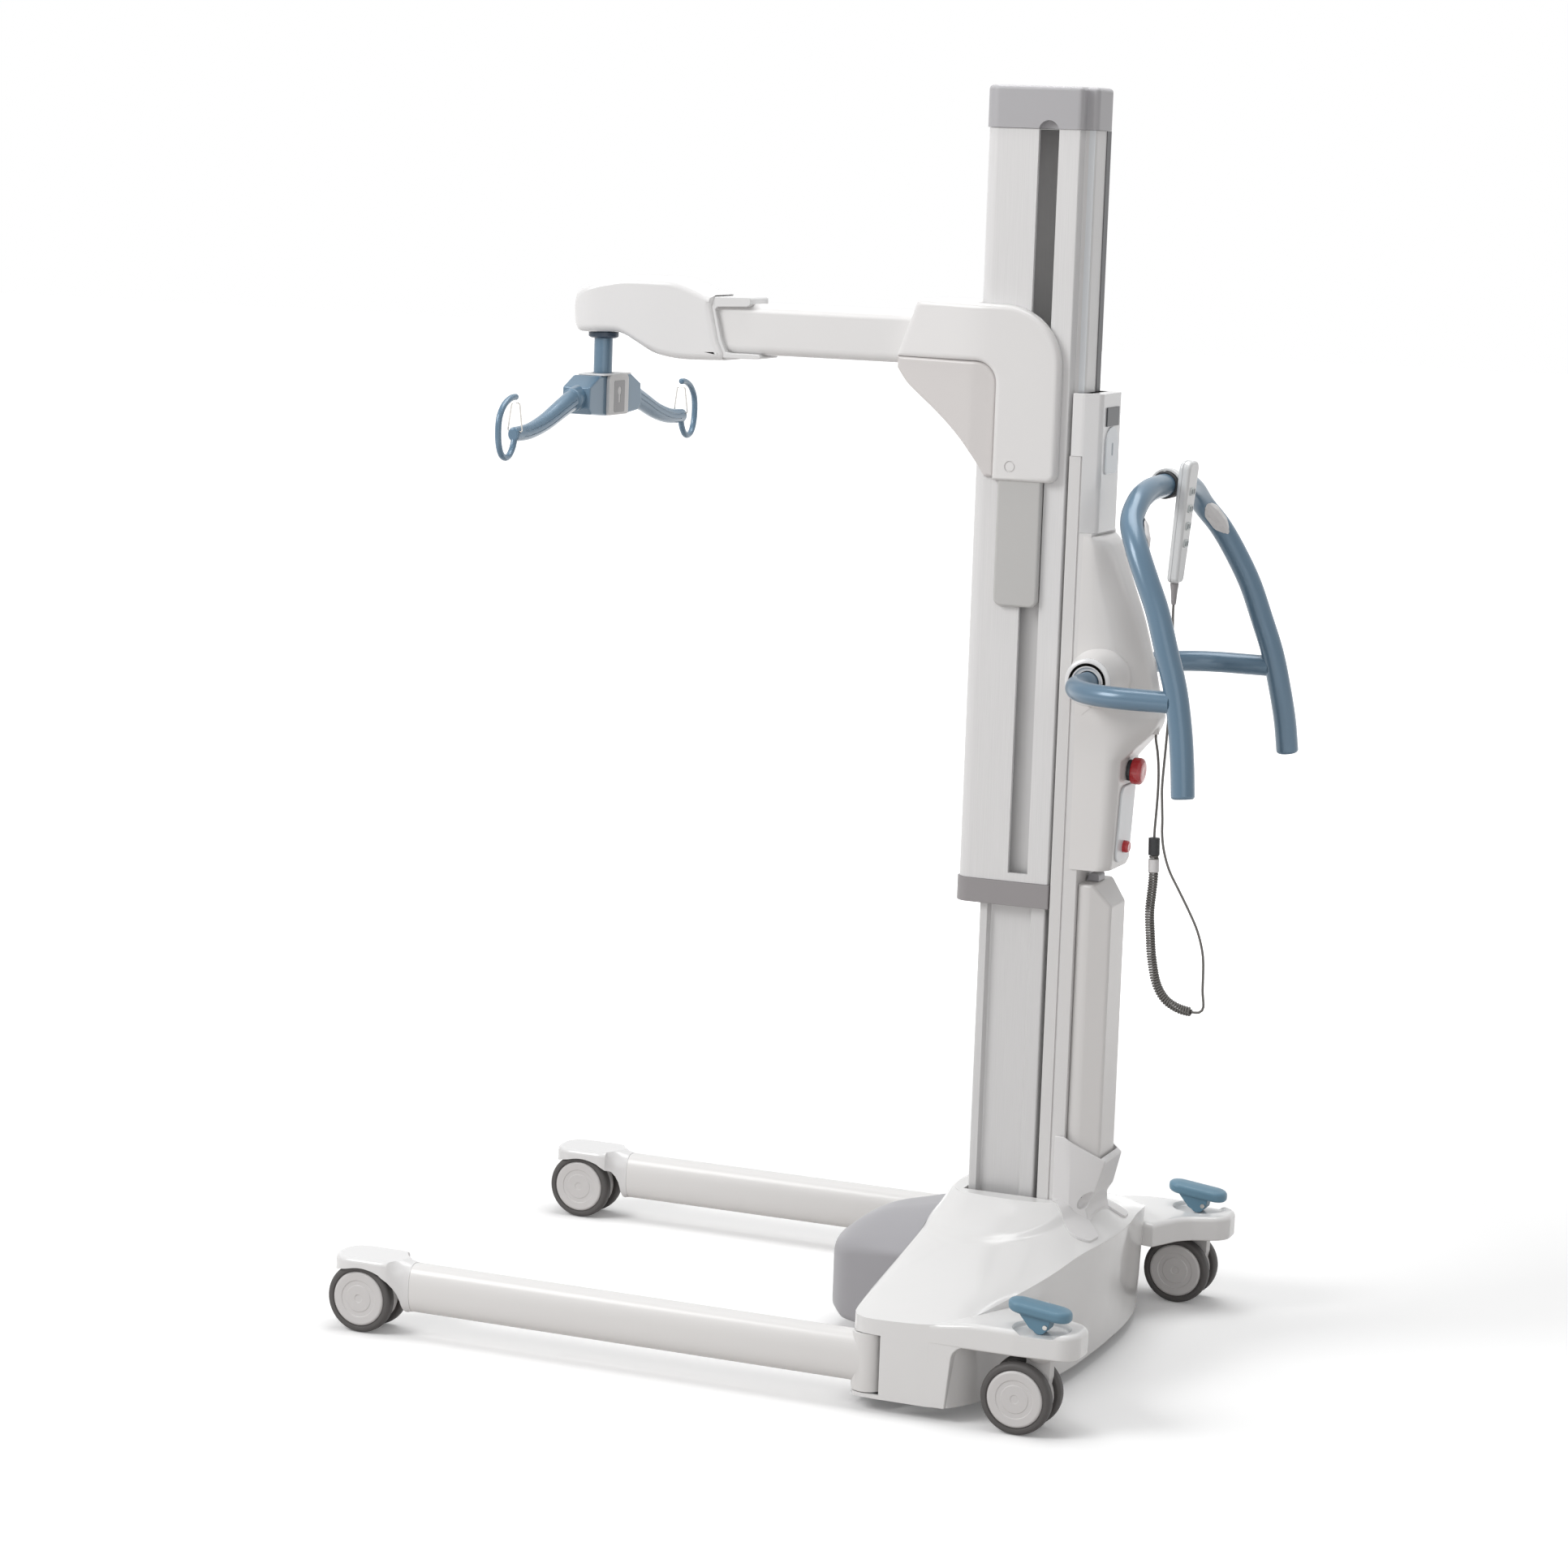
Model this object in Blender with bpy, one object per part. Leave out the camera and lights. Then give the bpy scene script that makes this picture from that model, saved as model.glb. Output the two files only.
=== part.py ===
"""A patient floor lift: two parallel legs on casters, a telescopic mast, a fixed arm with a two-hook
hanger bar, a push handle and a corded hand control.

Sizes are in metres. X points to the lift's left, Y to its rear and Z up. Every piece is shaped with the
mast's centre line at X = Y = 0 and the floor at Z = 0, and the last step moves the whole lift along Y by
MAST_Y, so that the origin lies under the middle of its outline.
"""

import math

import bmesh
import bpy
from mathutils import Matrix, Vector

FIT = 0.0003            # gap between pieces that touch
MAST_Y = 0.2785         # distance from the origin back to the mast's centre line

# Wheels and casters
WHEEL_RADIUS = 0.050
WHEEL_FACE = 0.033      # from the caster's middle plane to a wheel's outer face
WHEEL_BACK = 0.012      # from the middle plane to a wheel's inner face
AXLE_RADIUS = 0.006
FORK_HALF = 0.0095
FORK_RADIUS = 0.0425
FRONT_SWIVEL_TOP = 0.1032
REAR_SWIVEL_TOP = 0.1077
FRONT_TRAIL = 0.005
REAR_TRAIL = 0.024
FRONT_WHEEL = (0.365, -0.8320)
REAR_WHEEL = (0.362, 0.1570)

# Legs
PIVOT = (0.368, -0.0625)
BARREL_RADIUS = 0.023
BARREL_Z = (0.0268, 0.1082)
PIN_RADIUS = 0.0080
LEG_Z = 0.0710
LEG_HALF = (0.0225, 0.0350)
LEG_END_Y = FRONT_WHEEL[1] + 0.0770
CASTING_WIDE_Y = FRONT_WHEEL[1] + 0.0420
CASTING_TIP_Y = FRONT_WHEEL[1] - 0.0460
CASTING_TOP = 0.1105
CASTING_LOW = 0.0300
ARCH_ROOF = 0.1036

# Base
SKIRT_Z = 0.020
COVER_FRONT = -0.088
COVER_WALL = 0.005
WING_Z = (0.1082, 0.1440)
PEDAL_DISH = (0.038, 0.1375)
PEDAL_Z = 0.1480
PEDAL_ROCKER = PEDAL_Z - PEDAL_DISH[1] - FIT
CHASSIS_TOP = 0.110
ARM_BEAM_Z = (0.1080, 0.1280)

# Mast
STAGE_HALF = 0.052
STAGE_FRONT = -0.079
STAGE_Z = (0.6853, 1.7272)
STAGE_WALL = 0.0065
CAVITY = (0.0455, -0.050, 0.055)
SLOT_Y = (-0.002, 0.027)
SLOT_Z = (0.697, 1.750)
CAP_LIP = 0.0025
TOP_CAP_Z = 1.7850
BOTTOM_CAP_Z = 0.6510
COLUMN_HALF = 0.043
COLUMN_Y = (-0.045, 0.053)
COLUMN_TOP = 1.280
RECESS_Y = (-0.033, 0.032)
RECESS_HALF = 0.033

# Rear column and controls
REAR_HALF = 0.0535
REAR_Y = (0.0620, 0.100)
GROOVE_Y = 0.080
REAR_TOP = 1.2850
HEAD_SEAM = 1.1800
HEAD_HALF = 0.0545
HEAD_TOP = 1.3710
HUB = (0.120, 0.9815)
HUB_END = 0.102
HUB_GAP = 0.0018         # clearance of the handle's cross tube in the housing's bosses
BATTERY_HALF = 0.047
SHROUD_HALF = 0.059
SHROUD_SKIN = 0.0034       # height of the shoe's rounded foot over the base cover
BATTERY_Y = (0.1003, 0.1460)
BATTERY_Z = (0.2440, 0.6900)
HOUSING_LOW = 0.7120
HOUSING_FRONT = 0.0890
REAR_FACE = ((0.1458, 0.7200), (0.1527, 0.8660))
STOP_Z = 0.8500
STOP_STEM = 0.0080
STOP_TRAVEL = 0.004
LOWERING_Z = 0.7420
LOWERING_RADIUS = 0.0085
LOWERING_TRAVEL = 0.003
FASCIA = 0.0026
GLAND = (0.1890, 0.9030)

# Arm
ARM_HALF = 0.025
ARM_Z = (1.3975, 1.4697)
CHEEK_HALF = 0.068
CARRIAGE_HALF = 0.0605
ARM_FRONT_HALF = 0.037
TONGUE_LOW = 1.0720

# Hanger
POST_Y = -0.672
ARM_END_Y = POST_Y + 0.100
POST_RADIUS = 0.0135
SOCKET_GAP = (0.0060, 0.0004)  # beside the post across the bar, where it tilts, and along it
TILT_Z = 1.328
HUB_HALF = (0.086, 0.022)
HOOK_ROD = 0.0045
GATE_WIRE = 0.0011
GATE_PIVOT = (0.2830, 1.2880)

# Handle
TUBE_RADIUS = 0.016
CROSS_RADIUS = 0.0148
RUN_X = 0.2385
SWEEP_RADIUS = 0.100
PAD_Z = (1.1680, 1.2205)
BRIDGE = (0.1880, 1.2500)   # where the handle's tube crosses the middle plane

# Cords
LEAD_RADIUS = 0.0018
CURL_WIRE = 0.0016
CURL_RADIUS = 0.0053
CURL_PITCH = 0.0067
CURL_POINTS = 8


def surface(name, colour, roughness, metallic=0.0):
    """A plain material of its own for one piece."""
    found = bpy.data.materials.new(name)
    found.use_nodes = True
    shader = found.node_tree.nodes["Principled BSDF"]
    shader.inputs["Base Color"].default_value = (*colour, 1.0)
    shader.inputs["Roughness"].default_value = roughness
    shader.inputs["Metallic"].default_value = metallic
    return found


WHITE = ((0.86, 0.86, 0.87), 0.30, 0.0)
SHELL = ((0.80, 0.80, 0.81), 0.35, 0.0)
GREY = ((0.42, 0.42, 0.44), 0.45, 0.0)
LIGHT_GREY = ((0.62, 0.62, 0.64), 0.45, 0.0)
ALUMINIUM = ((0.72, 0.72, 0.74), 0.38, 0.9)
STEEL = ((0.30, 0.31, 0.33), 0.50, 0.6)
BLUE = ((0.10, 0.22, 0.35), 0.35, 0.2)
RUBBER = ((0.05, 0.05, 0.05), 0.70, 0.0)
DARK = ((0.06, 0.07, 0.08), 0.30, 0.0)
RED = ((0.55, 0.02, 0.02), 0.35, 0.0)


def add(name, bm, look=None):
    """Turns a finished bmesh into an object; without a look it is a helper that is cut away or joined."""
    bmesh.ops.recalc_face_normals(bm, faces=bm.faces)
    mesh = bpy.data.meshes.new(name)
    bm.to_mesh(mesh)
    bm.free()
    obj = bpy.data.objects.new(name, mesh)
    bpy.context.scene.collection.objects.link(obj)
    if look:
        mesh.materials.append(surface(name, *look))
    else:
        obj.hide_render = True
        obj.display_type = "WIRE"
    return obj


def fillet(corners, steps=3):
    """The outline through (u, v, radius) corners, each rounded by an arc of its radius."""
    points = []
    for index, (u, v, radius) in enumerate(corners):
        here = Vector((u, v))
        if radius <= 0:
            points.append((u, v))
            continue
        back = (Vector(corners[index - 1][:2]) - here).normalized()
        ahead = (Vector(corners[(index + 1) % len(corners)][:2]) - here).normalized()
        half = back.angle(ahead) / 2
        start = here + back * radius / math.tan(half)
        end = here + ahead * radius / math.tan(half)
        centre = here + (back + ahead).normalized() * radius / math.sin(half)
        turn = (start - centre).angle_signed(end - centre)
        for step in range(steps + 1):
            arm = (start - centre).copy()
            arm.rotate(Matrix.Rotation(-turn * step / steps, 2))
            points.append(tuple(centre + arm))
    return points


def mirrored(points):
    """A closed outline from its half with u >= 0, given from one end of the middle line to the other."""
    return points + [(-u, v) for u, v in reversed(points) if u > 1e-6]


def box_corners(u, v, radius=0.0):
    return [(u[0], v[0], radius), (u[1], v[0], radius), (u[1], v[1], radius), (u[0], v[1], radius)]


def place(axis, u, v, height):
    """The point (u, v) of an outline drawn square to the axis, at this height along it."""
    return {"X": (height, u, v), "Y": (u, height, v), "Z": (u, v, height)}[axis]


def prism(name, outline, axis, span, look=None, bevel=0.0, segments=1):
    bm = bmesh.new()
    ends = [[bm.verts.new(place(axis, u, v, height)) for u, v in outline] for height in span]
    count = len(outline)
    bm.faces.new(ends[0])
    bm.faces.new(ends[1])
    for i in range(count):
        j = (i + 1) % count
        bm.faces.new((ends[0][i], ends[0][j], ends[1][j], ends[1][i]))
    if bevel:
        bmesh.ops.recalc_face_normals(bm, faces=bm.faces)
        rims = [edge for edge in bm.edges if len({vert in ends[0] for vert in edge.verts}) == 1]
        bmesh.ops.bevel(bm, geom=rims, offset=bevel, segments=segments, profile=0.5, affect="EDGES",
                        clamp_overlap=True)
        bmesh.ops.remove_doubles(bm, verts=bm.verts, dist=1e-6)
    return add(name, bm, look)


def revolve(name, profile, centre, direction, look=None, steps=32):
    """A solid of revolution: the profile's (radius, height) points run from the axis back to the axis."""
    bm = bmesh.new()
    turn = Vector((0, 0, 1)).rotation_difference(Vector(direction)).to_matrix().to_4x4()
    move = Matrix.Translation(centre) @ turn
    rings = []
    for radius, height in profile:
        if radius < 1e-7:
            rings.append([bm.verts.new(move @ Vector((0, 0, height)))])
            continue
        rings.append([bm.verts.new(move @ Vector((radius * math.cos(2 * math.pi * k / steps),
                                                  radius * math.sin(2 * math.pi * k / steps), height)))
                      for k in range(steps)])
    for low, high in zip(rings, rings[1:]):
        for k in range(steps):
            n = (k + 1) % steps
            if len(low) == 1 and len(high) == 1:
                continue
            if len(low) == 1:
                bm.faces.new((low[0], high[k], high[n]))
            elif len(high) == 1:
                bm.faces.new((low[k], low[n], high[0]))
            else:
                bm.faces.new((low[k], low[n], high[n], high[k]))
    return add(name, bm, look)


def disc(name, radius, span, centre, direction, look=None, edge=0.0, steps=32):
    """A round bar or plate with its rims broken by a chamfer of the given edge."""
    low, high = span
    profile = [(0, low), (radius - edge, low), (radius, low + edge), (radius, high - edge),
               (radius - edge, high), (0, high)]
    if not edge:
        profile = [(0, low), (radius, low), (radius, high), (0, high)]
    return revolve(name, profile, centre, direction, look, steps)


def smooth(points, spacing):
    """Points every spacing along a Catmull-Rom curve through the given ones."""
    known = [Vector(p) for p in points]
    known = [2 * known[0] - known[1]] + known + [2 * known[-1] - known[-2]]
    fine = []
    for a, b, c, d in zip(known, known[1:], known[2:], known[3:]):
        count = max(2, round((c - b).length / spacing * 4))
        for k in range(count):
            t = k / count
            fine.append(0.5 * ((2 * b) + (c - a) * t + (2 * a - 5 * b + 4 * c - d) * t * t
                               + (3 * b - a - 3 * c + d) * t ** 3))
    fine.append(known[-2])
    total = sum((b - a).length for a, b in zip(fine, fine[1:]))
    count = max(2, round(total / spacing))
    return resample(fine, count)


def resample(fine, count):
    lengths = [0.0]
    for a, b in zip(fine, fine[1:]):
        lengths.append(lengths[-1] + (b - a).length)
    found, place_in = [], 0
    for k in range(count + 1):
        want = lengths[-1] * k / count
        while place_in < len(fine) - 2 and lengths[place_in + 1] < want:
            place_in += 1
        part = lengths[place_in + 1] - lengths[place_in]
        found.append(fine[place_in].lerp(fine[place_in + 1],
                                         (want - lengths[place_in]) / part if part else 0))
    return found


def frames(path):
    """For each point of a path: the point, and two directions square to the path that turn little."""
    tangents = []
    for k, point in enumerate(path):
        before, after = path[max(k - 1, 0)], path[min(k + 1, len(path) - 1)]
        tangents.append((after - before).normalized())
    side = tangents[0].cross(Vector((0, 0, 1)))
    side = side.normalized() if side.length > 0.05 else Vector((1, 0, 0))
    found = []
    for point, tangent in zip(path, tangents):
        side = (side - tangent * side.dot(tangent)).normalized()
        found.append((point, side, tangent.cross(side)))
    return found


def sweep(name, path, section, look=None, scale=None):
    """The section's (side, up) outline carried along the path, with closed ends."""
    bm = bmesh.new()
    path = [Vector(p) for p in path]
    rings = []
    for k, (point, side, up) in enumerate(frames(path)):
        grow = scale(k / (len(path) - 1)) if scale else (1.0, 1.0)
        rings.append([bm.verts.new(point + side * s * grow[0] + up * u * grow[1]) for s, u in section])
    count = len(section)
    for low, high in zip(rings, rings[1:]):
        for k in range(count):
            n = (k + 1) % count
            bm.faces.new((low[k], low[n], high[n], high[k]))
    bm.faces.new(rings[0])
    bm.faces.new(rings[-1])
    return add(name, bm, look)


def ring_section(half_side, half_up=None, sides=16):
    half_up = half_side if half_up is None else half_up
    return [(half_side * math.cos(2 * math.pi * k / sides), half_up * math.sin(2 * math.pi * k / sides))
            for k in range(sides)]


def loft(name, sections, look=None):
    """A solid through closed sections with the same number of points, given from bottom to top."""
    bm = bmesh.new()
    rings = [[bm.verts.new(p) for p in section] for section in sections]
    count = len(sections[0])
    for low, high in zip(rings, rings[1:]):
        for k in range(count):
            n = (k + 1) % count
            bm.faces.new((low[k], low[n], high[n], high[k]))
    bm.faces.new(rings[0])
    bm.faces.new(rings[-1])
    bmesh.ops.triangulate(bm, faces=[f for f in bm.faces if len(f.verts) == 4])
    return add(name, bm, look)


def combine(target, other, operation):
    """Joins or cuts with another solid, which stays in the scene as a hidden helper."""
    modifier = target.modifiers.new(operation.lower(), "BOOLEAN")
    modifier.operation = operation
    modifier.solver = "EXACT"
    modifier.object = other
    other.hide_render = True
    other.display_type = "WIRE"
    return target


def cut(target, *others):
    for other in others:
        combine(target, other, "DIFFERENCE")
    return target


def join(target, *others):
    for other in others:
        combine(target, other, "UNION")
    return target


def box(name, x, y, z, look=None, bevel=0.0):
    return prism(name, [(x[0], y[0]), (x[1], y[0]), (x[1], y[1]), (x[0], y[1])], "Z", z, look, bevel)


def shape_width(obj, width_at, full):
    """Scales a solid across X so that a half-width of `full` becomes width_at(y, z)."""
    for vert in obj.data.vertices:
        y, z = vert.co.y, vert.co.z
        vert.co.x *= width_at(y, z) / full
    return obj


def hold_at(obj, point):
    """Moves an object's origin to this point and leaves its shape where it is."""
    point = Vector(point)
    obj.data.transform(Matrix.Translation(-point))
    obj.location = point
    return obj


def side_name(side):
    return "left" if side > 0 else "right"


def cover_section(z, inset=0.0):
    """Half of the base cover's outline at height z, from the front middle to the rear middle."""
    levels = (
        (0.020, ((0, -.0865), (.13, -.0865), (.26, -.0865), (.350, -.0865), (.383, -.080), (.3915, -.055),
                 (.392, .000), (.390, .035), (.374, .066), (.340, .087), (.300, .102), (.250, .124),
                 (.190, .139), (.110, .148), (0, .151))),
        (0.128, ((0, -.088), (.13, -.088), (.26, -.088), (.352, -.088), (.385, -.081), (.3935, -.055),
                 (.394, .000), (.392, .035), (.378, .070), (.350, .097), (.316, .118), (.270, .144),
                 (.205, .166), (.115, .184), (0, .190))),
        (0.136, ((0, -.088), (.13, -.088), (.25, -.088), (.343, -.088), (.378, -.082), (.3880, -.055),
                 (.389, .000), (.387, .033), (.372, .068), (.345, .097), (.313, .120), (.268, .147),
                 (.204, .169), (.115, .187), (0, .193))),
        (0.150, ((0, -.088), (.12, -.088), (.22, -.088), (.295, -.088), (.328, -.083), (.348, -.058),
                 (.356, -.010), (.356, .025), (.345, .060), (.326, .092), (.300, .120), (.262, .148),
                 (.200, .171), (.114, .189), (0, .195))),
        (0.170, ((0, -.088), (.09, -.088), (.155, -.088), (.200, -.087), (.226, -.080), (.250, -.056),
                 (.272, -.015), (.284, .020), (.289, .055), (.287, .087), (.274, .116), (.245, .143),
                 (.190, .166), (.110, .184), (0, .191))),
        (0.190, ((0, -.087), (.04, -.087), (.075, -.086), (.100, -.083), (.118, -.075), (.138, -.054),
                 (.158, -.020), (.172, .012), (.182, .045), (.184, .075), (.178, .102), (.160, .126),
                 (.128, .147), (.076, .163), (0, .170))),
        (0.212, ((0, -.080), (.03, -.080), (.055, -.078), (.074, -.073), (.088, -.064), (.100, -.046),
                 (.109, -.020), (.114, .008), (.117, .036), (.116, .062), (.111, .086), (.100, .108),
                 (.080, .126), (.048, .139), (0, .144))),
        (0.228, ((0, -.073), (.026, -.073), (.047, -.071), (.062, -.066), (.073, -.057), (.081, -.041),
                 (.086, -.018), (.089, .007), (.091, .032), (.090, .055), (.086, .077), (.078, .096),
                 (.063, .111), (.038, .122), (0, .126))),
        (0.234, ((0, -.066), (.024, -.066), (.043, -.064), (.056, -.059), (.066, -.051), (.073, -.037),
                 (.077, -.016), (.080, .007), (.081, .030), (.080, .051), (.077, .071), (.070, .089),
                 (.056, .103), (.034, .113), (0, .117))),
    )
    z = min(max(z, levels[0][0]), levels[-1][0])
    for (z0, low), (z1, high) in zip(levels, levels[1:]):
        if z <= z1:
            t = (z - z0) / (z1 - z0)
            half = [(a[0] + (b[0] - a[0]) * t, a[1] + (b[1] - a[1]) * t) for a, b in zip(low, high)]
            break
    if inset:
        drawn = []
        for k, (u, v) in enumerate(half):
            a, b = Vector(half[max(k - 1, 0)]), Vector(half[min(k + 1, len(half) - 1)])
            along = (b - a).normalized()
            drawn.append((max(u - along.y * inset, 0.0) if 0 < k < len(half) - 1 else 0.0,
                          v + along.x * inset))
        half = drawn
    return mirrored(half)


COVER_LEVELS = (0.020, 0.128, 0.136, 0.150, 0.161, 0.170, 0.190, 0.212, 0.228, 0.234)
HOLLOW_LEVELS = (0.020, 0.136, 0.170, 0.190, 0.212, 0.234)


def cover_solid(name, inset=0.0, drop=0.0, grow=0.0, look=None):
    sections = []
    for z in HOLLOW_LEVELS if inset else COVER_LEVELS:
        height = z - drop if z > COVER_LEVELS[0] else z - (0.010 if inset else 0.0)
        sections.append([(u, v, height + grow) for u, v in cover_section(z, inset)])
    return loft(name, sections, look)


def wing_outline(side):
    """The flat wing over a rear caster, seen from above."""
    corners = ((.250, .060), (.3925, .020), (.3925, .150), (.386, .236), (.320, .238), (.290, .178),
               (.230, .150))
    radii = (0.0, 0.0, .060, .030, .030, .050, 0.0)
    points = fillet([(side * x, y, r) for (x, y), r in zip(corners, radii)], 4)
    return points if side > 0 else list(reversed(points))


def beam_outline(side, grow):
    """The chassis beam from the mast's seat to a rear caster, seen from above, widened by grow."""
    inner = [(.060 - grow, .0960 + grow), (.285 - grow, .0980 + grow), (.325 - grow, .1700),
             (.335 - grow, .2100 + grow)]
    outer = [(.376 + grow, .2100 + grow), (.378 + grow, .1500), (.345 + grow, .1050), (.3000, .0680 - grow),
             (.060 - grow, .0650 - grow)]
    return [(side * x, y) for x, y in inner + outer]


def build_base():
    cover = cover_solid("base_cover", look=WHITE)
    hollow = cover_solid("cover_hollow", inset=COVER_WALL, drop=COVER_WALL)
    for side in (1, -1):
        word = side_name(side)
        wing = prism("wing_" + word, wing_outline(side), "Z", WING_Z, bevel=0.006, segments=2)
        join(cover, wing)
    cut(cover, hollow)
    for side in (1, -1):
        word = side_name(side)
        dish = disc("pedal_dish_" + word, PEDAL_DISH[0], (PEDAL_DISH[1], .2),
                    (side * REAR_WHEEL[0], REAR_WHEEL[1] + REAR_TRAIL, 0), (0, 0, 1), steps=28)
        mouth = box("leg_mouth_" + word, sorted((side * 0.3420, side * 0.4200)), (-0.1200, -0.0380),
                    (BARREL_Z[0] - 0.0015, BARREL_Z[1] + 0.0010))
        room = box("clevis_room_" + word, sorted((side * 0.3200, side * 0.3795)), (-0.0785, -0.0360),
                   (0.0, 0.1166))
        beam_room = prism("beam_room_" + word, beam_outline(side, .0008), "Z",
                          (WING_Z[0] - .0100, ARM_BEAM_Z[1] + FIT))
        cut(cover, dish, mouth, room, beam_room)
    foot = box("mast_hole", (-0.0545, 0.0545), (-0.0470, REAR_Y[1] + 0.0015), (0.10, 0.30))
    cut(cover, foot)

    chassis = box("base_chassis", (-0.340, 0.340), (-0.0765, -0.0460), (0.040, CHASSIS_TOP), STEEL, 0.003)
    join(chassis, box("mast_seat", (-0.070, 0.070), (-0.0600, 0.1180), (0.045, CHASSIS_TOP)))
    for side in (1, -1):
        word = side_name(side)
        for low, high, tag in ((0.0190, 0.0250, "low"), (BARREL_Z[1] + 0.0003, 0.1150, "high")):
            plate = fillet([(side * .325, -.0780, 0), (side * .3790, -.0780, .012),
                            (side * .3790, -.0470, .012), (side * .325, -.0470, 0)], 3)
            join(chassis, prism(f"clevis_{tag}_{word}", plate if side > 0 else plate[::-1], "Z", (low, high)))
        join(chassis, box("clevis_web_" + word, sorted((side * .326, side * .3395)), (-.0765, -.0460),
                          (.0195, .1145)),
             disc("leg_pin_" + word, PIN_RADIUS, (0.022, 0.112), (side * PIVOT[0], PIVOT[1], 0), (0, 0, 1),
                  steps=20))
        join(chassis, prism("caster_beam_" + word, beam_outline(side, 0.0), "Z", ARM_BEAM_Z))
    build_front_cover()


def build_front_cover():
    """The grey housing of the leg drive: crowned, narrower at the front, against the base's face."""
    stations = ((COVER_FRONT - FIT, .152, .158, .122, .1775, .2085), (-.1300, .135, .152, .112, .1680, .1980),
                (-.1775, .112, .143, .100, .1560, .1860), (-.2109, .094, .135, .084, .1470, .1682),
                (-.2325, .070, .127, .062, .1380, .1500), (-.2441, .046, .118, .040, .1290, .1395),
                (-.2490, .024, .106, .020, .1160, .1240))
    sections = []
    for y, half, side_top, shoulder, shoulder_z, crown in reversed(stations):
        low = 0.031 + 0.007 * min(max((-.212 - y) / .020, 0.0), 1.0)
        outline = [(0, low), (half * .90, low), (half, low + .008), (half, side_top), (shoulder, shoulder_z),
                   (shoulder * .75, shoulder_z + (crown - shoulder_z) * .48),
                   (shoulder * .40, shoulder_z + (crown - shoulder_z) * .88), (0, crown)]
        sections.append([(u, y, v) for u, v in mirrored(outline)])
    return loft("front_cover", sections, GREY)


def wheel_profile():
    """One wheel from its back face to its outer face: domed cap, ring groove, rounded tyre."""
    face, back, r = WHEEL_FACE, WHEEL_BACK, WHEEL_RADIUS
    return [
        (r - .0020, back), (r, back + .0040), (r, face - .0060), (r - .0040, face - .0008), (r - .0100,
                                                                                             face - .0022),
        (r - .0112, face - .0006), (.0, face + .0006)]


def build_caster(tag, x, wheel_y, trail, top):
    """A twin-wheel caster: a fork between the wheels, and the two wheels on one axle."""
    swivel_y = wheel_y + trail
    outline = [(wheel_y + FORK_RADIUS * math.cos(a), WHEEL_RADIUS + FORK_RADIUS * math.sin(a))
               for a in [math.radians(d) for d in range(150, 391, 30)]]
    right = swivel_y + .017
    outline += [(max(right, wheel_y + FORK_RADIUS * math.cos(math.radians(30))), .078), (right, .094),
                (right, top), (swivel_y - .017, top), (swivel_y - .017, .095)]
    fork = prism("caster_fork_" + tag, outline, "X", (x - FORK_HALF, x + FORK_HALF), LIGHT_GREY, 0.002, 1)
    join(fork, disc("swivel_" + tag, .0200, (top - .0026, top), (x, swivel_y, 0), (0, 0, 1), steps=20))
    cut(fork, disc("axle_bore_" + tag, AXLE_RADIUS + FIT, (-.05, .05), (x, wheel_y, WHEEL_RADIUS), (1, 0, 0),
                   steps=20))
    hold_at(fork, (x, swivel_y, top))

    one = [(AXLE_RADIUS, 0.0), (AXLE_RADIUS, WHEEL_BACK)] + wheel_profile()
    profile = [(radius, -height) for radius, height in reversed(one)][:-1] + one
    wheels = revolve("caster_wheels_" + tag, profile, (x, wheel_y, WHEEL_RADIUS), (1, 0, 0), RUBBER, 18)
    hold_at(wheels, (x, wheel_y, WHEEL_RADIUS))
    return fork, wheels


def swept_dome(name, x, swivel_y, trail, clearance, roof, look=None):
    """The room that a twin-wheel caster needs to turn all the way round."""
    profile = [(0, -.02)]
    tyre = WHEEL_FACE - .0020
    for k in range(0, 6):
        z = -.01 + (roof - .0036 + .01) * k / 5
        rise = z - WHEEL_RADIUS
        chord = math.sqrt(max(WHEEL_RADIUS ** 2 - rise ** 2, 0.0)) if abs(rise) < WHEEL_RADIUS else 0.0
        chord = WHEEL_RADIUS if z < WHEEL_RADIUS else chord
        profile.append((math.hypot(chord + trail, tyre) + clearance, z))
    profile += [(profile[-1][0], roof), (0, roof)]
    profile[0] = (0, profile[1][1])
    return revolve(name, profile, (x, swivel_y, 0), (0, 0, 1), look, 20)


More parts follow.
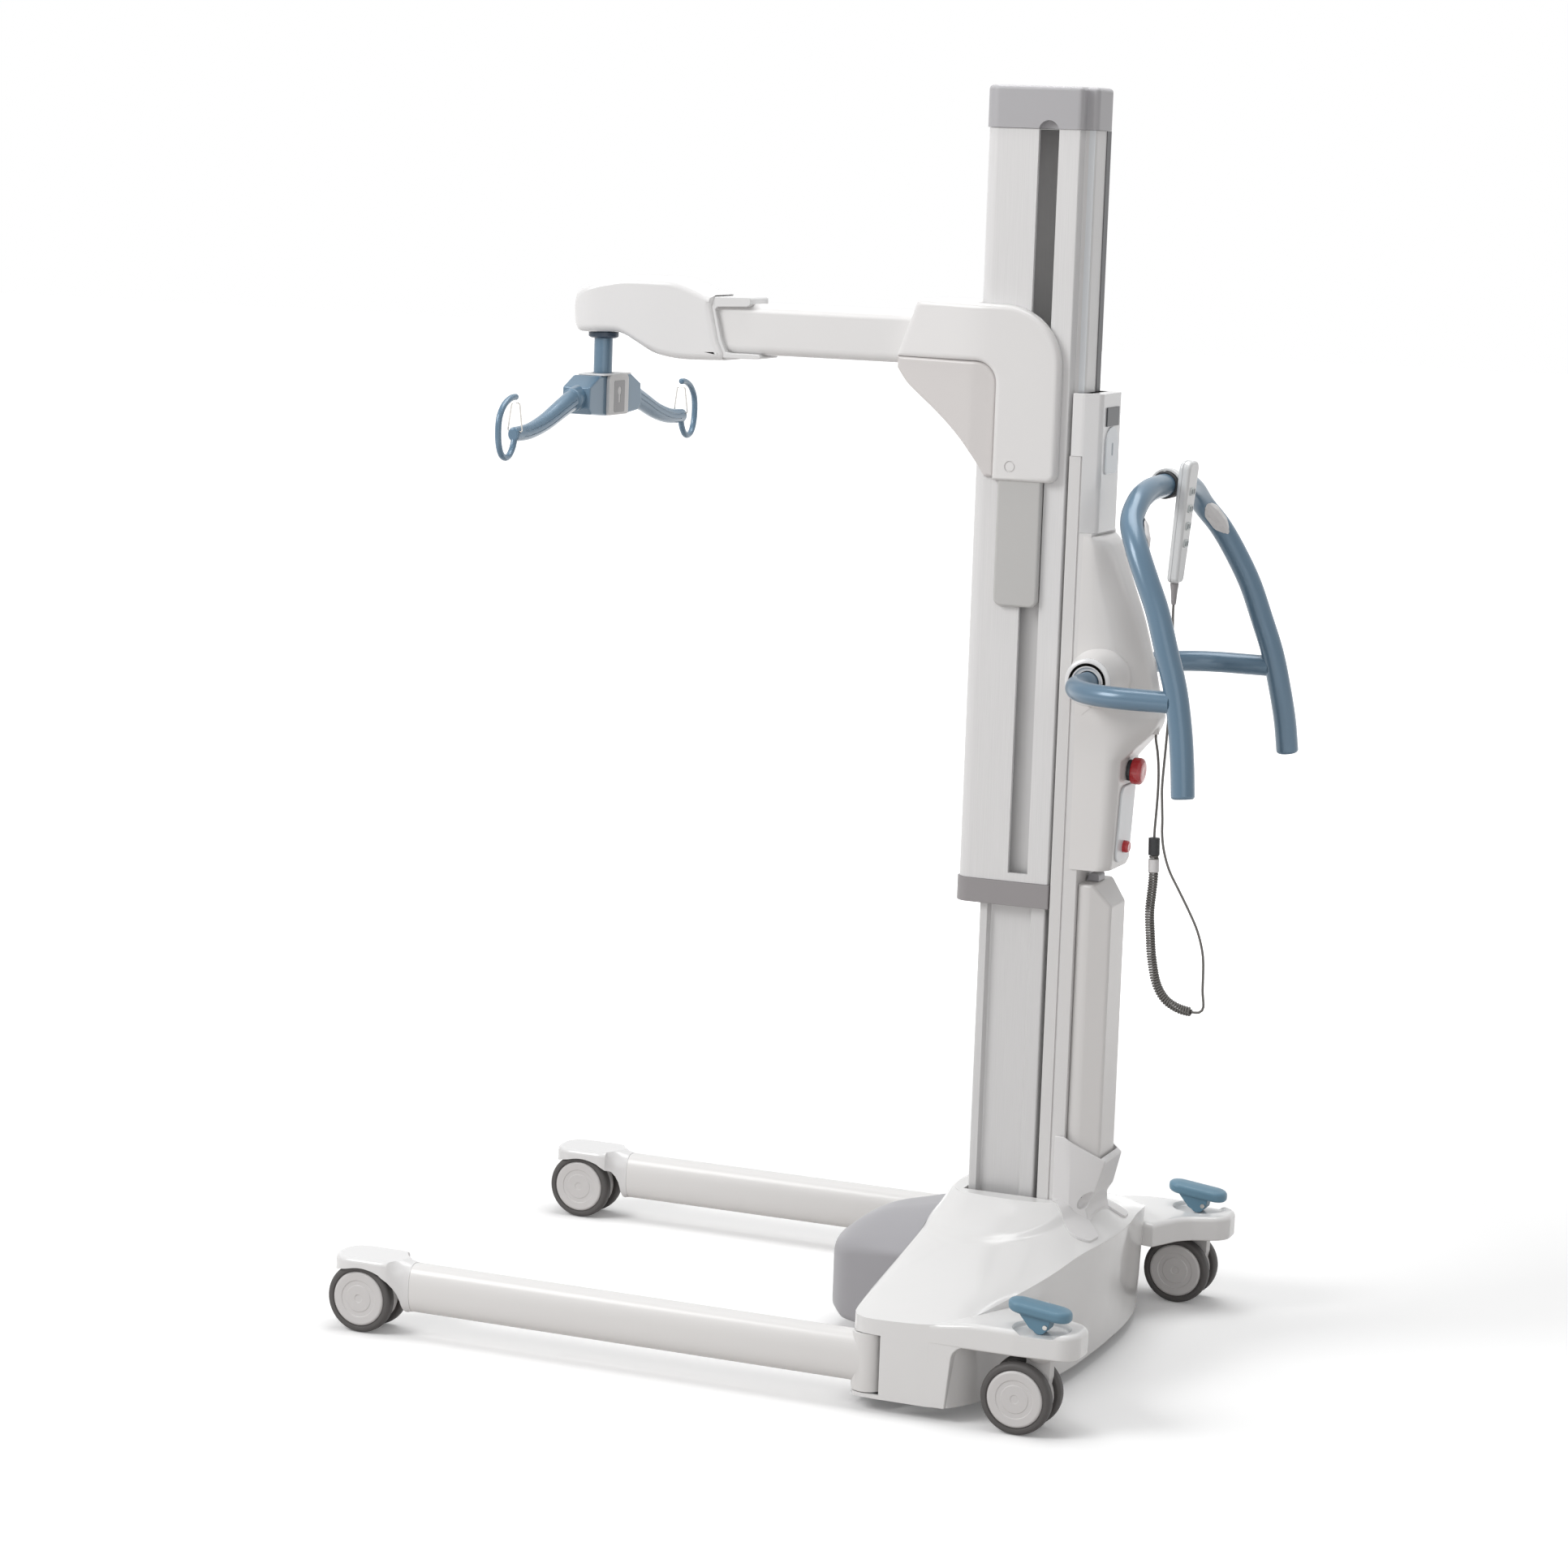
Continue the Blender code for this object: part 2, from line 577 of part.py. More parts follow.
def build_legs():
    for side in (1, -1):
        word = side_name(side)
        x = side * PIVOT[0]
        path = [(x, PIVOT[1] - .004, LEG_Z), (x, -.40, LEG_Z), (x, LEG_END_Y, LEG_Z)]
        oval = [(LEG_HALF[0] * math.copysign(abs(math.cos(a)) ** .72, math.cos(a)),
                 LEG_HALF[1] * math.copysign(abs(math.sin(a)) ** .80, math.sin(a)))
                for a in [2 * math.pi * k / 16 for k in range(16)]]
        leg = sweep("leg_" + word, path, oval, WHITE)
        join(leg, disc("leg_barrel_" + word, BARREL_RADIUS, BARREL_Z, (x, PIVOT[1], 0), (0, 0, 1),
                       edge=.001, steps=22))
        cut(leg, disc("leg_bore_" + word, PIN_RADIUS + FIT, (0, .15), (x, PIVOT[1], 0), (0, 0, 1), steps=20))
        hold_at(leg, (x, PIVOT[1], LEG_Z))

        wheel_x = side * FRONT_WHEEL[0]
        swivel_y = FRONT_WHEEL[1] + FRONT_TRAIL
        plan = fillet([(x - .0232, LEG_END_Y - FIT, 0), (x + .0232, LEG_END_Y - FIT, 0),
                       (wheel_x + .0385, CASTING_WIDE_Y, .03),
                       (wheel_x + .0385, CASTING_TIP_Y, .034), (wheel_x - .0385, CASTING_TIP_Y, .034),
                       (wheel_x - .0385, CASTING_WIDE_Y, .03)], 4)
        casting = prism("leg_end_casting_" + word, plan, "Z", (CASTING_LOW, CASTING_TOP), WHITE, .006, 2)
        dome = swept_dome("caster_room_" + word, wheel_x, swivel_y, FRONT_TRAIL, .0022, ARCH_ROOF)
        cut(casting, dome)


def build_brakes():
    """A brake pedal over each rear caster: a domed foot plate on a wedge-shaped stem that rocks."""
    for side in (1, -1):
        word = side_name(side)
        x, y = side * REAR_WHEEL[0], REAR_WHEEL[1] + REAR_TRAIL
        plan = fillet(box_corners((x - .0200, x + .0200), (y - .0470, y + .0410), .0170), 3)
        plate = prism("brake_pedal_" + word, plan, "Z", (0, .0150), BLUE, .004)
        for vert in plate.data.vertices:
            vert.co.z += .1665 - .12 * (vert.co.y - y + .0470)
        foot = [(y + PEDAL_ROCKER * math.sin(a), PEDAL_Z - PEDAL_ROCKER * math.cos(a))
                for a in [math.radians(d) for d in (-56, -28, 0, 28, 56)]]
        sides = [(y + .0120, .1450), (y + .0170, .1640), (y - .0360, .1720), (y - .0140, .1450)]
        stem = prism("pedal_stem_" + word, foot + sides, "X", (x - .0110, x + .0110))
        join(plate, stem)
        hold_at(plate, (x, y, PEDAL_Z))


def stage_outline(grow=0.0):
    half = [(0, STAGE_FRONT - grow, 0), (STAGE_HALF + grow, STAGE_FRONT - grow, .019),
            (STAGE_HALF + grow, .0575 + grow, .002), (.0325 + grow, .0585 + grow, 0),
            (.0315 + grow, .0740 + grow, .005), (0, .0745 + grow, 0)]
    rounded = fillet(half, 4)
    rounded = [(max(u, 0.0), v) for u, v in rounded]
    return mirrored(rounded)


def column_outline(grow=0.0):
    h, r = COLUMN_HALF + grow, RECESS_HALF + grow
    low, high = COLUMN_Y[0] - grow, COLUMN_Y[1] + grow
    return mirrored([(0, low), (h - .004, low), (h, low + .004), (h, RECESS_Y[0]), (r, RECESS_Y[0] + .003),
                     (r, RECESS_Y[1] - .003), (h, RECESS_Y[1]), (h, high - .003), (h - .003, high), (0,
                                                                                                     high)])


def build_mast():
    stage = prism("mast_upper_profile", stage_outline(), "Z", STAGE_Z, SHELL)
    half, front, rear = CAVITY
    cut(stage, box("stage_cavity", (-half, half), (front, rear), (.6, 1.8)),
        box("stage_chamber", (-.040, .040), (-.0720, -.0560), (.6, 1.8)))
    for side in (1, -1):
        cut(stage, box("stage_slot_" + side_name(side), sorted((side * (half - .004), side * .06)), SLOT_Y,
                       SLOT_Z))
    hold_at(stage, (0, 0, STAGE_Z[0]))
    top = prism("mast_top_cap", stage_outline(CAP_LIP), "Z", (STAGE_Z[1] + FIT, TOP_CAP_Z), GREY, .005)
    bottom = prism("mast_bottom_cap", stage_outline(CAP_LIP), "Z", (BOTTOM_CAP_Z, STAGE_Z[0] - FIT), GREY)
    cut(bottom, prism("cap_opening", column_outline(.0012), "Z", (.6, .7)))

    prism("mast_lower_profile", column_outline(), "Z", (CHASSIS_TOP + FIT, COLUMN_TOP), ALUMINIUM)
    return top, bottom


def build_rear_column():
    half = REAR_HALF
    outline = mirrored([(0, .0840), (.0365, .0840), (.0365, REAR_Y[0]), (half - .002, REAR_Y[0]),
                        (half, REAR_Y[0] + .002), (half, GROOVE_Y - .001), (half - .0020, GROOVE_Y - .0006),
                        (half - .0020, GROOVE_Y + .0006), (half, GROOVE_Y + .001), (half, REAR_Y[1]),
                        (0, REAR_Y[1])])
    column = prism("rear_column", outline, "Z", (CHASSIS_TOP + FIT, REAR_TOP), SHELL)
    cut(column, box("head_room", (-.1, .1), (GROOVE_Y + .0009, .2), (HEAD_SEAM, 2.0)))

    half = HEAD_HALF
    back = fillet([(0, .0845, 0), (.0365, .0845, 0), (.0365, .0640, 0), (half, .0640, .002),
                   (half, .0800, .008), (.0420, .1035, .010), (0, .1040, 0)])
    head = prism("control_head", mirrored([(max(u, 0), v) for u, v in back]), "Z",
                 (HEAD_SEAM + FIT, HEAD_TOP), WHITE, .004)
    cut(head, box("prong_room", (-.1, .1), (.05, GROOVE_Y + .0009 + FIT), (1.0, REAR_TOP + FIT)))
    build_head_face()


def build_head_face():
    window = prism("display_window", [corner[:2] for corner in box_corners((-.026, .026),
                                                                           (1.3260, 1.3520))], "Y",
                   (.1043, .1060), DARK)
    panel = prism("display_panel", fillet([(-.026, 1.2600, .008), (.026, 1.2600, .008), (.026, 1.3250, .024),
                                           (-.026, 1.3250, .024)]), "Y", (.1043, .1064), WHITE)
    return window, panel


def housing_section(half, flat, rear, corner):
    """The housing's outline from above: flat sides, rounded rear corners and a flat rear."""
    points = [(0, rear), (flat, rear)]
    for degrees in (68, 45, 22):
        a = math.radians(degrees)
        points.append((flat + (half - flat) * math.cos(a), corner + (rear - corner) * math.sin(a)))
    return mirrored(points + [(half, corner), (half, HOUSING_FRONT), (0, HOUSING_FRONT)])


def build_housing():
    """The control housing behind the column: narrow below, with a bulge above that carries the handle."""
    (low_y, low_z), (high_y, high_z) = REAR_FACE
    levels = ((HOUSING_LOW, .0555, .0300, low_y - .0025, .1250), (low_z, .0555, .0360, low_y, .1280),
              (high_z, .0555, .0380, high_y, .1320), (.8800, .0560, .0300, .1655, .1320), (.9050, .0585,
                                                                                           .0180, .1880,
                                                                                           .1300),
              (.9250, .0610, .0120, .1965, .1220), (.9400, .0615, .0120, .1920, .1180), (.9900, .0615,
                                                                                         .0120, .1800, .1120),
              (1.0600, .0605, .0120, .1600, .1060), (1.1100, .0590, .0140, .1400, .1020), (1.1550, .0580,
                                                                                           .0160, .1230,
                                                                                           .1000),
              (1.1690, .0570, .0160, .1150, .0975), (1.1760, .0560, .0160, .1060, .0950))
    housing = loft("control_housing", [[(u, v, z) for u, v in housing_section(*sizes)] for z,
                                       *sizes in levels], WHITE)
    y, z = HUB
    for side in (1, -1):
        word = side_name(side)
        boss = revolve("hub_boss_" + word,
                       [(0, .020), (.0430, .020), (.0430, .058), (.0350, .076), (.0330, HUB_END),
                                            (0, HUB_END)], (0, y, z), (side, 0, 0), steps=20)
        join(housing, boss)
    join(housing, disc("cord_gland", .0045, (GLAND[1], .9400), (0, GLAND[0], 0), (0, 0, 1), steps=10))
    cut(housing, disc("hub_bore", CROSS_RADIUS + HUB_GAP, (-.2, .2), (0, y, z), (1, 0, 0), steps=20))
    cut(housing, box("column_face", (-REAR_HALF - FIT, REAR_HALF + FIT), (.0, REAR_Y[1] + FIT), (.5, 1.5)))
    for side in (1, -1):
        word = side_name(side)
        seam = [(.0850, .7040), (.0850, .7055), (.1700, .7755), (.1700, .7740)]
        cut(housing, prism("housing_seam_" + word, seam, "X", sorted((side * .0545, side * .0700))))
        bore = CROSS_RADIUS + .0052
        ring = [(bore, 0), (.0330, 0), (.0330, .0040), (.0305, .0062), (bore, .0062), (bore, 0)]
        revolve("hub_ring_" + word, ring, (side * (HUB_END + FIT), y, z), (side, 0, 0), SHELL, 24)
    fascia = prism("rear_fascia", fillet(box_corners((-.0300, .0300), (.0015, .1100), .0140), 4), "Y",
                   (.0, FASCIA), SHELL, .0010)
    foot, normal = on_rear_face(low_z, FIT)
    lean = math.atan2(-normal.z, normal.y)
    fascia.data.transform(Matrix.Translation(foot) @ Matrix.Rotation(-lean, 4, "X"))
    cut(housing, rear_bore("stop_bore", STOP_Z, STOP_STEM + FIT, STOP_TRAVEL + .0008),
        rear_bore("lowering_bore", LOWERING_Z, LOWERING_RADIUS + FIT, LOWERING_TRAVEL + .0008))
    cut(fascia, rear_bore("fascia_bore", LOWERING_Z, LOWERING_RADIUS + FIT, .0040))
    return fascia


def rear_bore(name, z, radius, depth):
    foot, normal = on_rear_face(z)
    return disc(name, radius, (-depth, .0100), foot, normal, steps=20)


def on_rear_face(z, proud=0.0):
    """A point of the housing's sloping rear face at height z, and the direction square to it."""
    (low_y, low_z), (high_y, high_z) = REAR_FACE
    lean = math.atan2(high_y - low_y, high_z - low_z)
    normal = Vector((0, math.cos(lean), -math.sin(lean)))
    return Vector((0, low_y + (z - low_z) * math.tan(lean), z)) + normal * proud, normal


def build_buttons():
    """The red stop button on its collar, and the red emergency lowering button below it."""
    foot, normal = on_rear_face(STOP_Z, FIT)
    revolve("emergency_stop_collar", [(STOP_STEM + FIT, 0), (.0150, 0), (.0150, .0050), (.0135, .0066),
                                      (STOP_STEM + FIT, .0066), (STOP_STEM + FIT, 0)], foot, normal, DARK, 20)
    button = revolve("emergency_stop_button",
                     [(0, 0), (STOP_STEM, 0), (STOP_STEM, .0116), (.0170, .0116), (.0190, .0133),
                                               (.0186, .0180), (.0150, .0212), (0, .0228)], foot, normal,
                                               RED, 20)
    hold_at(button, foot)
    foot, normal = on_rear_face(LOWERING_Z, FIT)
    radius, top = LOWERING_RADIUS, FASCIA + .0085
    lower = revolve("lowering_button", [(0, 0), (radius, 0), (radius, top - .0025),
                                        (radius - .0020, top - .0005), (0, top)],
                    foot, normal, RED, 20)
    hold_at(lower, foot)


def build_battery():
    low, high = BATTERY_Z
    side_view = fillet([(BATTERY_Y[0], low, 0), (BATTERY_Y[0] + .0230, low, .004),
                        (BATTERY_Y[1], low + .0540, .010), (BATTERY_Y[1], high - .030, .004),
                        (BATTERY_Y[0] + .022, high, .004), (BATTERY_Y[0], high, 0)], 3)
    pack = prism("battery_pack", side_view, "X", (-BATTERY_HALF, BATTERY_HALF), SHELL, .003)
    split_at(pack, (.1180,))
    shape_width(pack, lambda y, z: BATTERY_HALF - .0150 * min(max((y - .1180) / .0280, 0), 1), BATTERY_HALF)
    latch = prism("battery_latch", fillet([(.1020, high + FIT, .001), (.1200, high + FIT, .001),
                                           (.1200, high + .0120, .005),
                                           (.1060, high + .0120, .004)], 4), "X", (-.0140, .0140), GREY)
    hold_at(latch, (0, .111, high + .006))
    return pack


def shroud_width(y, z):
    """Half-width of the shoe: full beside the column, and narrower towards its rear."""
    return SHROUD_HALF - .0220 * min(max((y - .1120) / .0445, 0.0), 1.0)


def build_foot_shroud():
    """The shoe at the column's foot: a pocket for the battery's lower end over a rounded foot on the base."""
    low = BATTERY_Z[0]
    outer = fillet([(.0870, .1500, 0), (.0870, .3310, .002), (.1000, .3310, .006), (.1565, .2970, .002),
                    (.1440, .2500, .010),
                    (.1330, .2320, .020), (.1390, .2120, .020), (.1500, .1930, .010), (.1500, .1500, 0)], 3)
    shroud = prism("foot_shroud", outer, "X", (-SHROUD_HALF, SHROUD_HALF), SHELL, .003)
    shape_width(split_at(shroud, (.1120,)), shroud_width, SHROUD_HALF)
    lobes = fillet([(.0590, .0880, 0), (.1010, .1370, .012), (.0900, .1590, .010), (.0500, .1640, .020),
                    (.0, .1640, 0)], 3)
    foot = cover_solid("shroud_foot", grow=SHROUD_SKIN)
    combine(foot, prism("shroud_foot_plan",
                        [(0, .0880)] + lobes + [(-u, v) for u, v in reversed(lobes[:-1])], "Z",
                        (.1000, .3000)), "INTERSECT")
    join(shroud, foot)
    cut(shroud, box("shroud_channel", (-REAR_HALF - FIT, REAR_HALF + FIT), (.0, REAR_Y[1] + FIT), (.0, .5)))
    pocket = [(.0950, low - .0003), (.1265, low - .0003), (.1495, low + .0540), (.1495, .4), (.0950, .4)]
    room = prism("battery_pocket", pocket, "X", (-SHROUD_HALF, SHROUD_HALF))
    cut(shroud, shape_width(split_at(room, (.1120,)), lambda y, z: shroud_width(y, z) - .0050, SHROUD_HALF))
    cut(shroud, cover_solid("cover_under_shroud", grow=FIT))
    return shroud


def arm_width(y, z):
    """Half-width of the arm's casing: narrow where the tube enters, full beside the mast."""
    t = min(max((y + .2050) / .125, 0.0), 1.0)
    return ARM_FRONT_HALF + (CHEEK_HALF - ARM_FRONT_HALF) * t


def split_at(obj, ys):
    """Adds edge loops across a solid at these places along Y, so that it can taper between them."""
    bm = bmesh.new()
    bm.from_mesh(obj.data)
    for y in ys:
        bmesh.ops.bisect_plane(bm, geom=bm.verts[:] + bm.edges[:] + bm.faces[:], plane_co=(0, y, 0),
                               plane_no=(0, 1, 0))
    bm.to_mesh(obj.data)
    bm.free()
    return obj


def tube_outline(grow=0.0):
    return fillet(box_corners((-ARM_HALF - grow, ARM_HALF + grow), (ARM_Z[0] - grow, ARM_Z[1] + grow),
                              .014 + grow), 4)


def carriage_parts(grow=0.0):
    """Outlines of the carriage: the bridge and side plates that straddle the mast, and the lower tongues."""
    g = grow
    plates = [(-.0930 - g, 1.4200 - g), (-.0420 - g, 1.4200 - g), (-.0420 - g, 1.2550 - g),
              (.0400 + g, 1.2550 - g),
              (.0400 + g, 1.4300 + g), (.0060 + g, 1.4600 + g), (-.0930 - g, 1.4600 + g)]
    return plates


def build_arm():
    arm = prism("arm_tube", tube_outline(), "Y", (ARM_END_Y, -.0935), WHITE)
    hold_at(arm, (0, -.0935, ARM_Z[0]))

    channel_half = STAGE_HALF + .0009
    carriage = prism("arm_carriage", carriage_parts(), "X", (-CARRIAGE_HALF, CARRIAGE_HALF), SHELL)
    tongue = fillet([(-.0380, 1.3000, 0), (-.0380, TONGUE_LOW, .020), (.0260, TONGUE_LOW, .020),
                     (.0260, 1.3000, 0)], 4)
    join(carriage, prism("carriage_tongue", tongue, "X", (-CARRIAGE_HALF - .0015, CARRIAGE_HALF + .0015),
                         None, .002))
    cut(carriage, box("mast_channel", (-channel_half, channel_half), (STAGE_FRONT - .0009, .2), (.9, 1.6)))
    for side in (1, -1):
        join(carriage, box("slot_runner_" + side_name(side),
                           sorted((side * .0385, side * (channel_half + .003))),
                           (SLOT_Y[0] + .0015, SLOT_Y[1] - .0015), (1.1000, 1.4300)))

    elbow_view = fillet([(-.2035, 1.4085, .004), (-.0460, 1.4085, .030), (-.0460, 1.2460, .003),
                         (.0470, 1.2460, .012), (.0470, 1.4870, .085), (-.1725, 1.4885, .010)], 4)
    elbow = prism("elbow_cover", elbow_view, "X", (-CHEEK_HALF, CHEEK_HALF), WHITE, .007, 1)
    shape_width(split_at(elbow, (-.165, -.140, -.110, -.080)), arm_width, CHEEK_HALF)
    cut(elbow, box("elbow_channel", (-channel_half, channel_half), (STAGE_FRONT - .0009, .2), (.9, 1.6)),
        prism("carriage_room", carriage_parts(FIT), "X", (-CARRIAGE_HALF - FIT, CARRIAGE_HALF + FIT)),
        prism("tongue_room", [(-.0383, 1.2), (.0263, 1.2), (.0263, 1.3003), (-.0383, 1.3003)], "X",
              (-CARRIAGE_HALF - .0018, CARRIAGE_HALF + .0018)),
        prism("tube_room", tube_outline(FIT), "Y", (-.7, -.0920)))

    curve = smooth([(-.2032, 1.3920, 0), (-.1900, 1.3750, 0), (-.1779, 1.3644, 0), (-.1433, 1.3386, 0),
                    (-.1150, 1.3150, 0), (-.0928, 1.2928, 0), (-.0740, 1.2700, 0), (-.0600, 1.2500, 0)], .024)
    web = fillet([(p.x, p.y, 0) for p in curve] + [(-.0463, 1.2500, 0), (-.0463, 1.4082, .0303),
                                                   (-.2032, 1.4082, 0)], 4)
    gusset = prism("arm_gusset", web, "X", (-CARRIAGE_HALF, CARRIAGE_HALF), WHITE, .004)
    shape_width(split_at(gusset, (-.165, -.140, -.110, -.0803)),
                lambda y, z: .034 + (CARRIAGE_HALF - .034) * min(max((y + .203) / .120, 0), 1), CARRIAGE_HALF)
    cut(gusset, box("gusset_channel", (-channel_half, channel_half), (STAGE_FRONT - .0009, .2), (.9, 1.6)),
        prism("gusset_tube_room", tube_outline(FIT), "Y", (-.7, -.0920)))
    build_head()


def from_post(points):
    """Outline points given by their distance behind the hanger's post and their height."""
    return [(POST_Y + v, z) for v, z in points]


def build_head():
    """The hood at the arm's end, which holds the hanger's swivel, and its grey liner around the tube."""
    drawn = [(-.0370, 1.4535), (-.0340, 1.4680), (-.0260, 1.4800), (-.0080, 1.4895), (.0220, 1.4970),
             (.0540, 1.5015),
               (.0970, 1.5010), (.1270, 1.4995), (.1540, 1.4910), (.1730, 1.4835), (.1900, 1.4805), (.1850,
                                                                                                     1.4620),
               (.1970, 1.4155), (.2045, 1.3985), (.2040, 1.3880), (.1670, 1.3868), (.1304, 1.3872), (.0960,
                                                                                                     1.3935),
               (.0670, 1.4080), (.0440, 1.4190), (.0220, 1.4205), (-.0210, 1.4187), (-.0310, 1.4240),
               (-.0360, 1.4350)]
    hood = prism("head_cover", from_post(drawn)[::-1], "X", (-.0420, .0420), WHITE, .007)
    split_at(hood, [POST_Y + v for v in (-.018, .0, .022, .072, .142)])

    def hood_width(y, z):
        nose = min(max((y - POST_Y + .037) / .040, 0.0), 1.0)
        rear = min(max((y - POST_Y - .072) / .10, 0), 1)
        return .0420 * (.62 + .38 * math.sqrt(1 - (1 - nose) ** 2)) - .003 * rear

    shape_width(hood, hood_width, .0420)
    cut(hood, prism("hood_tube_room", tube_outline(FIT), "Y", (ARM_END_Y - FIT, -.3)),
        disc("post_bore", POST_RADIUS + FIT, (1.40, 1.4400), (0, POST_Y, 0), (0, 0, 1), steps=28))
    liner = [(.1520, 1.3920), (.2050, 1.3920), (.2320, 1.3915), (.2590, 1.3940), (.2610, 1.3990),
             (.2240, 1.4250), (.2100, 1.4500), (.2320, 1.4700), (.2430, 1.4760), (.2420, 1.4790),
             (.2020, 1.4790), (.1520, 1.4770)]
    trim = prism("head_trim", from_post(liner), "X", (-.0330, .0330), LIGHT_GREY, .003)
    cut(trim, prism("trim_tube_room", tube_outline(FIT), "Y", (-.7, -.3)))
    room = box("trim_room", (-.0333, .0333), (POST_Y + .1517, POST_Y + .272), (1.3912, 1.4793))
    cut(hood, room)
    return hood


def build_hanger():
    y = POST_Y
    r, flange = POST_RADIUS, POST_RADIUS + .0080
    profile = [(0, 1.3145), (r - .0065, 1.3155), (r - .0020, 1.3195), (r, 1.3250), (r, 1.4120),
               (flange, 1.4120), (flange, 1.4178), (r, 1.4178), (r, 1.4396), (0, 1.4396)]
    post = revolve("hanger_post", profile, (0, y, 0), (0, 0, 1), BLUE, 18)
    hold_at(post, (0, y, TILT_Z))

    half = [(0, 1.2990, 0), (.0400, 1.2990, .004), (.0800, 1.3030, .004), (.0900, 1.3120, .003),
            (.0880, 1.3420, .003), (.0560, 1.3570, .006), (0, 1.3570, 0)]
    hub = prism("hanger_bar", [(u, v) for u, v in mirrored([(max(u, 0), v) for u, v in fillet(half, 3)])],
                "Y", (y - .0220, y + .0220), BLUE, .004)
    for side in (1, -1):
        word = side_name(side)
        arm_path = smooth([(side * .070, y, 1.3280), (side * .100, y, 1.3240), (side * .140, y, 1.3120),
                           (side * .190, y, 1.2960), (side * .240, y, 1.2860), (side * .2890, y, 1.2840)],
                           .036)
        arm = sweep("hanger_arm_" + word, arm_path, ring_section(.0120, .0135, 10), None,
                    lambda t: (1.15 - .42 * t, 1.15 - .30 * t))
        hook_path = smooth([(side * .2830, y, 1.2830), (side * .2880, y, 1.2680), (side * .2990, y, 1.2560),
                            (side * .3120, y, 1.2530), (side * .3250, y, 1.2590), (side * .3330, y, 1.2740),
                            (side * .3350, y, 1.2940), (side * .3310, y, 1.3120), (side * .3170, y, 1.3270),
                            (side * .2970, y, 1.3350), (side * .2800, y, 1.3360)], .0160)
        hook = sweep("hook_" + word, hook_path, ring_section(HOOK_ROD, sides=8))
        join(hub, arm, hook)
        cut(hub, disc("gate_bore_" + word, GATE_WIRE + .0005, (-.03, .03),
                      (side * GATE_PIVOT[0], y, GATE_PIVOT[1]), (0, 1, 0), steps=8))
    wide, deep = (r + gap for gap in SOCKET_GAP)
    socket = fillet(box_corners((-wide, wide), (y - deep, y + deep), r), 5)
    cut(hub, prism("post_socket", socket, "Z", (1.3125, 1.40)))
    hold_at(hub, (0, y, TILT_Z))

    cover = prism("hub_cover", fillet([(-.0330, 1.3000, .004), (.0330, 1.3000, .004), (.0330, 1.3580, .012),
                                       (-.0330, 1.3580, .012)]), "Y", (y + .0223, y + .0275), LIGHT_GREY,
                                       .0015)
    cut(cover, disc("key_hole", .0045, (.0245, .04), (0, y, 1.3340), (0, 1, 0), steps=16))
    for side in (1, -1):
        gate_path = [(side * GATE_PIVOT[0], y - .0112, GATE_PIVOT[1]),
                     (side * GATE_PIVOT[0], y + .0112, GATE_PIVOT[1]),
                     (side * (GATE_PIVOT[0] - .0010), y + .0060, 1.3275), (side * (GATE_PIVOT[0] - .0010),
                                                                           y - .0060, 1.3275)]
        gate = closed_wire("hook_gate_" + side_name(side), gate_path, GATE_WIRE, .0030, STEEL)
        hold_at(gate, (side * GATE_PIVOT[0], y, GATE_PIVOT[1]))


def closed_wire(name, corners, radius, bend, look):
    """A wire bent into a closed loop through the corners, each turned with the given bend radius."""
    path = []
    count = len(corners)
    for k in range(count):
        here = Vector(corners[k])
        back = (Vector(corners[k - 1]) - here).normalized()
        ahead = (Vector(corners[(k + 1) % count]) - here).normalized()
        for t in (0.0, 0.33, 0.67, 1.0):
            path.append(here + back * bend * (1 - t) ** 2 + ahead * bend * t ** 2)
    bm = bmesh.new()
    total = len(path)
    first, second, third = (Vector(corner) for corner in corners[:3])
    normal = (second - first).cross(third - second).normalized()
    rings = []
    for k, point in enumerate(path):
        along = (path[(k + 1) % total] - path[k - 1]).normalized()
        side = along.cross(normal).normalized()
        rings.append([bm.verts.new(point + (side * math.cos(a) + normal * math.sin(a)) * radius)
                      for a in [2 * math.pi * s / 6 for s in range(6)]])
    for low, high in zip(rings, rings[1:] + rings[:1]):
        for s in range(6):
            n = (s + 1) % 6
            bm.faces.new((low[s], low[n], high[n], high[s]))
    return add(name, bm, look)


BAR_POINTS = ((.2550, .3083, .8564), (.2500, .3035, .9025), (.2420, .2955, .9506), (.2356, .2842, 1.0003),
              (.2291, .2673, 1.0502), (.2205, .2500, 1.0995), (.2110, .2290, 1.1429), (.1956, .2093, 1.1801),
              (.1669, .1920, 1.2107), (.1289, .1880, 1.2347), (.0849, .1876, 1.2465), (.0401, .1880, 1.2494))


def pad_taper(t):
    """The pad's section along its length: full in the middle and rounded off towards both ends."""
    grow = max(.35, min(1.0, 3 * t, 3 * (1 - t)) ** .5)
    return grow, grow


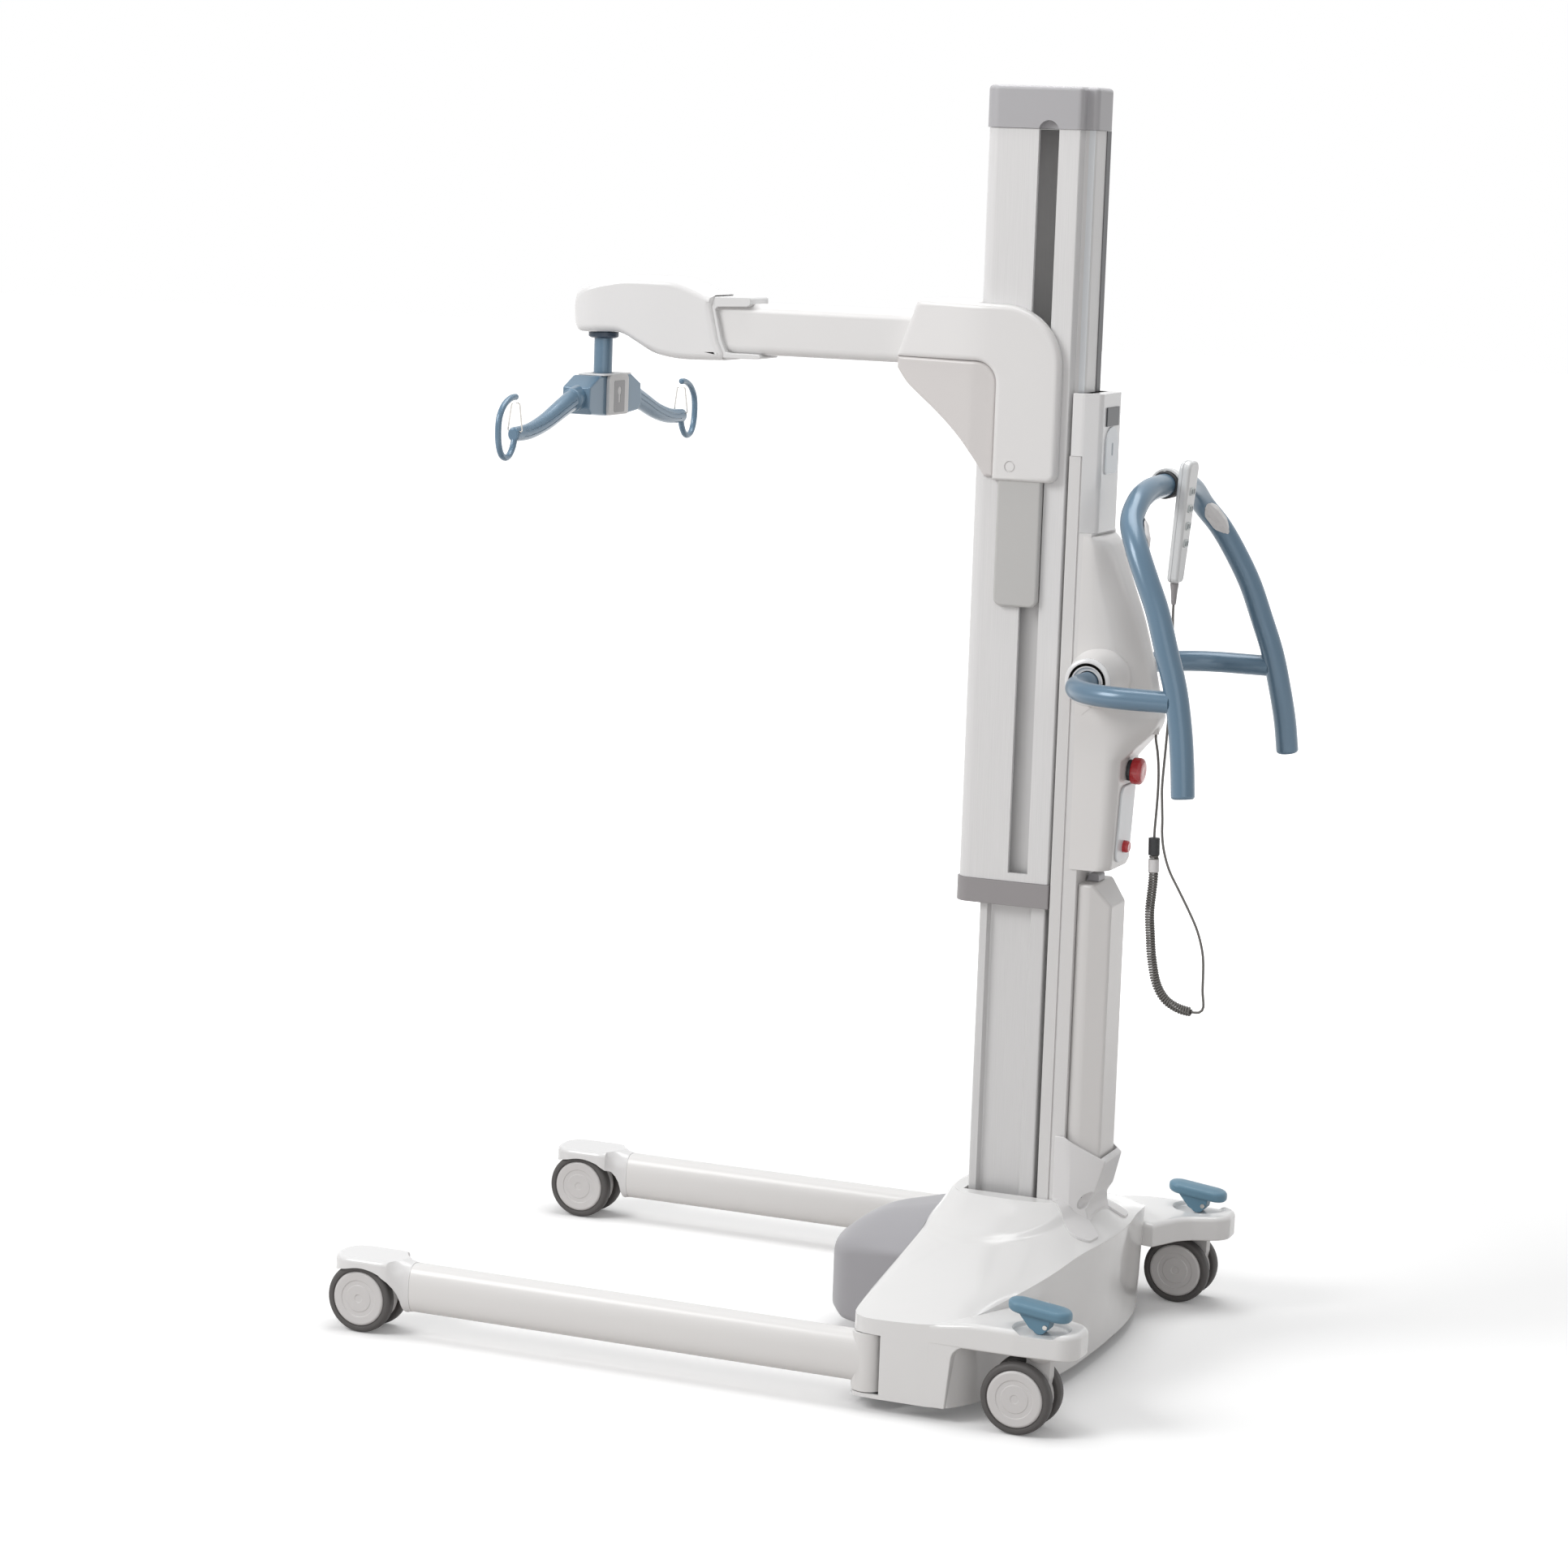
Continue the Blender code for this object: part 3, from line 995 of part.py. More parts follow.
def build_handle():
    """The push handle: one tube bent into an arch, and the cross tube that enters the housing's bosses."""
    half = [Vector(p) for p in BAR_POINTS]
    whole = half + [Vector((0, *BRIDGE))] + [Vector((-p.x, p.y, p.z)) for p in reversed(half)]
    path = smooth(whole, .040)
    bar = sweep("push_handle", path, ring_section(TUBE_RADIUS, sides=12), BLUE)

    y, z = HUB
    cross = []
    for side in (-1, 1):
        arc = [Vector((side * (RUN_X - SWEEP_RADIUS + SWEEP_RADIUS * math.sin(a)),
                       y + SWEEP_RADIUS * (1 - math.cos(a)), z))
               for a in [math.radians(d) for d in range(0, 91, 18)]]
        arc.append(Vector((side * RUN_X, .2870, z)))
        cross += arc if side > 0 else arc[::-1]
    tube = sweep("handle_crossbar", cross, ring_section(CROSS_RADIUS, sides=12), BLUE)
    cut(tube, sweep("bar_room", path, ring_section(TUBE_RADIUS + FIT, sides=12)))

    sleeve_path = [Vector((x, *BRIDGE)) for x in (-.0150, .0150)]
    sleeve = sweep("bridge_sleeve", sleeve_path, ring_section(TUBE_RADIUS + .0030, sides=20), RUBBER)
    cut(sleeve, sweep("bridge_room", path, ring_section(TUBE_RADIUS + FIT, sides=12)))
    for side in (1, -1):
        pad_points = [p + Vector((-side * .0080, .0080, -.0020)) for p in smooth(path, .0080)
                      if p.x * side > 0 and PAD_Z[0] < p.z < PAD_Z[1]]
        pad = sweep("handle_pad_" + side_name(side), pad_points, ring_section(.0125, sides=10), SHELL,
                    pad_taper)
        cut(pad, sweep("pad_room_" + side_name(side), path, ring_section(TUBE_RADIUS + FIT, sides=12)))
    return bar


HAND_TOP = Vector((0, BRIDGE[0] + TUBE_RADIUS + .0145, 1.2850))
HAND_LOW = Vector((0, BRIDGE[0] + TUBE_RADIUS + .0010, 1.1160))
KEY_TRAVEL = 0.001


def build_hand_control():
    """The hand control, hung by its hook over the handle's bridge, with four keys on its rear face."""
    up = (HAND_TOP - HAND_LOW).normalized()
    length = (HAND_TOP - HAND_LOW).length
    face = Vector((0, up.z, -up.y))
    outline = fillet([(-.0150, 0, .008), (.0150, 0, .008), (.0195, .080, .04), (.0225, length, .012),
                      (-.0225, length, .012), (-.0195, .080, .04)])
    body = prism("hand_control", outline, "Y", (-.0080, .0085), WHITE, .003)
    frame = Matrix((( 1, 0, 0), (0, face.y, up.y), (0, face.z, up.z))).to_4x4()
    body.data.transform(Matrix.Translation(HAND_LOW) @ frame)
    centre = Vector((0, *BRIDGE))
    step = 21
    inner = (TUBE_RADIUS + .0030 + FIT) / math.cos(math.radians(step / 2)) + .0001
    outer = inner + .0034
    angles = [math.radians(d) for d in range(-10, 201, step)]
    arc = [(centre.y + outer * math.cos(a), centre.z + outer * math.sin(a)) for a in angles]
    arc += [(centre.y + inner * math.cos(a), centre.z + inner * math.sin(a)) for a in reversed(angles)]
    join(body, prism("hand_hook", arc, "X", (-.0090, .0090)))
    for row, name in enumerate(("key_raise", "key_lower", "key_open_legs", "key_close_legs")):
        spot = HAND_LOW + up * (.128 - .024 * row)
        key = prism("hand_control_" + name, fillet(box_corners((-.0090, .0090), (-.0055, .0055), .0035), 2),
                    "Y", (.0072, .0104), LIGHT_GREY)
        pocket = prism("pocket_" + name, fillet(box_corners((-.0093, .0093), (-.0058, .0058), .0038), 2), "Y",
                       (.0072 - KEY_TRAVEL - FIT, .0200))
        for piece in (key, pocket):
            piece.data.transform(frame)
            piece.location = spot
        cut(body, pocket)
    relief = revolve("hand_control_strain_relief",
                     [(0, 0), (.0030, 0), (.0036, .004), (.0048, .020), (.0060, .028),
                                                    (.0060, .0300), (0, .0300)],
                                                    HAND_LOW - Vector((0, 0, .0306)),
                     (0, 0, 1), GREY, 16)
    return relief


def cord(name, points, radius, resolution, colour):
    """A round cord through the points as one unbroken tube with closed ends."""
    curve = bpy.data.curves.new(name, "CURVE")
    curve.dimensions = "3D"
    curve.bevel_depth = radius
    curve.bevel_resolution = resolution
    curve.use_fill_caps = True
    spline = curve.splines.new("POLY")
    spline.points.add(len(points) - 1)
    for place_in, point in zip(spline.points, points):
        place_in.co = (*point, 1.0)
    obj = bpy.data.objects.new(name, curve)
    bpy.context.scene.collection.objects.link(obj)
    curve.materials.append(surface(name, *colour))
    return obj


LEAD_ROUTE = ((0, .1890, .9027), (0, .1890, .8960), (0, .1925, .8780), (0, .1950, .8550), (0, .1957, .8300),
              (0, .1952, .8066), (0, .1943, .7850), (0, .1936, .7700), (0, .1936, .7581))
COIL_ROUTE = ((0, .1936, .7578), (0, .1937, .7530), (0, .1944, .7300), (0, .1949, .7022), (0, .1936, .6802),
              (0, .1920, .6523), (0, .1946, .6200), (0, .1982, .5883), (0, .2065, .5532), (0, .2205, .5316),
              (0, .2395, .5210), (0, .2560, .5178), (0, .2640, .5172))
RETURN_ROUTE = ((0, .2645, .5172), (0, .2685, .5174), (.0003, .2730, .5192), (.0006, .2762, .5240),
                (.0010, .2768, .5310),
                (.0015, .2748, .5480), (.0025, .2746, .5700), (.0030, .2740, .5900), (.0035, .2712, .6090),
                (.0040, .2630, .6350), (.0048, .2500, .6610), (.0055, .2341, .6890), (.0060, .2194, .7150),
                (.0064, .2105, .7414), (.0068, .2068, .7650), (.0070, .2062, .7850), (.0072, .2046, .8100),
                (.0072, .2036, .8355), (.0066, .2064, .8987), (.0050, .2080, .9600), (.0020, .2070, 1.0200),
                (0, .2050, 1.0700), (0, .2050, 1.0851))


def coil_points(route):
    """The helix around the route: straight stubs on the route, and curls of constant pitch between them."""
    fine = smooth(route, .0010)
    total = sum((b - a).length for a, b in zip(fine, fine[1:]))
    curls = round((total - .0100) / CURL_PITCH)
    steps = curls * CURL_POINTS
    path = resample(fine, steps)
    points = []
    for k, (point, side, up) in enumerate(frames(path)):
        angle = 2 * math.pi * k / CURL_POINTS
        ramp = min(1.0, max(0, k - 6) / CURL_POINTS, max(0, steps - k - 6) / CURL_POINTS)
        radius = CURL_RADIUS * ramp
        points.append(point + (side * math.cos(angle) + up * math.sin(angle)) * radius)
    return points, curls


def least_gap(points, radius):
    """The smallest distance between the cord's surface and a stretch of it half a curl or more further on."""
    lengths = [0.0]
    for a, b in zip(points, points[1:]):
        lengths.append(lengths[-1] + (b - a).length)
    curl = 2 * math.pi * CURL_RADIUS
    smallest = 1.0
    for i, a in enumerate(points):
        for j in range(i + 1, len(points) - 1):
            if lengths[j] - lengths[i] < 0.5 * curl:
                continue
            if lengths[j] - lengths[i] > 3.0 * curl:
                break
            b, c = points[j], points[j + 1]
            along = c - b
            t = min(max((a - b).dot(along) / along.length_squared, 0.0), 1.0)
            smallest = min(smallest, (a - b - along * t).length)
    return smallest - 2 * radius


def build_cords():
    """Housing lead, curly cord and return lead, end to end from the housing to the hand control."""
    cord("cord_housing_lead", smooth(LEAD_ROUTE, .0085), LEAD_RADIUS, 2, GREY)
    points, curls = coil_points(COIL_ROUTE)
    cord("cord_curly", points, CURL_WIRE, 1, DARK)
    cord("cord_hand_lead", smooth(RETURN_ROUTE, .0106), LEAD_RADIUS, 2, GREY)
    print(f"curly cord: {curls} curls, least gap {least_gap(points, CURL_WIRE) * 1000:.2f} mm")


def main():
    for obj in list(bpy.data.objects):
        bpy.data.objects.remove(obj)
    build_base()
    build_legs()
    for side in (1, -1):
        build_caster("front_" + side_name(side), side * FRONT_WHEEL[0], FRONT_WHEEL[1], FRONT_TRAIL,
                     FRONT_SWIVEL_TOP)
        build_caster("rear_" + side_name(side), side * REAR_WHEEL[0], REAR_WHEEL[1], REAR_TRAIL,
                     REAR_SWIVEL_TOP)
    build_brakes()
    build_mast()
    build_rear_column()
    build_housing()
    build_buttons()
    build_battery()
    build_foot_shroud()
    build_arm()
    build_hanger()
    build_handle()
    build_hand_control()
    build_cords()
    for obj in bpy.data.objects:
        obj.location.y += MAST_Y


main()
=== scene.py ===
# Looks of the patient floor lift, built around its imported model.
# Metres, Z up, -Y forward (the way the legs point), +X to the lift's own left.
import math

import bmesh
import bpy
from mathutils import Matrix, Vector


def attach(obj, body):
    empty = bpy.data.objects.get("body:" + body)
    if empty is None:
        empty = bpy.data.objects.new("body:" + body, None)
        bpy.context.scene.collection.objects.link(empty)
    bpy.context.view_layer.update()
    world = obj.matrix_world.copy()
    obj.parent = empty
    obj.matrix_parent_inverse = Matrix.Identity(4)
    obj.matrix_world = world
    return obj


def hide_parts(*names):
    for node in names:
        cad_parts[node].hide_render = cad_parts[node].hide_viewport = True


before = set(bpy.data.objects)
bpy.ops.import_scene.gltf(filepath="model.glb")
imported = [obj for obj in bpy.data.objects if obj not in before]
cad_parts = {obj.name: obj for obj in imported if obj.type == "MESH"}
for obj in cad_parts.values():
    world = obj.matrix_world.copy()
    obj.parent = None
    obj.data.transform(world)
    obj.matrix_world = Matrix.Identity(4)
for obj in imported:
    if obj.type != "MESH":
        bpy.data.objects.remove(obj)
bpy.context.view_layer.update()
mastY = 0.2785  # from the origin back to the mast's centre line
fit = .0003  # the gap between seated pieces
sideWords = {1: "left", -1: "right"}
print("frame: loaded", len(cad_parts), "nodes")


# selecting and shaping
def clearSelection():
    for thing in bpy.context.selected_objects:
        thing.select_set(False)


def makeActive(piece):
    clearSelection()
    piece.select_set(True)
    bpy.context.view_layer.objects.active = piece


def openMesh(piece):
    makeActive(piece)
    bpy.ops.object.mode_set(mode="EDIT")


def closeMesh():
    bpy.ops.object.mode_set(mode="OBJECT")


def pick(piece, kind, test):  # in edit mode: selects the parts of one kind that pass the test
    bpy.ops.mesh.select_mode(type=kind)
    bpy.ops.mesh.select_all(action="DESELECT")
    mesh = bmesh.from_edit_mesh(piece.data)
    parts = {"VERT": mesh.verts, "EDGE": mesh.edges, "FACE": mesh.faces}[kind]
    count = 0
    for part in parts:
        chosen = bool(test(part))
        part.select_set(chosen)
        count += chosen
    bmesh.update_edit_mesh(piece.data)
    return count


def tidyMesh(piece, merge=0.00001):
    openMesh(piece)
    bpy.ops.mesh.select_all(action="SELECT")
    bpy.ops.mesh.remove_doubles(threshold=merge)
    bpy.ops.mesh.dissolve_degenerate(threshold=0.000005)
    bpy.ops.mesh.normals_make_consistent(inside=False)
    closeMesh()


def applyPlace(piece):
    makeActive(piece)
    bpy.ops.object.transform_apply(location=True, rotation=True, scale=True)


def useModifier(piece, kind, **values):  # adds a modifier, sets it and applies it
    makeActive(piece)
    modifier = piece.modifiers.new(kind.lower(), kind)
    for key, value in values.items():
        setattr(modifier, key, value)
    bpy.ops.object.modifier_apply(modifier=modifier.name)
    return piece


def carve(piece, *cutters):
    for cutter in cutters:
        useModifier(piece, "BOOLEAN", operation="DIFFERENCE", solver="EXACT", object=cutter)
        bpy.data.objects.remove(cutter)
    return piece


def weld(piece, *others):
    for other in others:
        useModifier(piece, "BOOLEAN", operation="UNION", solver="EXACT", object=other)
        bpy.data.objects.remove(other)
    return piece


def settle(piece, finish, body, nodes=(), smoothAngle=32, merge=True):  # ends each piece
    if merge:
        tidyMesh(piece)
    applyPlace(piece)
    piece.data.materials.clear()
    piece.data.materials.append(finishOf(finish))
    bpy.ops.object.shade_smooth_by_angle(angle=math.radians(smoothAngle))
    useModifier(piece, "WEIGHTED_NORMAL", mode="FACE_AREA", weight=50, keep_sharp=True)
    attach(piece, body)
    if nodes:
        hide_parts(*([nodes] if isinstance(nodes, str) else nodes))
    return piece


def placed(axis, u, v, height):  # a point drawn square to an axis
    return {"X": (height, u, v), "Y": (u, height, v), "Z": (u, v, height)}[axis]


def block(name, corners, axis, span, arc=8, rim=0.0, rimSteps=3):
    # an outline of (u, v, radius) corners, extruded along an axis, its corners rounded and its rims softened
    bpy.ops.mesh.primitive_circle_add(vertices=len(corners), radius=1, fill_type="NGON")
    piece = bpy.context.object
    piece.name = name
    for vert, (u, v, radius) in zip(piece.data.vertices, corners):
        vert.co = placed(axis, u, v, span[0])
    openMesh(piece)
    bpy.ops.mesh.select_all(action="SELECT")
    rise = Vector(placed(axis, 0, 0, span[1] - span[0]))
    bpy.ops.mesh.extrude_region_move(TRANSFORM_OT_translate={"value": rise})
    along = rise.normalized()
    for index, (u, v, radius) in enumerate(corners):
        if radius <= 0:
            continue
        here = Vector((u, v))
        back = (Vector(corners[index - 1][:2]) - here).normalized()
        ahead = (Vector(corners[(index + 1) % len(corners)][:2]) - here).normalized()
        reach = radius / math.tan(back.angle(ahead) / 2)
        spot = Vector(placed(axis, u, v, span[0]))

        def onCorner(edge):
            a, b = edge.verts
            return (abs((a.co - b.co).normalized().dot(along)) > 0.999
                    and min((a.co - spot).length, (b.co - spot).length) < 0.00002)

        if pick(piece, "EDGE", onCorner):
            bpy.ops.mesh.bevel(offset=reach, segments=arc, profile=0.5, clamp_overlap=False)
    closeMesh()
    if rim:
        softenRims(piece, axis, span, rim, rimSteps)
    return piece


def oblong(half, low, high, bend, topBend=None, middle=0.0):  # the four corners of a rectangle
    topBend = bend if topBend is None else topBend
    return [(middle - half, low, bend), (middle + half, low, bend),
            (middle + half, high, topBend), (middle - half, high, topBend)]


def softenRims(piece, axis, heights, width, steps=3):
    number = "XYZ".index(axis)
    openMesh(piece)
    bpy.ops.mesh.select_all(action="SELECT")
    bpy.ops.mesh.normals_make_consistent(inside=False)

    def onRim(edge):
        return any(all(abs(vert.co[number] - height) < 0.00001 for vert in edge.verts) for height in heights)

    if pick(piece, "EDGE", onRim):
        bpy.ops.mesh.bevel(offset=width, segments=steps, profile=0.5, clamp_overlap=True)
    closeMesh()
    return piece


def box(name, x, y, z):
    size = (x[1] - x[0], y[1] - y[0], z[1] - z[0])
    centre = ((x[0] + x[1]) / 2, (y[0] + y[1]) / 2, (z[0] + z[1]) / 2)
    bpy.ops.mesh.primitive_cube_add(size=1, location=centre, scale=size)
    bpy.context.object.name = name
    applyPlace(bpy.context.object)
    return bpy.context.object


def turned(name, profile, centre=(0, 0, 0), direction=(0, 0, 1), steps=64):
    # a closed (radius, height) profile spun about its axis
    bpy.ops.mesh.primitive_circle_add(vertices=len(profile), radius=1, fill_type="NOTHING")
    piece = bpy.context.object
    piece.name = name
    for vert, (radius, height) in zip(piece.data.vertices, profile):
        vert.co = (radius, 0, height)
    openMesh(piece)
    bpy.ops.mesh.select_all(action="SELECT")
    bpy.ops.mesh.spin(steps=steps, angle=2 * math.pi, center=(0, 0, 0), axis=(0, 0, 1))
    closeMesh()
    tidyMesh(piece)
    turn = Vector((0, 0, 1)).rotation_difference(Vector(direction)).to_matrix().to_4x4()
    piece.data.transform(Matrix.Translation(centre) @ turn)
    return piece


def rounded(points, steps=4):  # a (radius, height, bend) profile with its corners turned on their bends
    found = []
    count = len(points)
    for index, (u, v, bend) in enumerate(points):
        here = Vector((u, v))
        if bend <= 0:
            found.append((u, v))
            continue
        back = (Vector(points[index - 1][:2]) - here)
        ahead = (Vector(points[(index + 1) % count][:2]) - here)
        reach = min(bend, back.length * 0.49, ahead.length * 0.49)
        start, end = here + back.normalized() * reach, here + ahead.normalized() * reach
        for step in range(steps + 1):
            t = step / steps
            found.append(tuple(start * (1 - t) ** 2 + here * 2 * t * (1 - t) + end * t * t))
    return found


def turns(first, last, step):  # angles in radians, given as a range of whole degrees
    return [math.radians(degrees) for degrees in range(first, last, step)]


def clamped(value, high=1.0):
    return min(max(value, 0.0), high)


def bothSides(half):  # an outline from the corners of its half with u > 0
    return half + [(-u, v, r) for u, v, r in reversed(half)]


def moved(points):  # (x, y, radius) corners given from the mast's centre line
    return [(u, v + mastY, r) for u, v, r in points]


def movedY(points):  # (y, z, ...) points given from the mast's centre line
    return [(point[0] + mastY, *point[1:]) for point in points]


def lengthOf(points):
    return sum((b - a).length for a, b in zip(points, points[1:]))


def between(a, b, c, d, t):  # a Catmull-Rom step from b to c
    square = (2 * a - 5 * b + 4 * c - d) * t * t
    return 0.5 * ((2 * b) + (c - a) * t + square + (3 * b - a - 3 * c + d) * t ** 3)


def curveThrough(points, spacing):  # points every spacing along one smooth curve through the given ones
    known = [Vector(point) for point in points]
    known = [2 * known[0] - known[1]] + known + [2 * known[-1] - known[-2]]
    fine = []
    for a, b, c, d in zip(known, known[1:], known[2:], known[3:]):
        count = max(2, round((c - b).length / spacing * 4))
        fine += [between(a, b, c, d, step / count) for step in range(count)]
    fine.append(known[-2])
    return evenly(fine, max(2, round(lengthOf(fine) / spacing)))


def flatCurve(points, spacing):  # the same for plain (u, v) points
    return [(p.x, p.y) for p in curveThrough([(*point, 0) for point in points], spacing)]


def evenly(fine, count):
    lengths = [0.0]
    for a, b in zip(fine, fine[1:]):
        lengths.append(lengths[-1] + (b - a).length)
    found, at = [], 0
    for step in range(count + 1):
        want = lengths[-1] * step / count
        while at < len(fine) - 2 and lengths[at + 1] < want:
            at += 1
        part = lengths[at + 1] - lengths[at]
        found.append(fine[at].lerp(fine[at + 1], (want - lengths[at]) / part if part else 0))
    return found


def framesAlong(path):  # each point of a path with two directions square to it that turn as little as may be
    tangents = []
    for index in range(len(path)):
        before, after = path[max(index - 1, 0)], path[min(index + 1, len(path) - 1)]
        tangents.append((after - before).normalized())
    side = tangents[0].cross(Vector((0, 0, 1)))
    side = side.normalized() if side.length > 0.05 else Vector((1, 0, 0))
    found = []
    for point, tangent in zip(path, tangents):
        side = (side - tangent * side.dot(tangent)).normalized()
        found.append((point, side, tangent.cross(side)))
    return found


def skin(name, sections, closedEnds=True):
    # a grid wrapped round a row of closed sections, with its two ends filled
    around, rows = len(sections[0]), len(sections)
    bpy.ops.mesh.primitive_grid_add(x_subdivisions=around, y_subdivisions=rows - 1, size=1)
    piece = bpy.context.object
    piece.name = name
    for row, section in enumerate(sections):
        for step in range(around + 1):
            piece.data.vertices[row * (around + 1) + step].co = section[step % around]
    openMesh(piece)
    bpy.ops.mesh.select_all(action="SELECT")
    bpy.ops.mesh.remove_doubles(threshold=0.000002)
    if closedEnds:
        ends = [Vector(point) for section in (sections[0], sections[-1]) for point in section]
        corners = {tuple(round(value, 5) for value in point) for point in ends}
        pick(piece, "EDGE", lambda edge: edge.is_boundary)
        bpy.ops.mesh.edge_face_add() if len(corners) < 3 else bpy.ops.mesh.fill_holes(sides=0)
    bpy.ops.mesh.select_all(action="SELECT")
    bpy.ops.mesh.normals_make_consistent(inside=False)
    closeMesh()
    return piece


def tube(name, path, radius, sides=32, scale=None, flat=1.0, endRound=0.0):
    # a round or oval bar along a path of points, its two ends rounded over
    path = [Vector(point) for point in path]
    sections = []

    def ringAt(point, side, up, size):
        return [point + side * math.cos(a) * size + up * math.sin(a) * size * flat
                for a in [2 * math.pi * k / sides for k in range(sides)]]

    found = framesAlong(path)
    last = len(path) - 1
    for index, (point, side, up) in enumerate(found):
        size = radius * (scale(index / last) if scale else 1.0)
        if endRound and index in (0, last):
            inward = (path[1] - path[0] if index == 0 else path[-2] - path[-1]).normalized()
            bends = [math.radians(degrees) for degrees in (90, 70, 50, 30, 12, 0)]
            rows = [ringAt(point + inward * (endRound * (1 - math.sin(a))), side, up,
                           size - endRound * (1 - math.cos(a))) for a in bends]
            sections += rows if index == 0 else rows[::-1]
        else:
            sections.append(ringAt(point, side, up, size))
    return skin(name, sections)


def widen(piece, cutsY, widthAt, full):  # bisects a piece along Y and scales it across X to widthAt(y)
    openMesh(piece)
    for y in cutsY:
        bpy.ops.mesh.select_all(action="SELECT")
        bpy.ops.mesh.bisect(plane_co=(0, y, 0), plane_no=(0, 1, 0))
    closeMesh()
    for vert in piece.data.vertices:
        vert.co.x *= widthAt(vert.co.y, vert.co.z) / full
    return piece


def pillow(name, outline, axis, span, rim, steps=6):
    # an outline of (u, v) points filled out along an axis, its two faces blended into its side by a round rim
    points = [Vector(point) for point in outline]
    area = sum(a.x * b.y - b.x * a.y for a, b in zip(points, points[1:] + points[:1]))
    inward = []
    for index, here in enumerate(points):
        before, after = points[index - 1], points[(index + 1) % len(points)]
        first, second = (here - before).normalized(), (after - here).normalized()
        turn = Vector((-first.y - second.y, first.x + second.x)) * (1 if area > 0 else -1)
        turn.normalize()
        lean = max(abs(turn.dot(Vector((-first.y, first.x)))), .45)
        inward.append(turn / lean)
    low, high = span
    levels = []
    for step in range(steps + 1):
        a = math.pi / 2 * step / steps
        levels.append((rim * (1 - math.sin(a)), low + rim * (1 - math.cos(a))))
    levels += [(inset, low + high - height) for inset, height in reversed(levels)]
    sections = [[Vector(placed(axis, *(p + n * inset), height)) for p, n in zip(points, inward)]
                for inset, height in levels]
    return skin(name, sections)


def corners(points, arc=6):  # an outline of (u, v, radius) corners as plain points
    found = []
    for index, (u, v, radius) in enumerate(points):
        here = Vector((u, v))
        if radius <= 0:
            found.append((u, v))
            continue
        back = (Vector(points[index - 1][:2]) - here).normalized()
        ahead = (Vector(points[(index + 1) % len(points)][:2]) - here).normalized()
        middle = (back + ahead).normalized()
        half = back.angle(ahead) / 2
        centre = here + middle * (radius / math.sin(half))
        start = here + back * (radius / math.tan(half)) - centre
        end = here + ahead * (radius / math.tan(half)) - centre
        sweep = start.angle_signed(end)
        count = max(2, round(arc * abs(sweep) / (math.pi / 2)))
        for step in range(count + 1):
            a = -sweep * step / count
            found.append((centre.x + start.x * math.cos(a) - start.y * math.sin(a),
                          centre.y + start.x * math.sin(a) + start.y * math.cos(a)))
    return found


# finishes
def newGroup(name, inputs, outputs):
    group = bpy.data.node_groups.new(name, "ShaderNodeTree")
    for label, kind in inputs:
        group.interface.new_socket(name=label, in_out="INPUT", socket_type=kind)
    for label, kind in outputs:
        group.interface.new_socket(name=label, in_out="OUTPUT", socket_type=kind)
    return group, group.nodes.new("NodeGroupInput"), group.nodes.new("NodeGroupOutput")


def noise(nodes, links, vector, scaleFrom, detail=3.0, rough=0.5):
    node = nodes.new("ShaderNodeTexNoise")
    node.inputs["Detail"].default_value = detail
    node.inputs["Roughness"].default_value = rough
    links.new(vector, node.inputs["Vector"])
    if isinstance(scaleFrom, (int, float)):
        node.inputs["Scale"].default_value = scaleFrom
    else:
        links.new(scaleFrom, node.inputs["Scale"])
    return node.outputs["Fac"]


def calc(nodes, links, operation, first, second=None, third=None, clamp=False):
    node = nodes.new("ShaderNodeMath")
    node.operation = operation
    node.use_clamp = clamp
    for socket, value in zip(node.inputs, (first, second, third)):
        if value is None:
            continue
        if isinstance(value, (int, float)):
            socket.default_value = value
        else:
            links.new(value, socket)
    return node.outputs[0]


def blendColour(nodes, links, factor, first, second, kind="MIX"):
    node = nodes.new("ShaderNodeMix")
    node.data_type = "RGBA"
    node.blend_type = kind
    for label, value in (("Factor", factor), ("A", first), ("B", second)):
        sockets = [socket for socket in node.inputs if socket.name == label and socket.enabled]
        if isinstance(value, (int, float)):
            sockets[0].default_value = value
        elif isinstance(value, tuple):
            sockets[0].default_value = value
        else:
            links.new(value, sockets[0])
    return [socket for socket in node.outputs if socket.enabled][0]


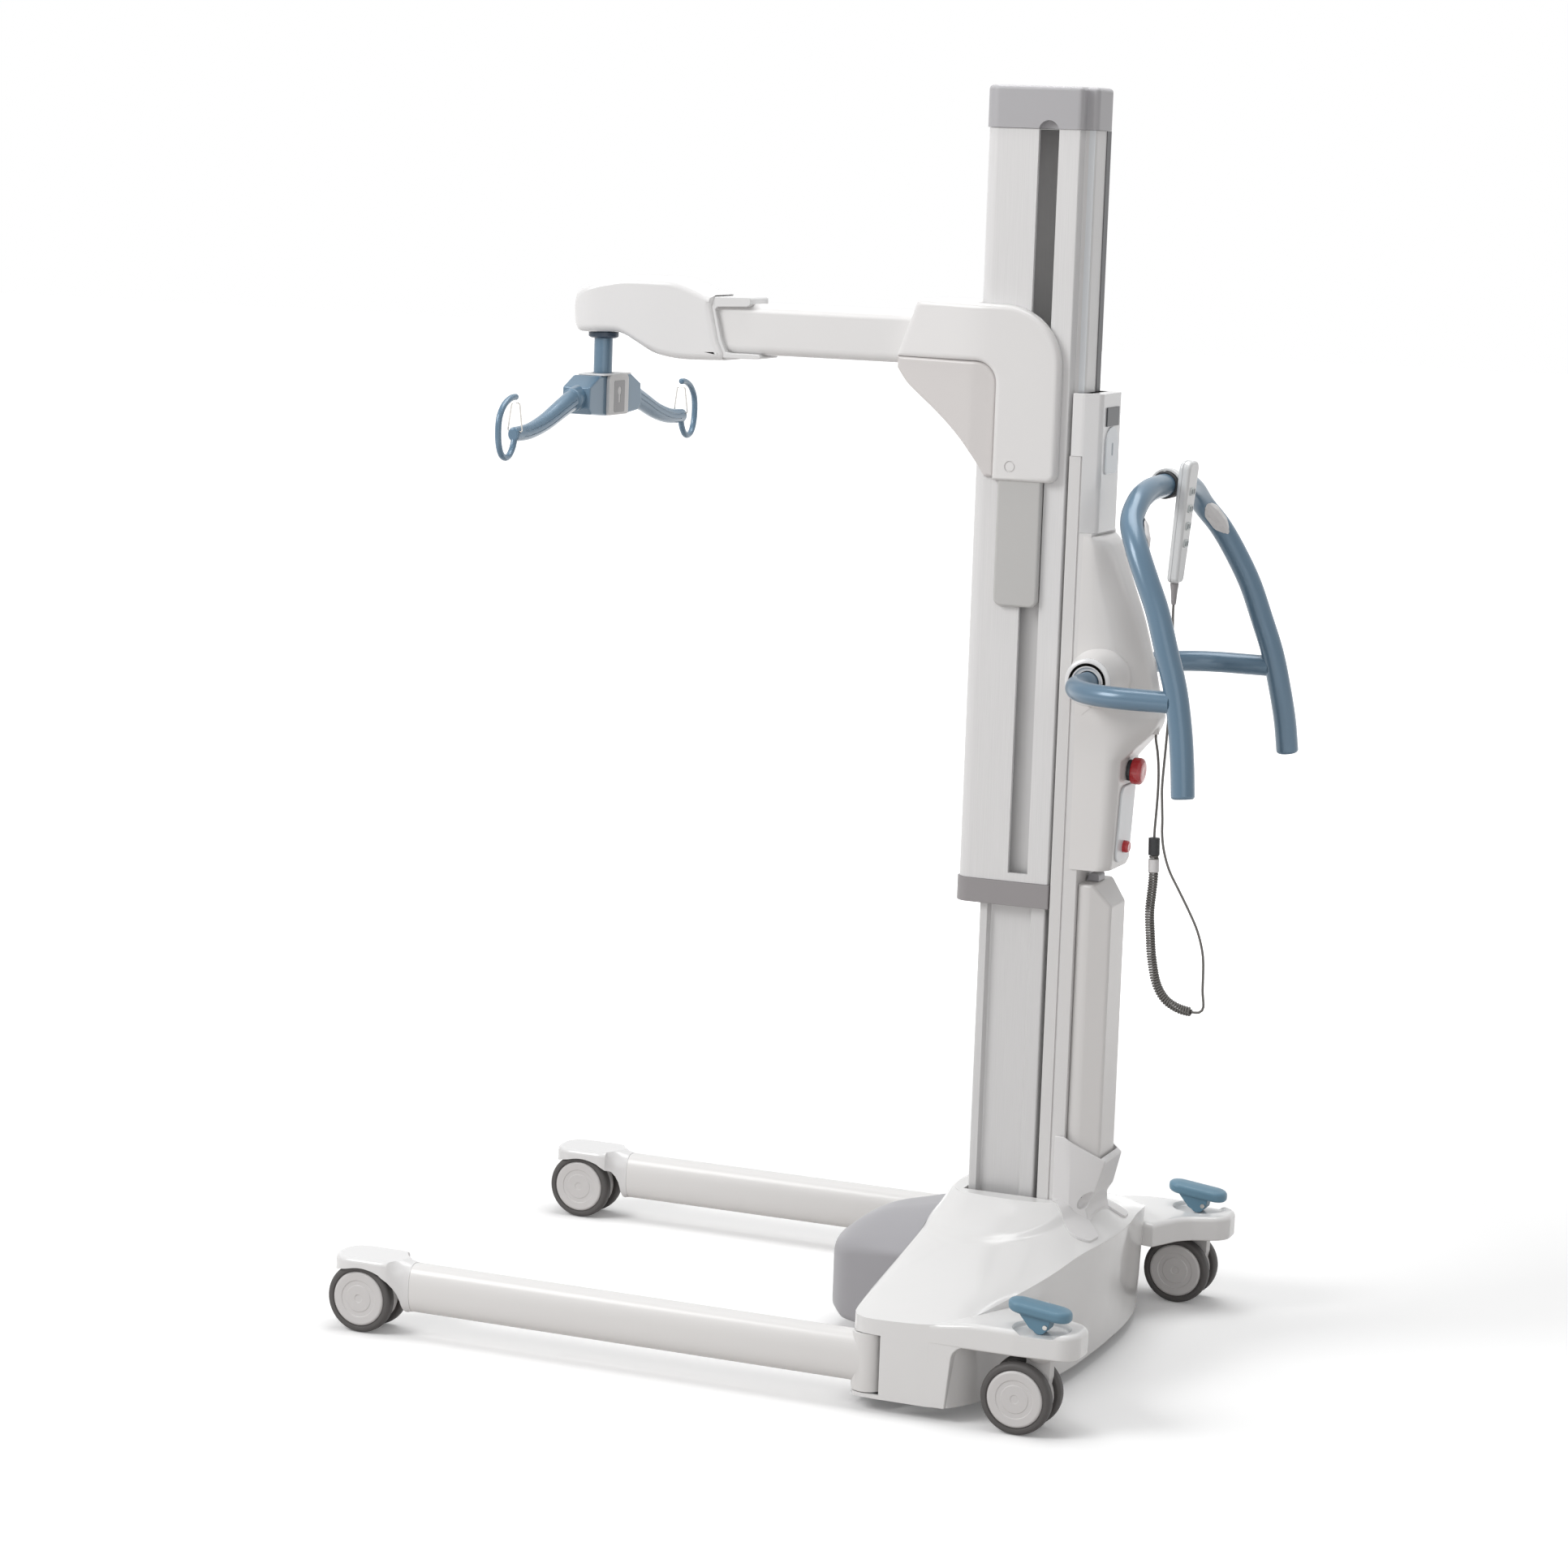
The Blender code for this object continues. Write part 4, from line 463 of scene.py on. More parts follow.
def mouldedSkin():  # slow shade drift, fine orange peel and a little handling haze
    group, given, out = newGroup(
        "mouldedSkin",
        [("Position", "NodeSocketVector"), ("Colour", "NodeSocketColor"), ("Drift", "NodeSocketFloat"),
         ("Peel Scale", "NodeSocketFloat"), ("Roughness", "NodeSocketFloat"), ("Haze", "NodeSocketFloat")],
        [("Colour", "NodeSocketColor"), ("Roughness", "NodeSocketFloat"), ("Height", "NodeSocketFloat")])
    nodes, links = group.nodes, group.links
    slow = noise(nodes, links, given.outputs["Position"], 4.0, 2.0)
    smears = noise(nodes, links, given.outputs["Position"], 23.0, 5.0, 0.65)
    peel = noise(nodes, links, given.outputs["Position"], given.outputs["Peel Scale"], 2.0)
    swing = calc(nodes, links, "MULTIPLY", calc(nodes, links, "SUBTRACT", slow, 0.5), given.outputs["Drift"])
    level = calc(nodes, links, "ADD", swing, 1.0)
    grey = nodes.new("ShaderNodeCombineColor")
    for channel in ("Red", "Green", "Blue"):
        links.new(level, grey.inputs[channel])
    tinted = blendColour(nodes, links, 1.0, given.outputs["Colour"], grey.outputs[0], "MULTIPLY")
    links.new(tinted, out.inputs["Colour"])
    haze = calc(nodes, links, "MULTIPLY", calc(nodes, links, "SUBTRACT", smears, 0.5), given.outputs["Haze"])
    links.new(calc(nodes, links, "ADD", haze, given.outputs["Roughness"], clamp=True),
              out.inputs["Roughness"])
    links.new(peel, out.inputs["Height"])
    return group


def drawnLines():  # the fine die lines of an extrusion, running along Z
    group, given, out = newGroup(
        "drawnLines", [("Position", "NodeSocketVector"), ("Fineness", "NodeSocketFloat")],
        [("Shade", "NodeSocketFloat"), ("Height", "NodeSocketFloat")])
    nodes, links = group.nodes, group.links
    stretch = nodes.new("ShaderNodeVectorMath")
    stretch.operation = "MULTIPLY"
    stretch.inputs[1].default_value = (1.0, 1.0, 0.012)
    links.new(given.outputs["Position"], stretch.inputs[0])
    lines = noise(nodes, links, stretch.outputs[0], given.outputs["Fineness"], 3.0, 0.6)
    links.new(calc(nodes, links, "MULTIPLY_ADD", lines, 0.16, 0.92), out.inputs["Shade"])
    links.new(lines, out.inputs["Height"])
    return group


finishColumns = ("colour", "rough", "coat", "drift", "peel", "bump")
finishRows = {
    "deepBlue": ((0.030, 0.052, 0.085), 0.38, 0.0, 0.08, 900, 0.0),
    "panelGrey": ((0.400, 0.400, 0.410), 0.45, 0.0, 0.06, 900, 0.01),
    "armCoat": ((0.770, 0.762, 0.758), 0.32, 0.08, 0.04, 900, 0.0125),
    "tongueCoat": ((0.520, 0.515, 0.505), 0.38, 0.0, 0.05, 1000, 0.015),
    "elbowShell": ((0.770, 0.760, 0.755), 0.31, 0.12, 0.04, 800, 0.0075),
    "gussetShell": ((0.660, 0.635, 0.625), 0.32, 0.05, 0.05, 900, 0.01),
    "headShell": ((0.780, 0.775, 0.775), 0.21, 0.2, 0.04, 700, 0.0075),
    "handShell": ((0.700, 0.710, 0.715), 0.3, 0.1, 0.05, 900, 0.01),
    "keyGrey": ((0.620, 0.660, 0.660), 0.42, 0.0, 0.05, 900, 0.0125),
    "darkInk": ((0.100, 0.130, 0.140), 0.45, 0.0, 0.1, 900, 0.005),
    "trimGrey": ((0.720, 0.720, 0.720), 0.4, 0.0, 0.05, 1500, 0.02),
    "glossShell": ((0.790, 0.785, 0.780), 0.2, 0.3, 0.04, 600, 0.005),
    "shellSide": ((0.740, 0.725, 0.715), 0.3, 0.08, 0.05, 1100, 0.0125),
    "coolWhite": ((0.770, 0.795, 0.820), 0.32, 0.1, 0.04, 900, 0.01),
    "capGrey": ((0.430, 0.425, 0.440), 0.4, 0.0, 0.06, 1500, 0.0225),
    "capGreyDark": ((0.300, 0.285, 0.290), 0.42, 0.0, 0.06, 1500, 0.0225),
    "keyInk": ((0.340, 0.380, 0.420), 0.4, 0.0, 0.08, 900, 0.005),
    "whiteShell": ((0.780, 0.775, 0.775), 0.21, 0.25, 0.05, 700, 0.005),
    "whiteCoat": ((0.780, 0.770, 0.760), 0.33, 0.1, 0.05, 900, 0.015),
    "paleShell": ((0.750, 0.740, 0.740), 0.36, 0.0, 0.05, 1400, 0.02),
    "paleCoat": ((0.700, 0.690, 0.685), 0.38, 0.0, 0.05, 1000, 0.0175),
    "stagePaint": ((0.740, 0.735, 0.735), 0.34, 0.0, 0.04, 900, 0.01),
    "anodised": ((0.640, 0.635, 0.635), 0.38, 0.0, 0.05, 1200, 0.0075),
    "grey": ((0.360, 0.355, 0.375), 0.4, 0.0, 0.07, 1500, 0.025),
    "lightShell": ((0.620, 0.610, 0.605), 0.38, 0.0, 0.05, 1400, 0.02),
    # this finish colours the steel chassis and also the painted shade strip on the mast's rear face
    "darkSteelAndPaintedShade": ((0.100, 0.100, 0.105), 0.45, 0.0, 0.1, 800, 0.02),
    "springSteel": ((0.550, 0.530, 0.500), 0.28, 0.0, 0.1, 1200, 0.01),
    "blueCoat": ((0.108, 0.192, 0.276), 0.3, 0.3, 0.1, 1600, 0.0125),
    "bluePlastic": ((0.125, 0.245, 0.335), 0.42, 0.0, 0.08, 1300, 0.025),
    "tyre": ((0.085, 0.080, 0.078), 0.58, 0.0, 0.25, 600, 0.03),
    "wheelCap": ((0.660, 0.645, 0.640), 0.36, 0.05, 0.06, 1200, 0.015),
    "blackRubber": ((0.030, 0.031, 0.034), 0.62, 0.0, 0.2, 900, 0.03),
    "darkGloss": ((0.030, 0.034, 0.040), 0.34, 0.0, 0.1, 500, 0.0),
    "signalRed": ((0.520, 0.012, 0.020), 0.21, 0.4, 0.08, 900, 0.0),
    "jacket": ((0.135, 0.128, 0.120), 0.5, 0.0, 0.2, 1500, 0.025),
}
metalOf = {"anodised": 0.1, "darkSteelAndPaintedShade": 0.4, "springSteel": 1.0, "blueCoat": 0.12}
linesOf = {"stagePaint": 900, "anodised": 1300}
shared = {"coatRough": 0.08, "haze": 0.04, "bumpDepth": 0.001}
groups = {"skin": mouldedSkin(), "lines": drawnLines()}
madeFinishes = {}


def finishOf(name):  # the material of a finish, made when it is first asked for
    if name in madeFinishes:
        return madeFinishes[name]
    values = dict(zip(finishColumns, finishRows[name]))
    made = madeFinishes[name] = bpy.data.materials.new(name)
    made.use_nodes = True
    nodes, links = made.node_tree.nodes, made.node_tree.links
    shader = nodes["Principled BSDF"]
    shader.inputs["Metallic"].default_value = metalOf.get(name, 0.0)
    shader.inputs["Coat Weight"].default_value = values["coat"]
    shader.inputs["Coat Roughness"].default_value = shared["coatRough"]
    where = nodes.new("ShaderNodeTexCoord").outputs["Object"]
    surface = nodes.new("ShaderNodeGroup")
    surface.node_tree = groups["skin"]
    links.new(where, surface.inputs["Position"])
    surface.inputs["Colour"].default_value = (*values["colour"], 1)
    surface.inputs["Drift"].default_value = values["drift"]
    surface.inputs["Peel Scale"].default_value = values["peel"]
    surface.inputs["Roughness"].default_value = values["rough"]
    surface.inputs["Haze"].default_value = shared["haze"]
    colour, height = surface.outputs["Colour"], surface.outputs["Height"]
    if name in linesOf:
        lines = nodes.new("ShaderNodeGroup")
        lines.node_tree = groups["lines"]
        lines.inputs["Fineness"].default_value = linesOf[name]
        links.new(where, lines.inputs["Position"])
        shade = nodes.new("ShaderNodeCombineColor")
        for channel in ("Red", "Green", "Blue"):
            links.new(lines.outputs["Shade"], shade.inputs[channel])
        colour = blendColour(nodes, links, 1.0, colour, shade.outputs[0], "MULTIPLY")
        height = lines.outputs["Height"]
    bump = nodes.new("ShaderNodeBump")
    bump.inputs["Strength"].default_value = values["bump"]
    bump.inputs["Distance"].default_value = shared["bumpDepth"]
    links.new(height, bump.inputs["Height"])
    links.new(colour, shader.inputs["Base Color"])
    links.new(surface.outputs["Roughness"], shader.inputs["Roughness"])
    links.new(bump.outputs["Normal"], shader.inputs["Normal"])
    return made


# camera
cameraValues = {
    "azimuth": 112.28092, "elevation": 8.81674, "roll": 1.95302, "focusPixels": math.exp(8.5201),
    "place": (5.37147, 2.0147 - 0.18 + mastY, 1.68345), "imagePixels": 1932, "sensor": 36,
}


def makeCamera(values):
    a, e, r = (math.radians(values[key]) for key in ("azimuth", "elevation", "roll"))
    back = Vector((math.sin(a) * math.cos(e), -math.cos(a) * math.cos(e), math.sin(e)))
    right = Vector((math.cos(a), math.sin(a), 0))
    up = back.cross(right)
    across = right * math.cos(r) + up * math.sin(r)
    over = up * math.cos(r) - right * math.sin(r)
    data = bpy.data.cameras.new("photoCamera")
    data.sensor_width = values["sensor"]
    data.lens = values["focusPixels"] / values["imagePixels"] * values["sensor"]
    data.clip_end = 100
    camera = bpy.data.objects.new("photoCamera", data)
    bpy.context.scene.collection.objects.link(camera)
    camera.matrix_world = Matrix(((across.x, over.x, back.x, values["place"][0]),
                                  (across.y, over.y, back.y, values["place"][1]),
                                  (across.z, over.z, back.z, values["place"][2]), (0, 0, 0, 1)))
    bpy.context.scene.camera = camera


makeCamera(cameraValues)
print("camera: placed")


# cords
leadRoute = ((0, .1890, .9027), (0, .1890, .8960), (0, .1925, .8780), (0, .1950, .8550), (0, .1957, .8300),
             (0, .1952, .8066), (0, .1943, .7850), (0, .1936, .7700), (0, .1936, .7581))
coilRoute = ((0, .1936, .7578), (0, .1937, .7530), (0, .1944, .7300), (0, .1949, .7022), (0, .1936, .6802),
             (0, .1920, .6523), (0, .1946, .6200), (0, .1982, .5883), (0, .2065, .5532), (0, .2205, .5316),
             (0, .2395, .5210), (0, .2560, .5178), (0, .2640, .5172))
returnRoute = ((0, .2645, .5172), (0, .2685, .5174), (.0003, .2730, .5192), (.0006, .2762, .5240),
               (.0010, .2768, .5310), (.0015, .2748, .5480), (.0025, .2746, .5700), (.0030, .2740, .5900),
               (.0035, .2712, .6090), (.0040, .2630, .6350), (.0048, .2500, .6610), (.0055, .2341, .6890),
               (.0060, .2194, .7150), (.0064, .2105, .7414), (.0068, .2068, .7650), (.0070, .2062, .7850),
               (.0072, .2046, .8100), (.0072, .2036, .8355), (.0066, .2064, .8987), (.0050, .2080, .9600),
               (.0020, .2070, 1.0200), (0, .2050, 1.0700), (0, .2050, 1.0851))
cordValues = {
    "leadRadius": 0.0018, "curlWire": 0.00165, "curlRadius": 0.0053, "curlPitch": 0.0036,
    "curlPoints": 18, "leadSpacing": 0.006,
}


def cordCurve(name, points, radius, sides=4):
    data = bpy.data.curves.new(name, "CURVE")
    data.dimensions = "3D"
    data.bevel_depth = radius
    data.bevel_resolution = sides
    data.use_fill_caps = True
    spline = data.splines.new("POLY")
    spline.points.add(len(points) - 1)
    for spot, point in zip(spline.points, points):
        spot.co = (*point, 1.0)
    piece = bpy.data.objects.new(name, data)
    bpy.context.scene.collection.objects.link(piece)
    data.materials.append(finishOf("jacket"))
    return piece


def curlsAlong(path, values):  # the helix round a route, with short straight ends on the route
    fine = curveThrough(path, 0.001)
    curls = round((lengthOf(fine) - 0.008) / values["curlPitch"])
    steps = curls * values["curlPoints"]
    points = []
    for index, (point, side, up) in enumerate(framesAlong(evenly(fine, steps))):
        angle = 2 * math.pi * index / values["curlPoints"]
        ramp = min(1.0, max(0, index - 14) / 20, max(0, steps - index - 14) / 20)
        points.append(point + (side * math.cos(angle) + up * math.sin(angle)) * values["curlRadius"] * ramp)
    return points


def shifted(route):
    return [Vector((x, y + mastY, z)) for x, y, z in route]


def makeCords(values):
    lead = curveThrough(shifted(leadRoute), values["leadSpacing"])
    coil = curlsAlong(shifted(coilRoute), values)
    back = curveThrough(shifted(returnRoute), values["leadSpacing"])
    for name, points, radius, node in (("housingLead", lead, values["leadRadius"], "cord_housing_lead"),
                                       ("curlyCord", coil, values["curlWire"], "cord_curly"),
                                       ("handLead", back, values["leadRadius"], "cord_hand_lead")):
        piece = cordCurve(name, points, radius, 3 if name == "curlyCord" else 5)
        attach(piece, "base")
        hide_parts(node)
    wrap = tube("cordWrap", curveThrough(shifted(coilRoute)[:3], 0.002)[:13], 0.0079, 24)
    settle(wrap, "blackRubber", "base")
    tag = tube("cordTag", curveThrough(shifted(coilRoute)[2:4], 0.002)[1:11], 0.0077, 24)
    settle(tag, "paleShell", "base")


makeCords(cordValues)
print("cords: made")


# casters
wheelRadius = 0.050
casterPlaces = {
    "front_left": (0.365, -0.8320, 0.005, 0.1032), "front_right": (-0.365, -0.8320, 0.005, 0.1032),
    "rear_left": (0.362, 0.1570, 0.024, 0.1077), "rear_right": (-0.362, 0.1570, 0.024, 0.1077),
}
wheelValues = {
    "tyre": [(.0388, .0128, 0), (.0470, .0124, .0015), (.0498, .0165, .0030), (.0500, .0230, .003),
             (.0496, .0285, .003), (.0462, .0322, .0022), (.0412, .0318, .0008), (.0404, .0302, 0),
             (.0388, .0302, 0)],
    "cap": [(0, .0140, 0), (.0392, .0140, .001), (.0392, .0308, .0010), (.0370, .0328, .0016),
            (.0268, .0322, .0004), (.0262, .0312, .0004), (.0196, .0310, .0004), (.0190, .0318, .0004),
            (.0060, .0316, .0004), (.0056, .0308, .0003), (0, .0308, 0)],
    "axleRadius": 0.0058, "axleHalf": 0.0145, "steps": 72,
}


def makeWheels(tag, place, values):
    x, y = place[:2]
    body = tag.replace("_", "_wheels_")
    centre = (x, y + mastY, wheelRadius)
    for part, finish, slotName in (("tyre", "tyre", "tread"), ("cap", "wheelCap", "light_grey_plastic")):
        halves = []
        for direction in (1, -1):
            halves.append(turned(f"{part}_{tag}", rounded(values[part], 3), centre, (direction, 0, 0),
                                 values["steps"]))
        makeActive(halves[0])
        halves[1].select_set(True)
        bpy.ops.object.join()
        settle(halves[0], finish, body, "caster_wheels_" + tag, 28)
    axle = turned("axle_" + tag, [(0, -values["axleHalf"]), (values["axleRadius"], -values["axleHalf"]),
                                  (values["axleRadius"], values["axleHalf"]), (0, values["axleHalf"])],
                  centre, (1, 0, 0), 24)
    settle(axle, "springSteel", body)


def makeFork(tag, place):
    x, y, trail, top = place
    swivelY, r = y + trail, 0.0425
    turn = [(y + mastY + r * math.cos(a), wheelRadius + r * math.sin(a), 0) for a in turns(150, 385, 9)]
    right = swivelY + .017 + mastY
    outline = turn + [(max(right, y + mastY + r * math.cos(math.radians(24))), .078, .006),
                      (right, .092, .004), (right, top - .0004, .001),
                      (swivelY - .017 + mastY, top - .0004, .001), (swivelY - .017 + mastY, .094, .006)]
    fork = block("fork_" + tag, outline, "X", (x - .0094, x + .0094), 6, .0028, 3)
    collar = turned("forkCollar", rounded([(0, top - .0080, 0), (.0155, top - .0080, .001),
                                           (.0198, top - .0026, .001), (.0198, top - .0002, .0005),
                                           (0, top - .0002, 0)], 3), (x, swivelY + mastY, 0))
    weld(fork, collar)
    body = tag.replace("_", "_fork_")
    settle(fork, "lightShell", body, "caster_fork_" + tag, 30)


for tag, place in casterPlaces.items():
    makeWheels(tag, place, wheelValues)
    makeFork(tag, place)
print("casters: made")


# brake pedals
pedalValues = {
    "half": (.0200, .0440), "corner": .0188, "slope": .12, "front": .1665, "thick": .0150, "rim": .0055,
}


def makePedal(side, values):
    word = sideWords[side]
    wheelX, wheelY, trail, _ = casterPlaces["rear_left"]
    x, y = side * wheelX, wheelY + trail + mastY
    u, v = values["half"]
    corner = values["corner"]
    middle = y - .0030
    plate = block("pedal_" + word, oblong(u, middle - v, middle + v, corner, None, x), "Z",
                  (0, values["thick"]), 10)
    softenRims(plate, "Z", (0, values["thick"]), values["rim"], 5)
    openMesh(plate)
    for width, lift in ((.0030, .0009), (.0040, .0008), (.0040, .0004)):
        pick(plate, "FACE", lambda face: face.normal.z > 0.99 and len(face.verts) > 12)
        bpy.ops.mesh.inset(thickness=width)
        bpy.ops.transform.translate(value=(0, 0, lift))
    closeMesh()
    for vert in plate.data.vertices:
        vert.co.z += values["front"] - values["slope"] * (vert.co.y - y + .0470)
    rocker = .1480 - .1375 - fit
    foot = [(y + rocker * math.sin(a), .1480 - rocker * math.cos(a), 0) for a in turns(-56, 57, 8)]
    stem = block("pedalStem", foot + [(y + .0120, .1450, .003), (y + .0170, .1650, .002),
                                      (y - .0370, .1730, .002), (y - .0140, .1450, .006)], "X",
                 (x - .0125, x + .0125), 5, .0030, 3)
    weld(plate, stem)
    settle(plate, "bluePlastic", "pedal_" + word, "brake_pedal_" + word, 34)
    pin = turned("pedalPin_" + word, rounded([(0, -.0150, 0), (.0034, -.0150, .0008),
                                              (.0034, .0150, .0008), (0, .0150, 0)], 2),
                 (x, y + .0085, .1490), (1, 0, 0), 24)
    settle(pin, "springSteel", "pedal_" + word)


for side in (1, -1):
    makePedal(side, pedalValues)
print("brake pedals: made")


# push handle
handleValues = {
    "radius": .016, "crossRadius": .0148, "runX": .2385, "sweep": .100, "hub": (.120, .9815), "sides": 40,
    "sleeve": [(.0163, -.0150, .0004), (.0189, -.0150, .0010), (.0189, .0150, .0010),
               (.0163, .0150, .0004)],
    "hubFace": .1023,
}
barPoints = ((.2550, .3083, .8564), (.2500, .3035, .9025), (.2420, .2955, .9506), (.2356, .2842, 1.0003),
             (.2291, .2673, 1.0502), (.2205, .2500, 1.0995), (.2110, .2290, 1.1429), (.1956, .2093, 1.1801),
             (.1669, .1920, 1.2107), (.1289, .1880, 1.2347), (.0849, .1876, 1.2465), (.0401, .1880, 1.2494))


def makeHandle(values):
    half = [Vector((x, y + mastY, z)) for x, y, z in barPoints]
    whole = half + [Vector((0, .1880 + mastY, 1.2500))] + [Vector((-p.x, p.y, p.z)) for p in reversed(half)]
    bar = tube("pushHandle", curveThrough(whole, .010), values["radius"], values["sides"], endRound=.0045)
    settle(bar, "blueCoat", "base", "push_handle", 40)
    y, z = values["hub"][0] + mastY, values["hub"][1]
    cross = []
    for side in (-1, 1):
        arc = [Vector((side * (values["runX"] - values["sweep"] * (1 - math.sin(a))),
                       y + values["sweep"] * (1 - math.cos(a)), z)) for a in turns(0, 91, 5)]
        arc.append(Vector((side * values["runX"], .2800 + mastY, z)))
        cross += arc if side > 0 else arc[::-1]
    settle(tube("crossTube", cross, values["crossRadius"], values["sides"]), "blueCoat", "base",
           "handle_crossbar", 40)
    sleeve = turned("bridgeSleeve", rounded(values["sleeve"], 3), (0, .1880 + mastY, 1.2500), (1, 0, 0), 48)
    settle(sleeve, "blackRubber", "base", "bridge_sleeve")
    for side in (1, -1):
        word = sideWords[side]
        ring = turned("hubRing_" + word, rounded([(.0160, 0, 0), (.0330, 0, .0004), (.0330, .0042, .0016),
                                                  (.0285, .0062, .0018), (.0215, .0062, .0012),
                                                  (.0200, .0030, .0010), (.0160, .0026, 0)], 4),
                      (side * values["hubFace"], y, z), (side, 0, 0), 72)
        settle(ring, "whiteShell", "base", "hub_ring_" + word, 40)


makeHandle(handleValues)
print("push handle: made")


# stop and lowering buttons
rearFace = ((.1458, .7200), (.1527, .8660))  # (y, z) of the housing's sloping rear face


def onRearFace(z, proud=0.0):
    (lowY, lowZ), (highY, highZ) = rearFace
    lean = math.atan2(highY - lowY, highZ - lowZ)
    normal = Vector((0, math.cos(lean), -math.sin(lean)))
    return Vector((0, lowY + mastY + (z - lowZ) * math.tan(lean), z)) + normal * proud, normal


buttonValues = {
    "stopZ": .8500, "loweringZ": .7420,
    "collar": [(.0083, 0, 0), (.0150, 0, .0004), (.0150, .0050, .0010), (.0132, .0066, .0008),
               (.0083, .0066, 0)],
    "stop": [(0, 0, 0), (.0078, 0, 0), (.0078, .0112, .0008), (.0158, .0112, .0004),
             (.0158, .0064, .0003), (.0186, .0064, .0010), (.0190, .0132, .0010), (.0188, .0182, .0022),
             (.0150, .0214, .0030), (.0080, .0222, .0020), (0, .0216, 0)],
    "plinth": .0026, "proud": .0085,
}


def makeButtons(values):
    foot, normal = onRearFace(values["stopZ"], fit)
    collar = turned("stopCollar", rounded(values["collar"], 3), foot, normal, 48)
    settle(collar, "darkGloss", "base", "emergency_stop_collar")
    button = turned("stopButton", rounded(values["stop"], 4), foot, normal, 64)
    settle(button, "signalRed", "stop_button", "emergency_stop_button", 40)
    foot, normal = onRearFace(values["loweringZ"], fit)
    top = values["plinth"] + values["proud"]
    lower = turned("loweringButton", rounded([(0, 0, 0), (.0084, 0, 0), (.0084, top - .0022, .0014),
                                              (.0066, top, .0008), (.0050, top - .0006, .0006),
                                              (0, top - .0010, 0)], 3), foot, normal, 48)
    settle(lower, "signalRed", "lowering_button", "lowering_button", 40)


makeButtons(buttonValues)
print("buttons: made")

# the base: cover with its wings, drive housing, legs and their castings
# half of the skirt's lower edge, from the front middle to the rear middle
coverLow = ((0, -.0865), (.13, -.0865), (.26, -.0865), (.350, -.0865), (.383, -.080), (.3905, -.055),
            (.391, .000), (.3905, .036), (.384, .058), (.368, .070), (.340, .085), (.300, .102),
            (.250, .124), (.190, .139), (.110, .148), (0, .151))
# the edge between the skirt and the sloping top
coverCrease = ((0, -.0875, .1985), (.050, -.0875, .1960), (.100, -.0875, .1890), (.200, -.0875, .1690),
               (.295, -.0875, .1500), (.345, -.0870, .1385), (.373, -.0820, .1362),
               (.3870, -.0690, .1350), (.3905, -.0480, .1345), (.3912, .000, .1358), (.3905, .036, .1385),
               (.380, .058, .1415), (.352, .079, .1450), (.302, .103, .1560), (.225, .138, .1755),
               (.123, .1560, .1880), (.060, .1660, .1895), (0, .1690, .1900))
# height, then half of the outline at that height
coverTop = (
    (0.150, ((0, -.088), (.12, -.088), (.22, -.088), (.295, -.088), (.328, -.083), (.348, -.058),
             (.356, -.010), (.356, .025), (.345, .060), (.326, .092), (.300, .120), (.262, .148),
             (.200, .171), (.114, .189), (0, .195))),
    (0.170, ((0, -.088), (.09, -.088), (.155, -.088), (.200, -.087), (.226, -.080), (.250, -.056),
             (.272, -.015), (.284, .020), (.289, .055), (.287, .087), (.274, .116), (.245, .143),
             (.190, .166), (.110, .184), (0, .191))),
    (0.190, ((0, -.087), (.04, -.087), (.075, -.086), (.100, -.083), (.118, -.075), (.138, -.054),
             (.158, -.020), (.172, .012), (.182, .045), (.184, .075), (.178, .102), (.160, .126),
             (.128, .147), (.076, .163), (0, .170))),
    (0.212, ((0, -.080), (.03, -.080), (.055, -.078), (.074, -.073), (.088, -.064), (.100, -.046),
             (.109, -.020), (.114, .008), (.117, .036), (.116, .062), (.111, .086), (.100, .108),
             (.080, .126), (.048, .139), (0, .144))),
    (0.228, ((0, -.073), (.026, -.073), (.047, -.071), (.062, -.066), (.073, -.057), (.081, -.041),
             (.086, -.018), (.089, .007), (.091, .032), (.090, .055), (.086, .077), (.078, .096),
             (.063, .111), (.038, .122), (0, .126))),
    (0.234, ((0, -.066), (.024, -.066), (.043, -.064), (.056, -.059), (.066, -.051), (.073, -.037),
             (.077, -.016), (.080, .007), (.081, .030), (.080, .051), (.077, .071), (.070, .089),
             (.056, .103), (.034, .113), (0, .117))),
)
coverValues = {
    "middle": .020, "wall": .005, "around": 60, "rows": 60, "wingZ": (.1082, .1440),
    "dish": (.0380, .1375), "crease": .0042, "topRim": .0030, "pad": (.010, .158, .112, 2.3),
    "padRise": .0066, "fairing": 30,
}


def finer(row, steps):  # the same row of vectors with steps points for each stretch, on a smooth curve
    known = [2 * row[0] - row[1]] + list(row) + [2 * row[-1] - row[-2]]
    found = []
    for a, b, c, d in zip(known, known[1:], known[2:], known[3:]):
        found += [between(a, b, c, d, step / steps) for step in range(steps)]
    return found + [row[-1].copy()]


def polarRow(half, middle):  # an outline's (angle, radius) pairs about the middle of the cover
    fine = finer([Vector((u, v, 0)) for u, v in half], 6)
    return [(math.atan2(max(p.x, 0), middle - p.y), math.hypot(max(p.x, 0), p.y - middle)) for p in fine]


def radiusAt(row, angle):
    for (lowAngle, low), (highAngle, high) in zip(row, row[1:]):
        if angle <= highAngle:
            return low + (high - low) * max(angle - lowAngle, 0) / max(highAngle - lowAngle, 1e-9)
    return row[-1][1]


def smoothStep(low, high, value):
    t = clamped((value - low) / (high - low))
    return t * t * (3 - 2 * t)


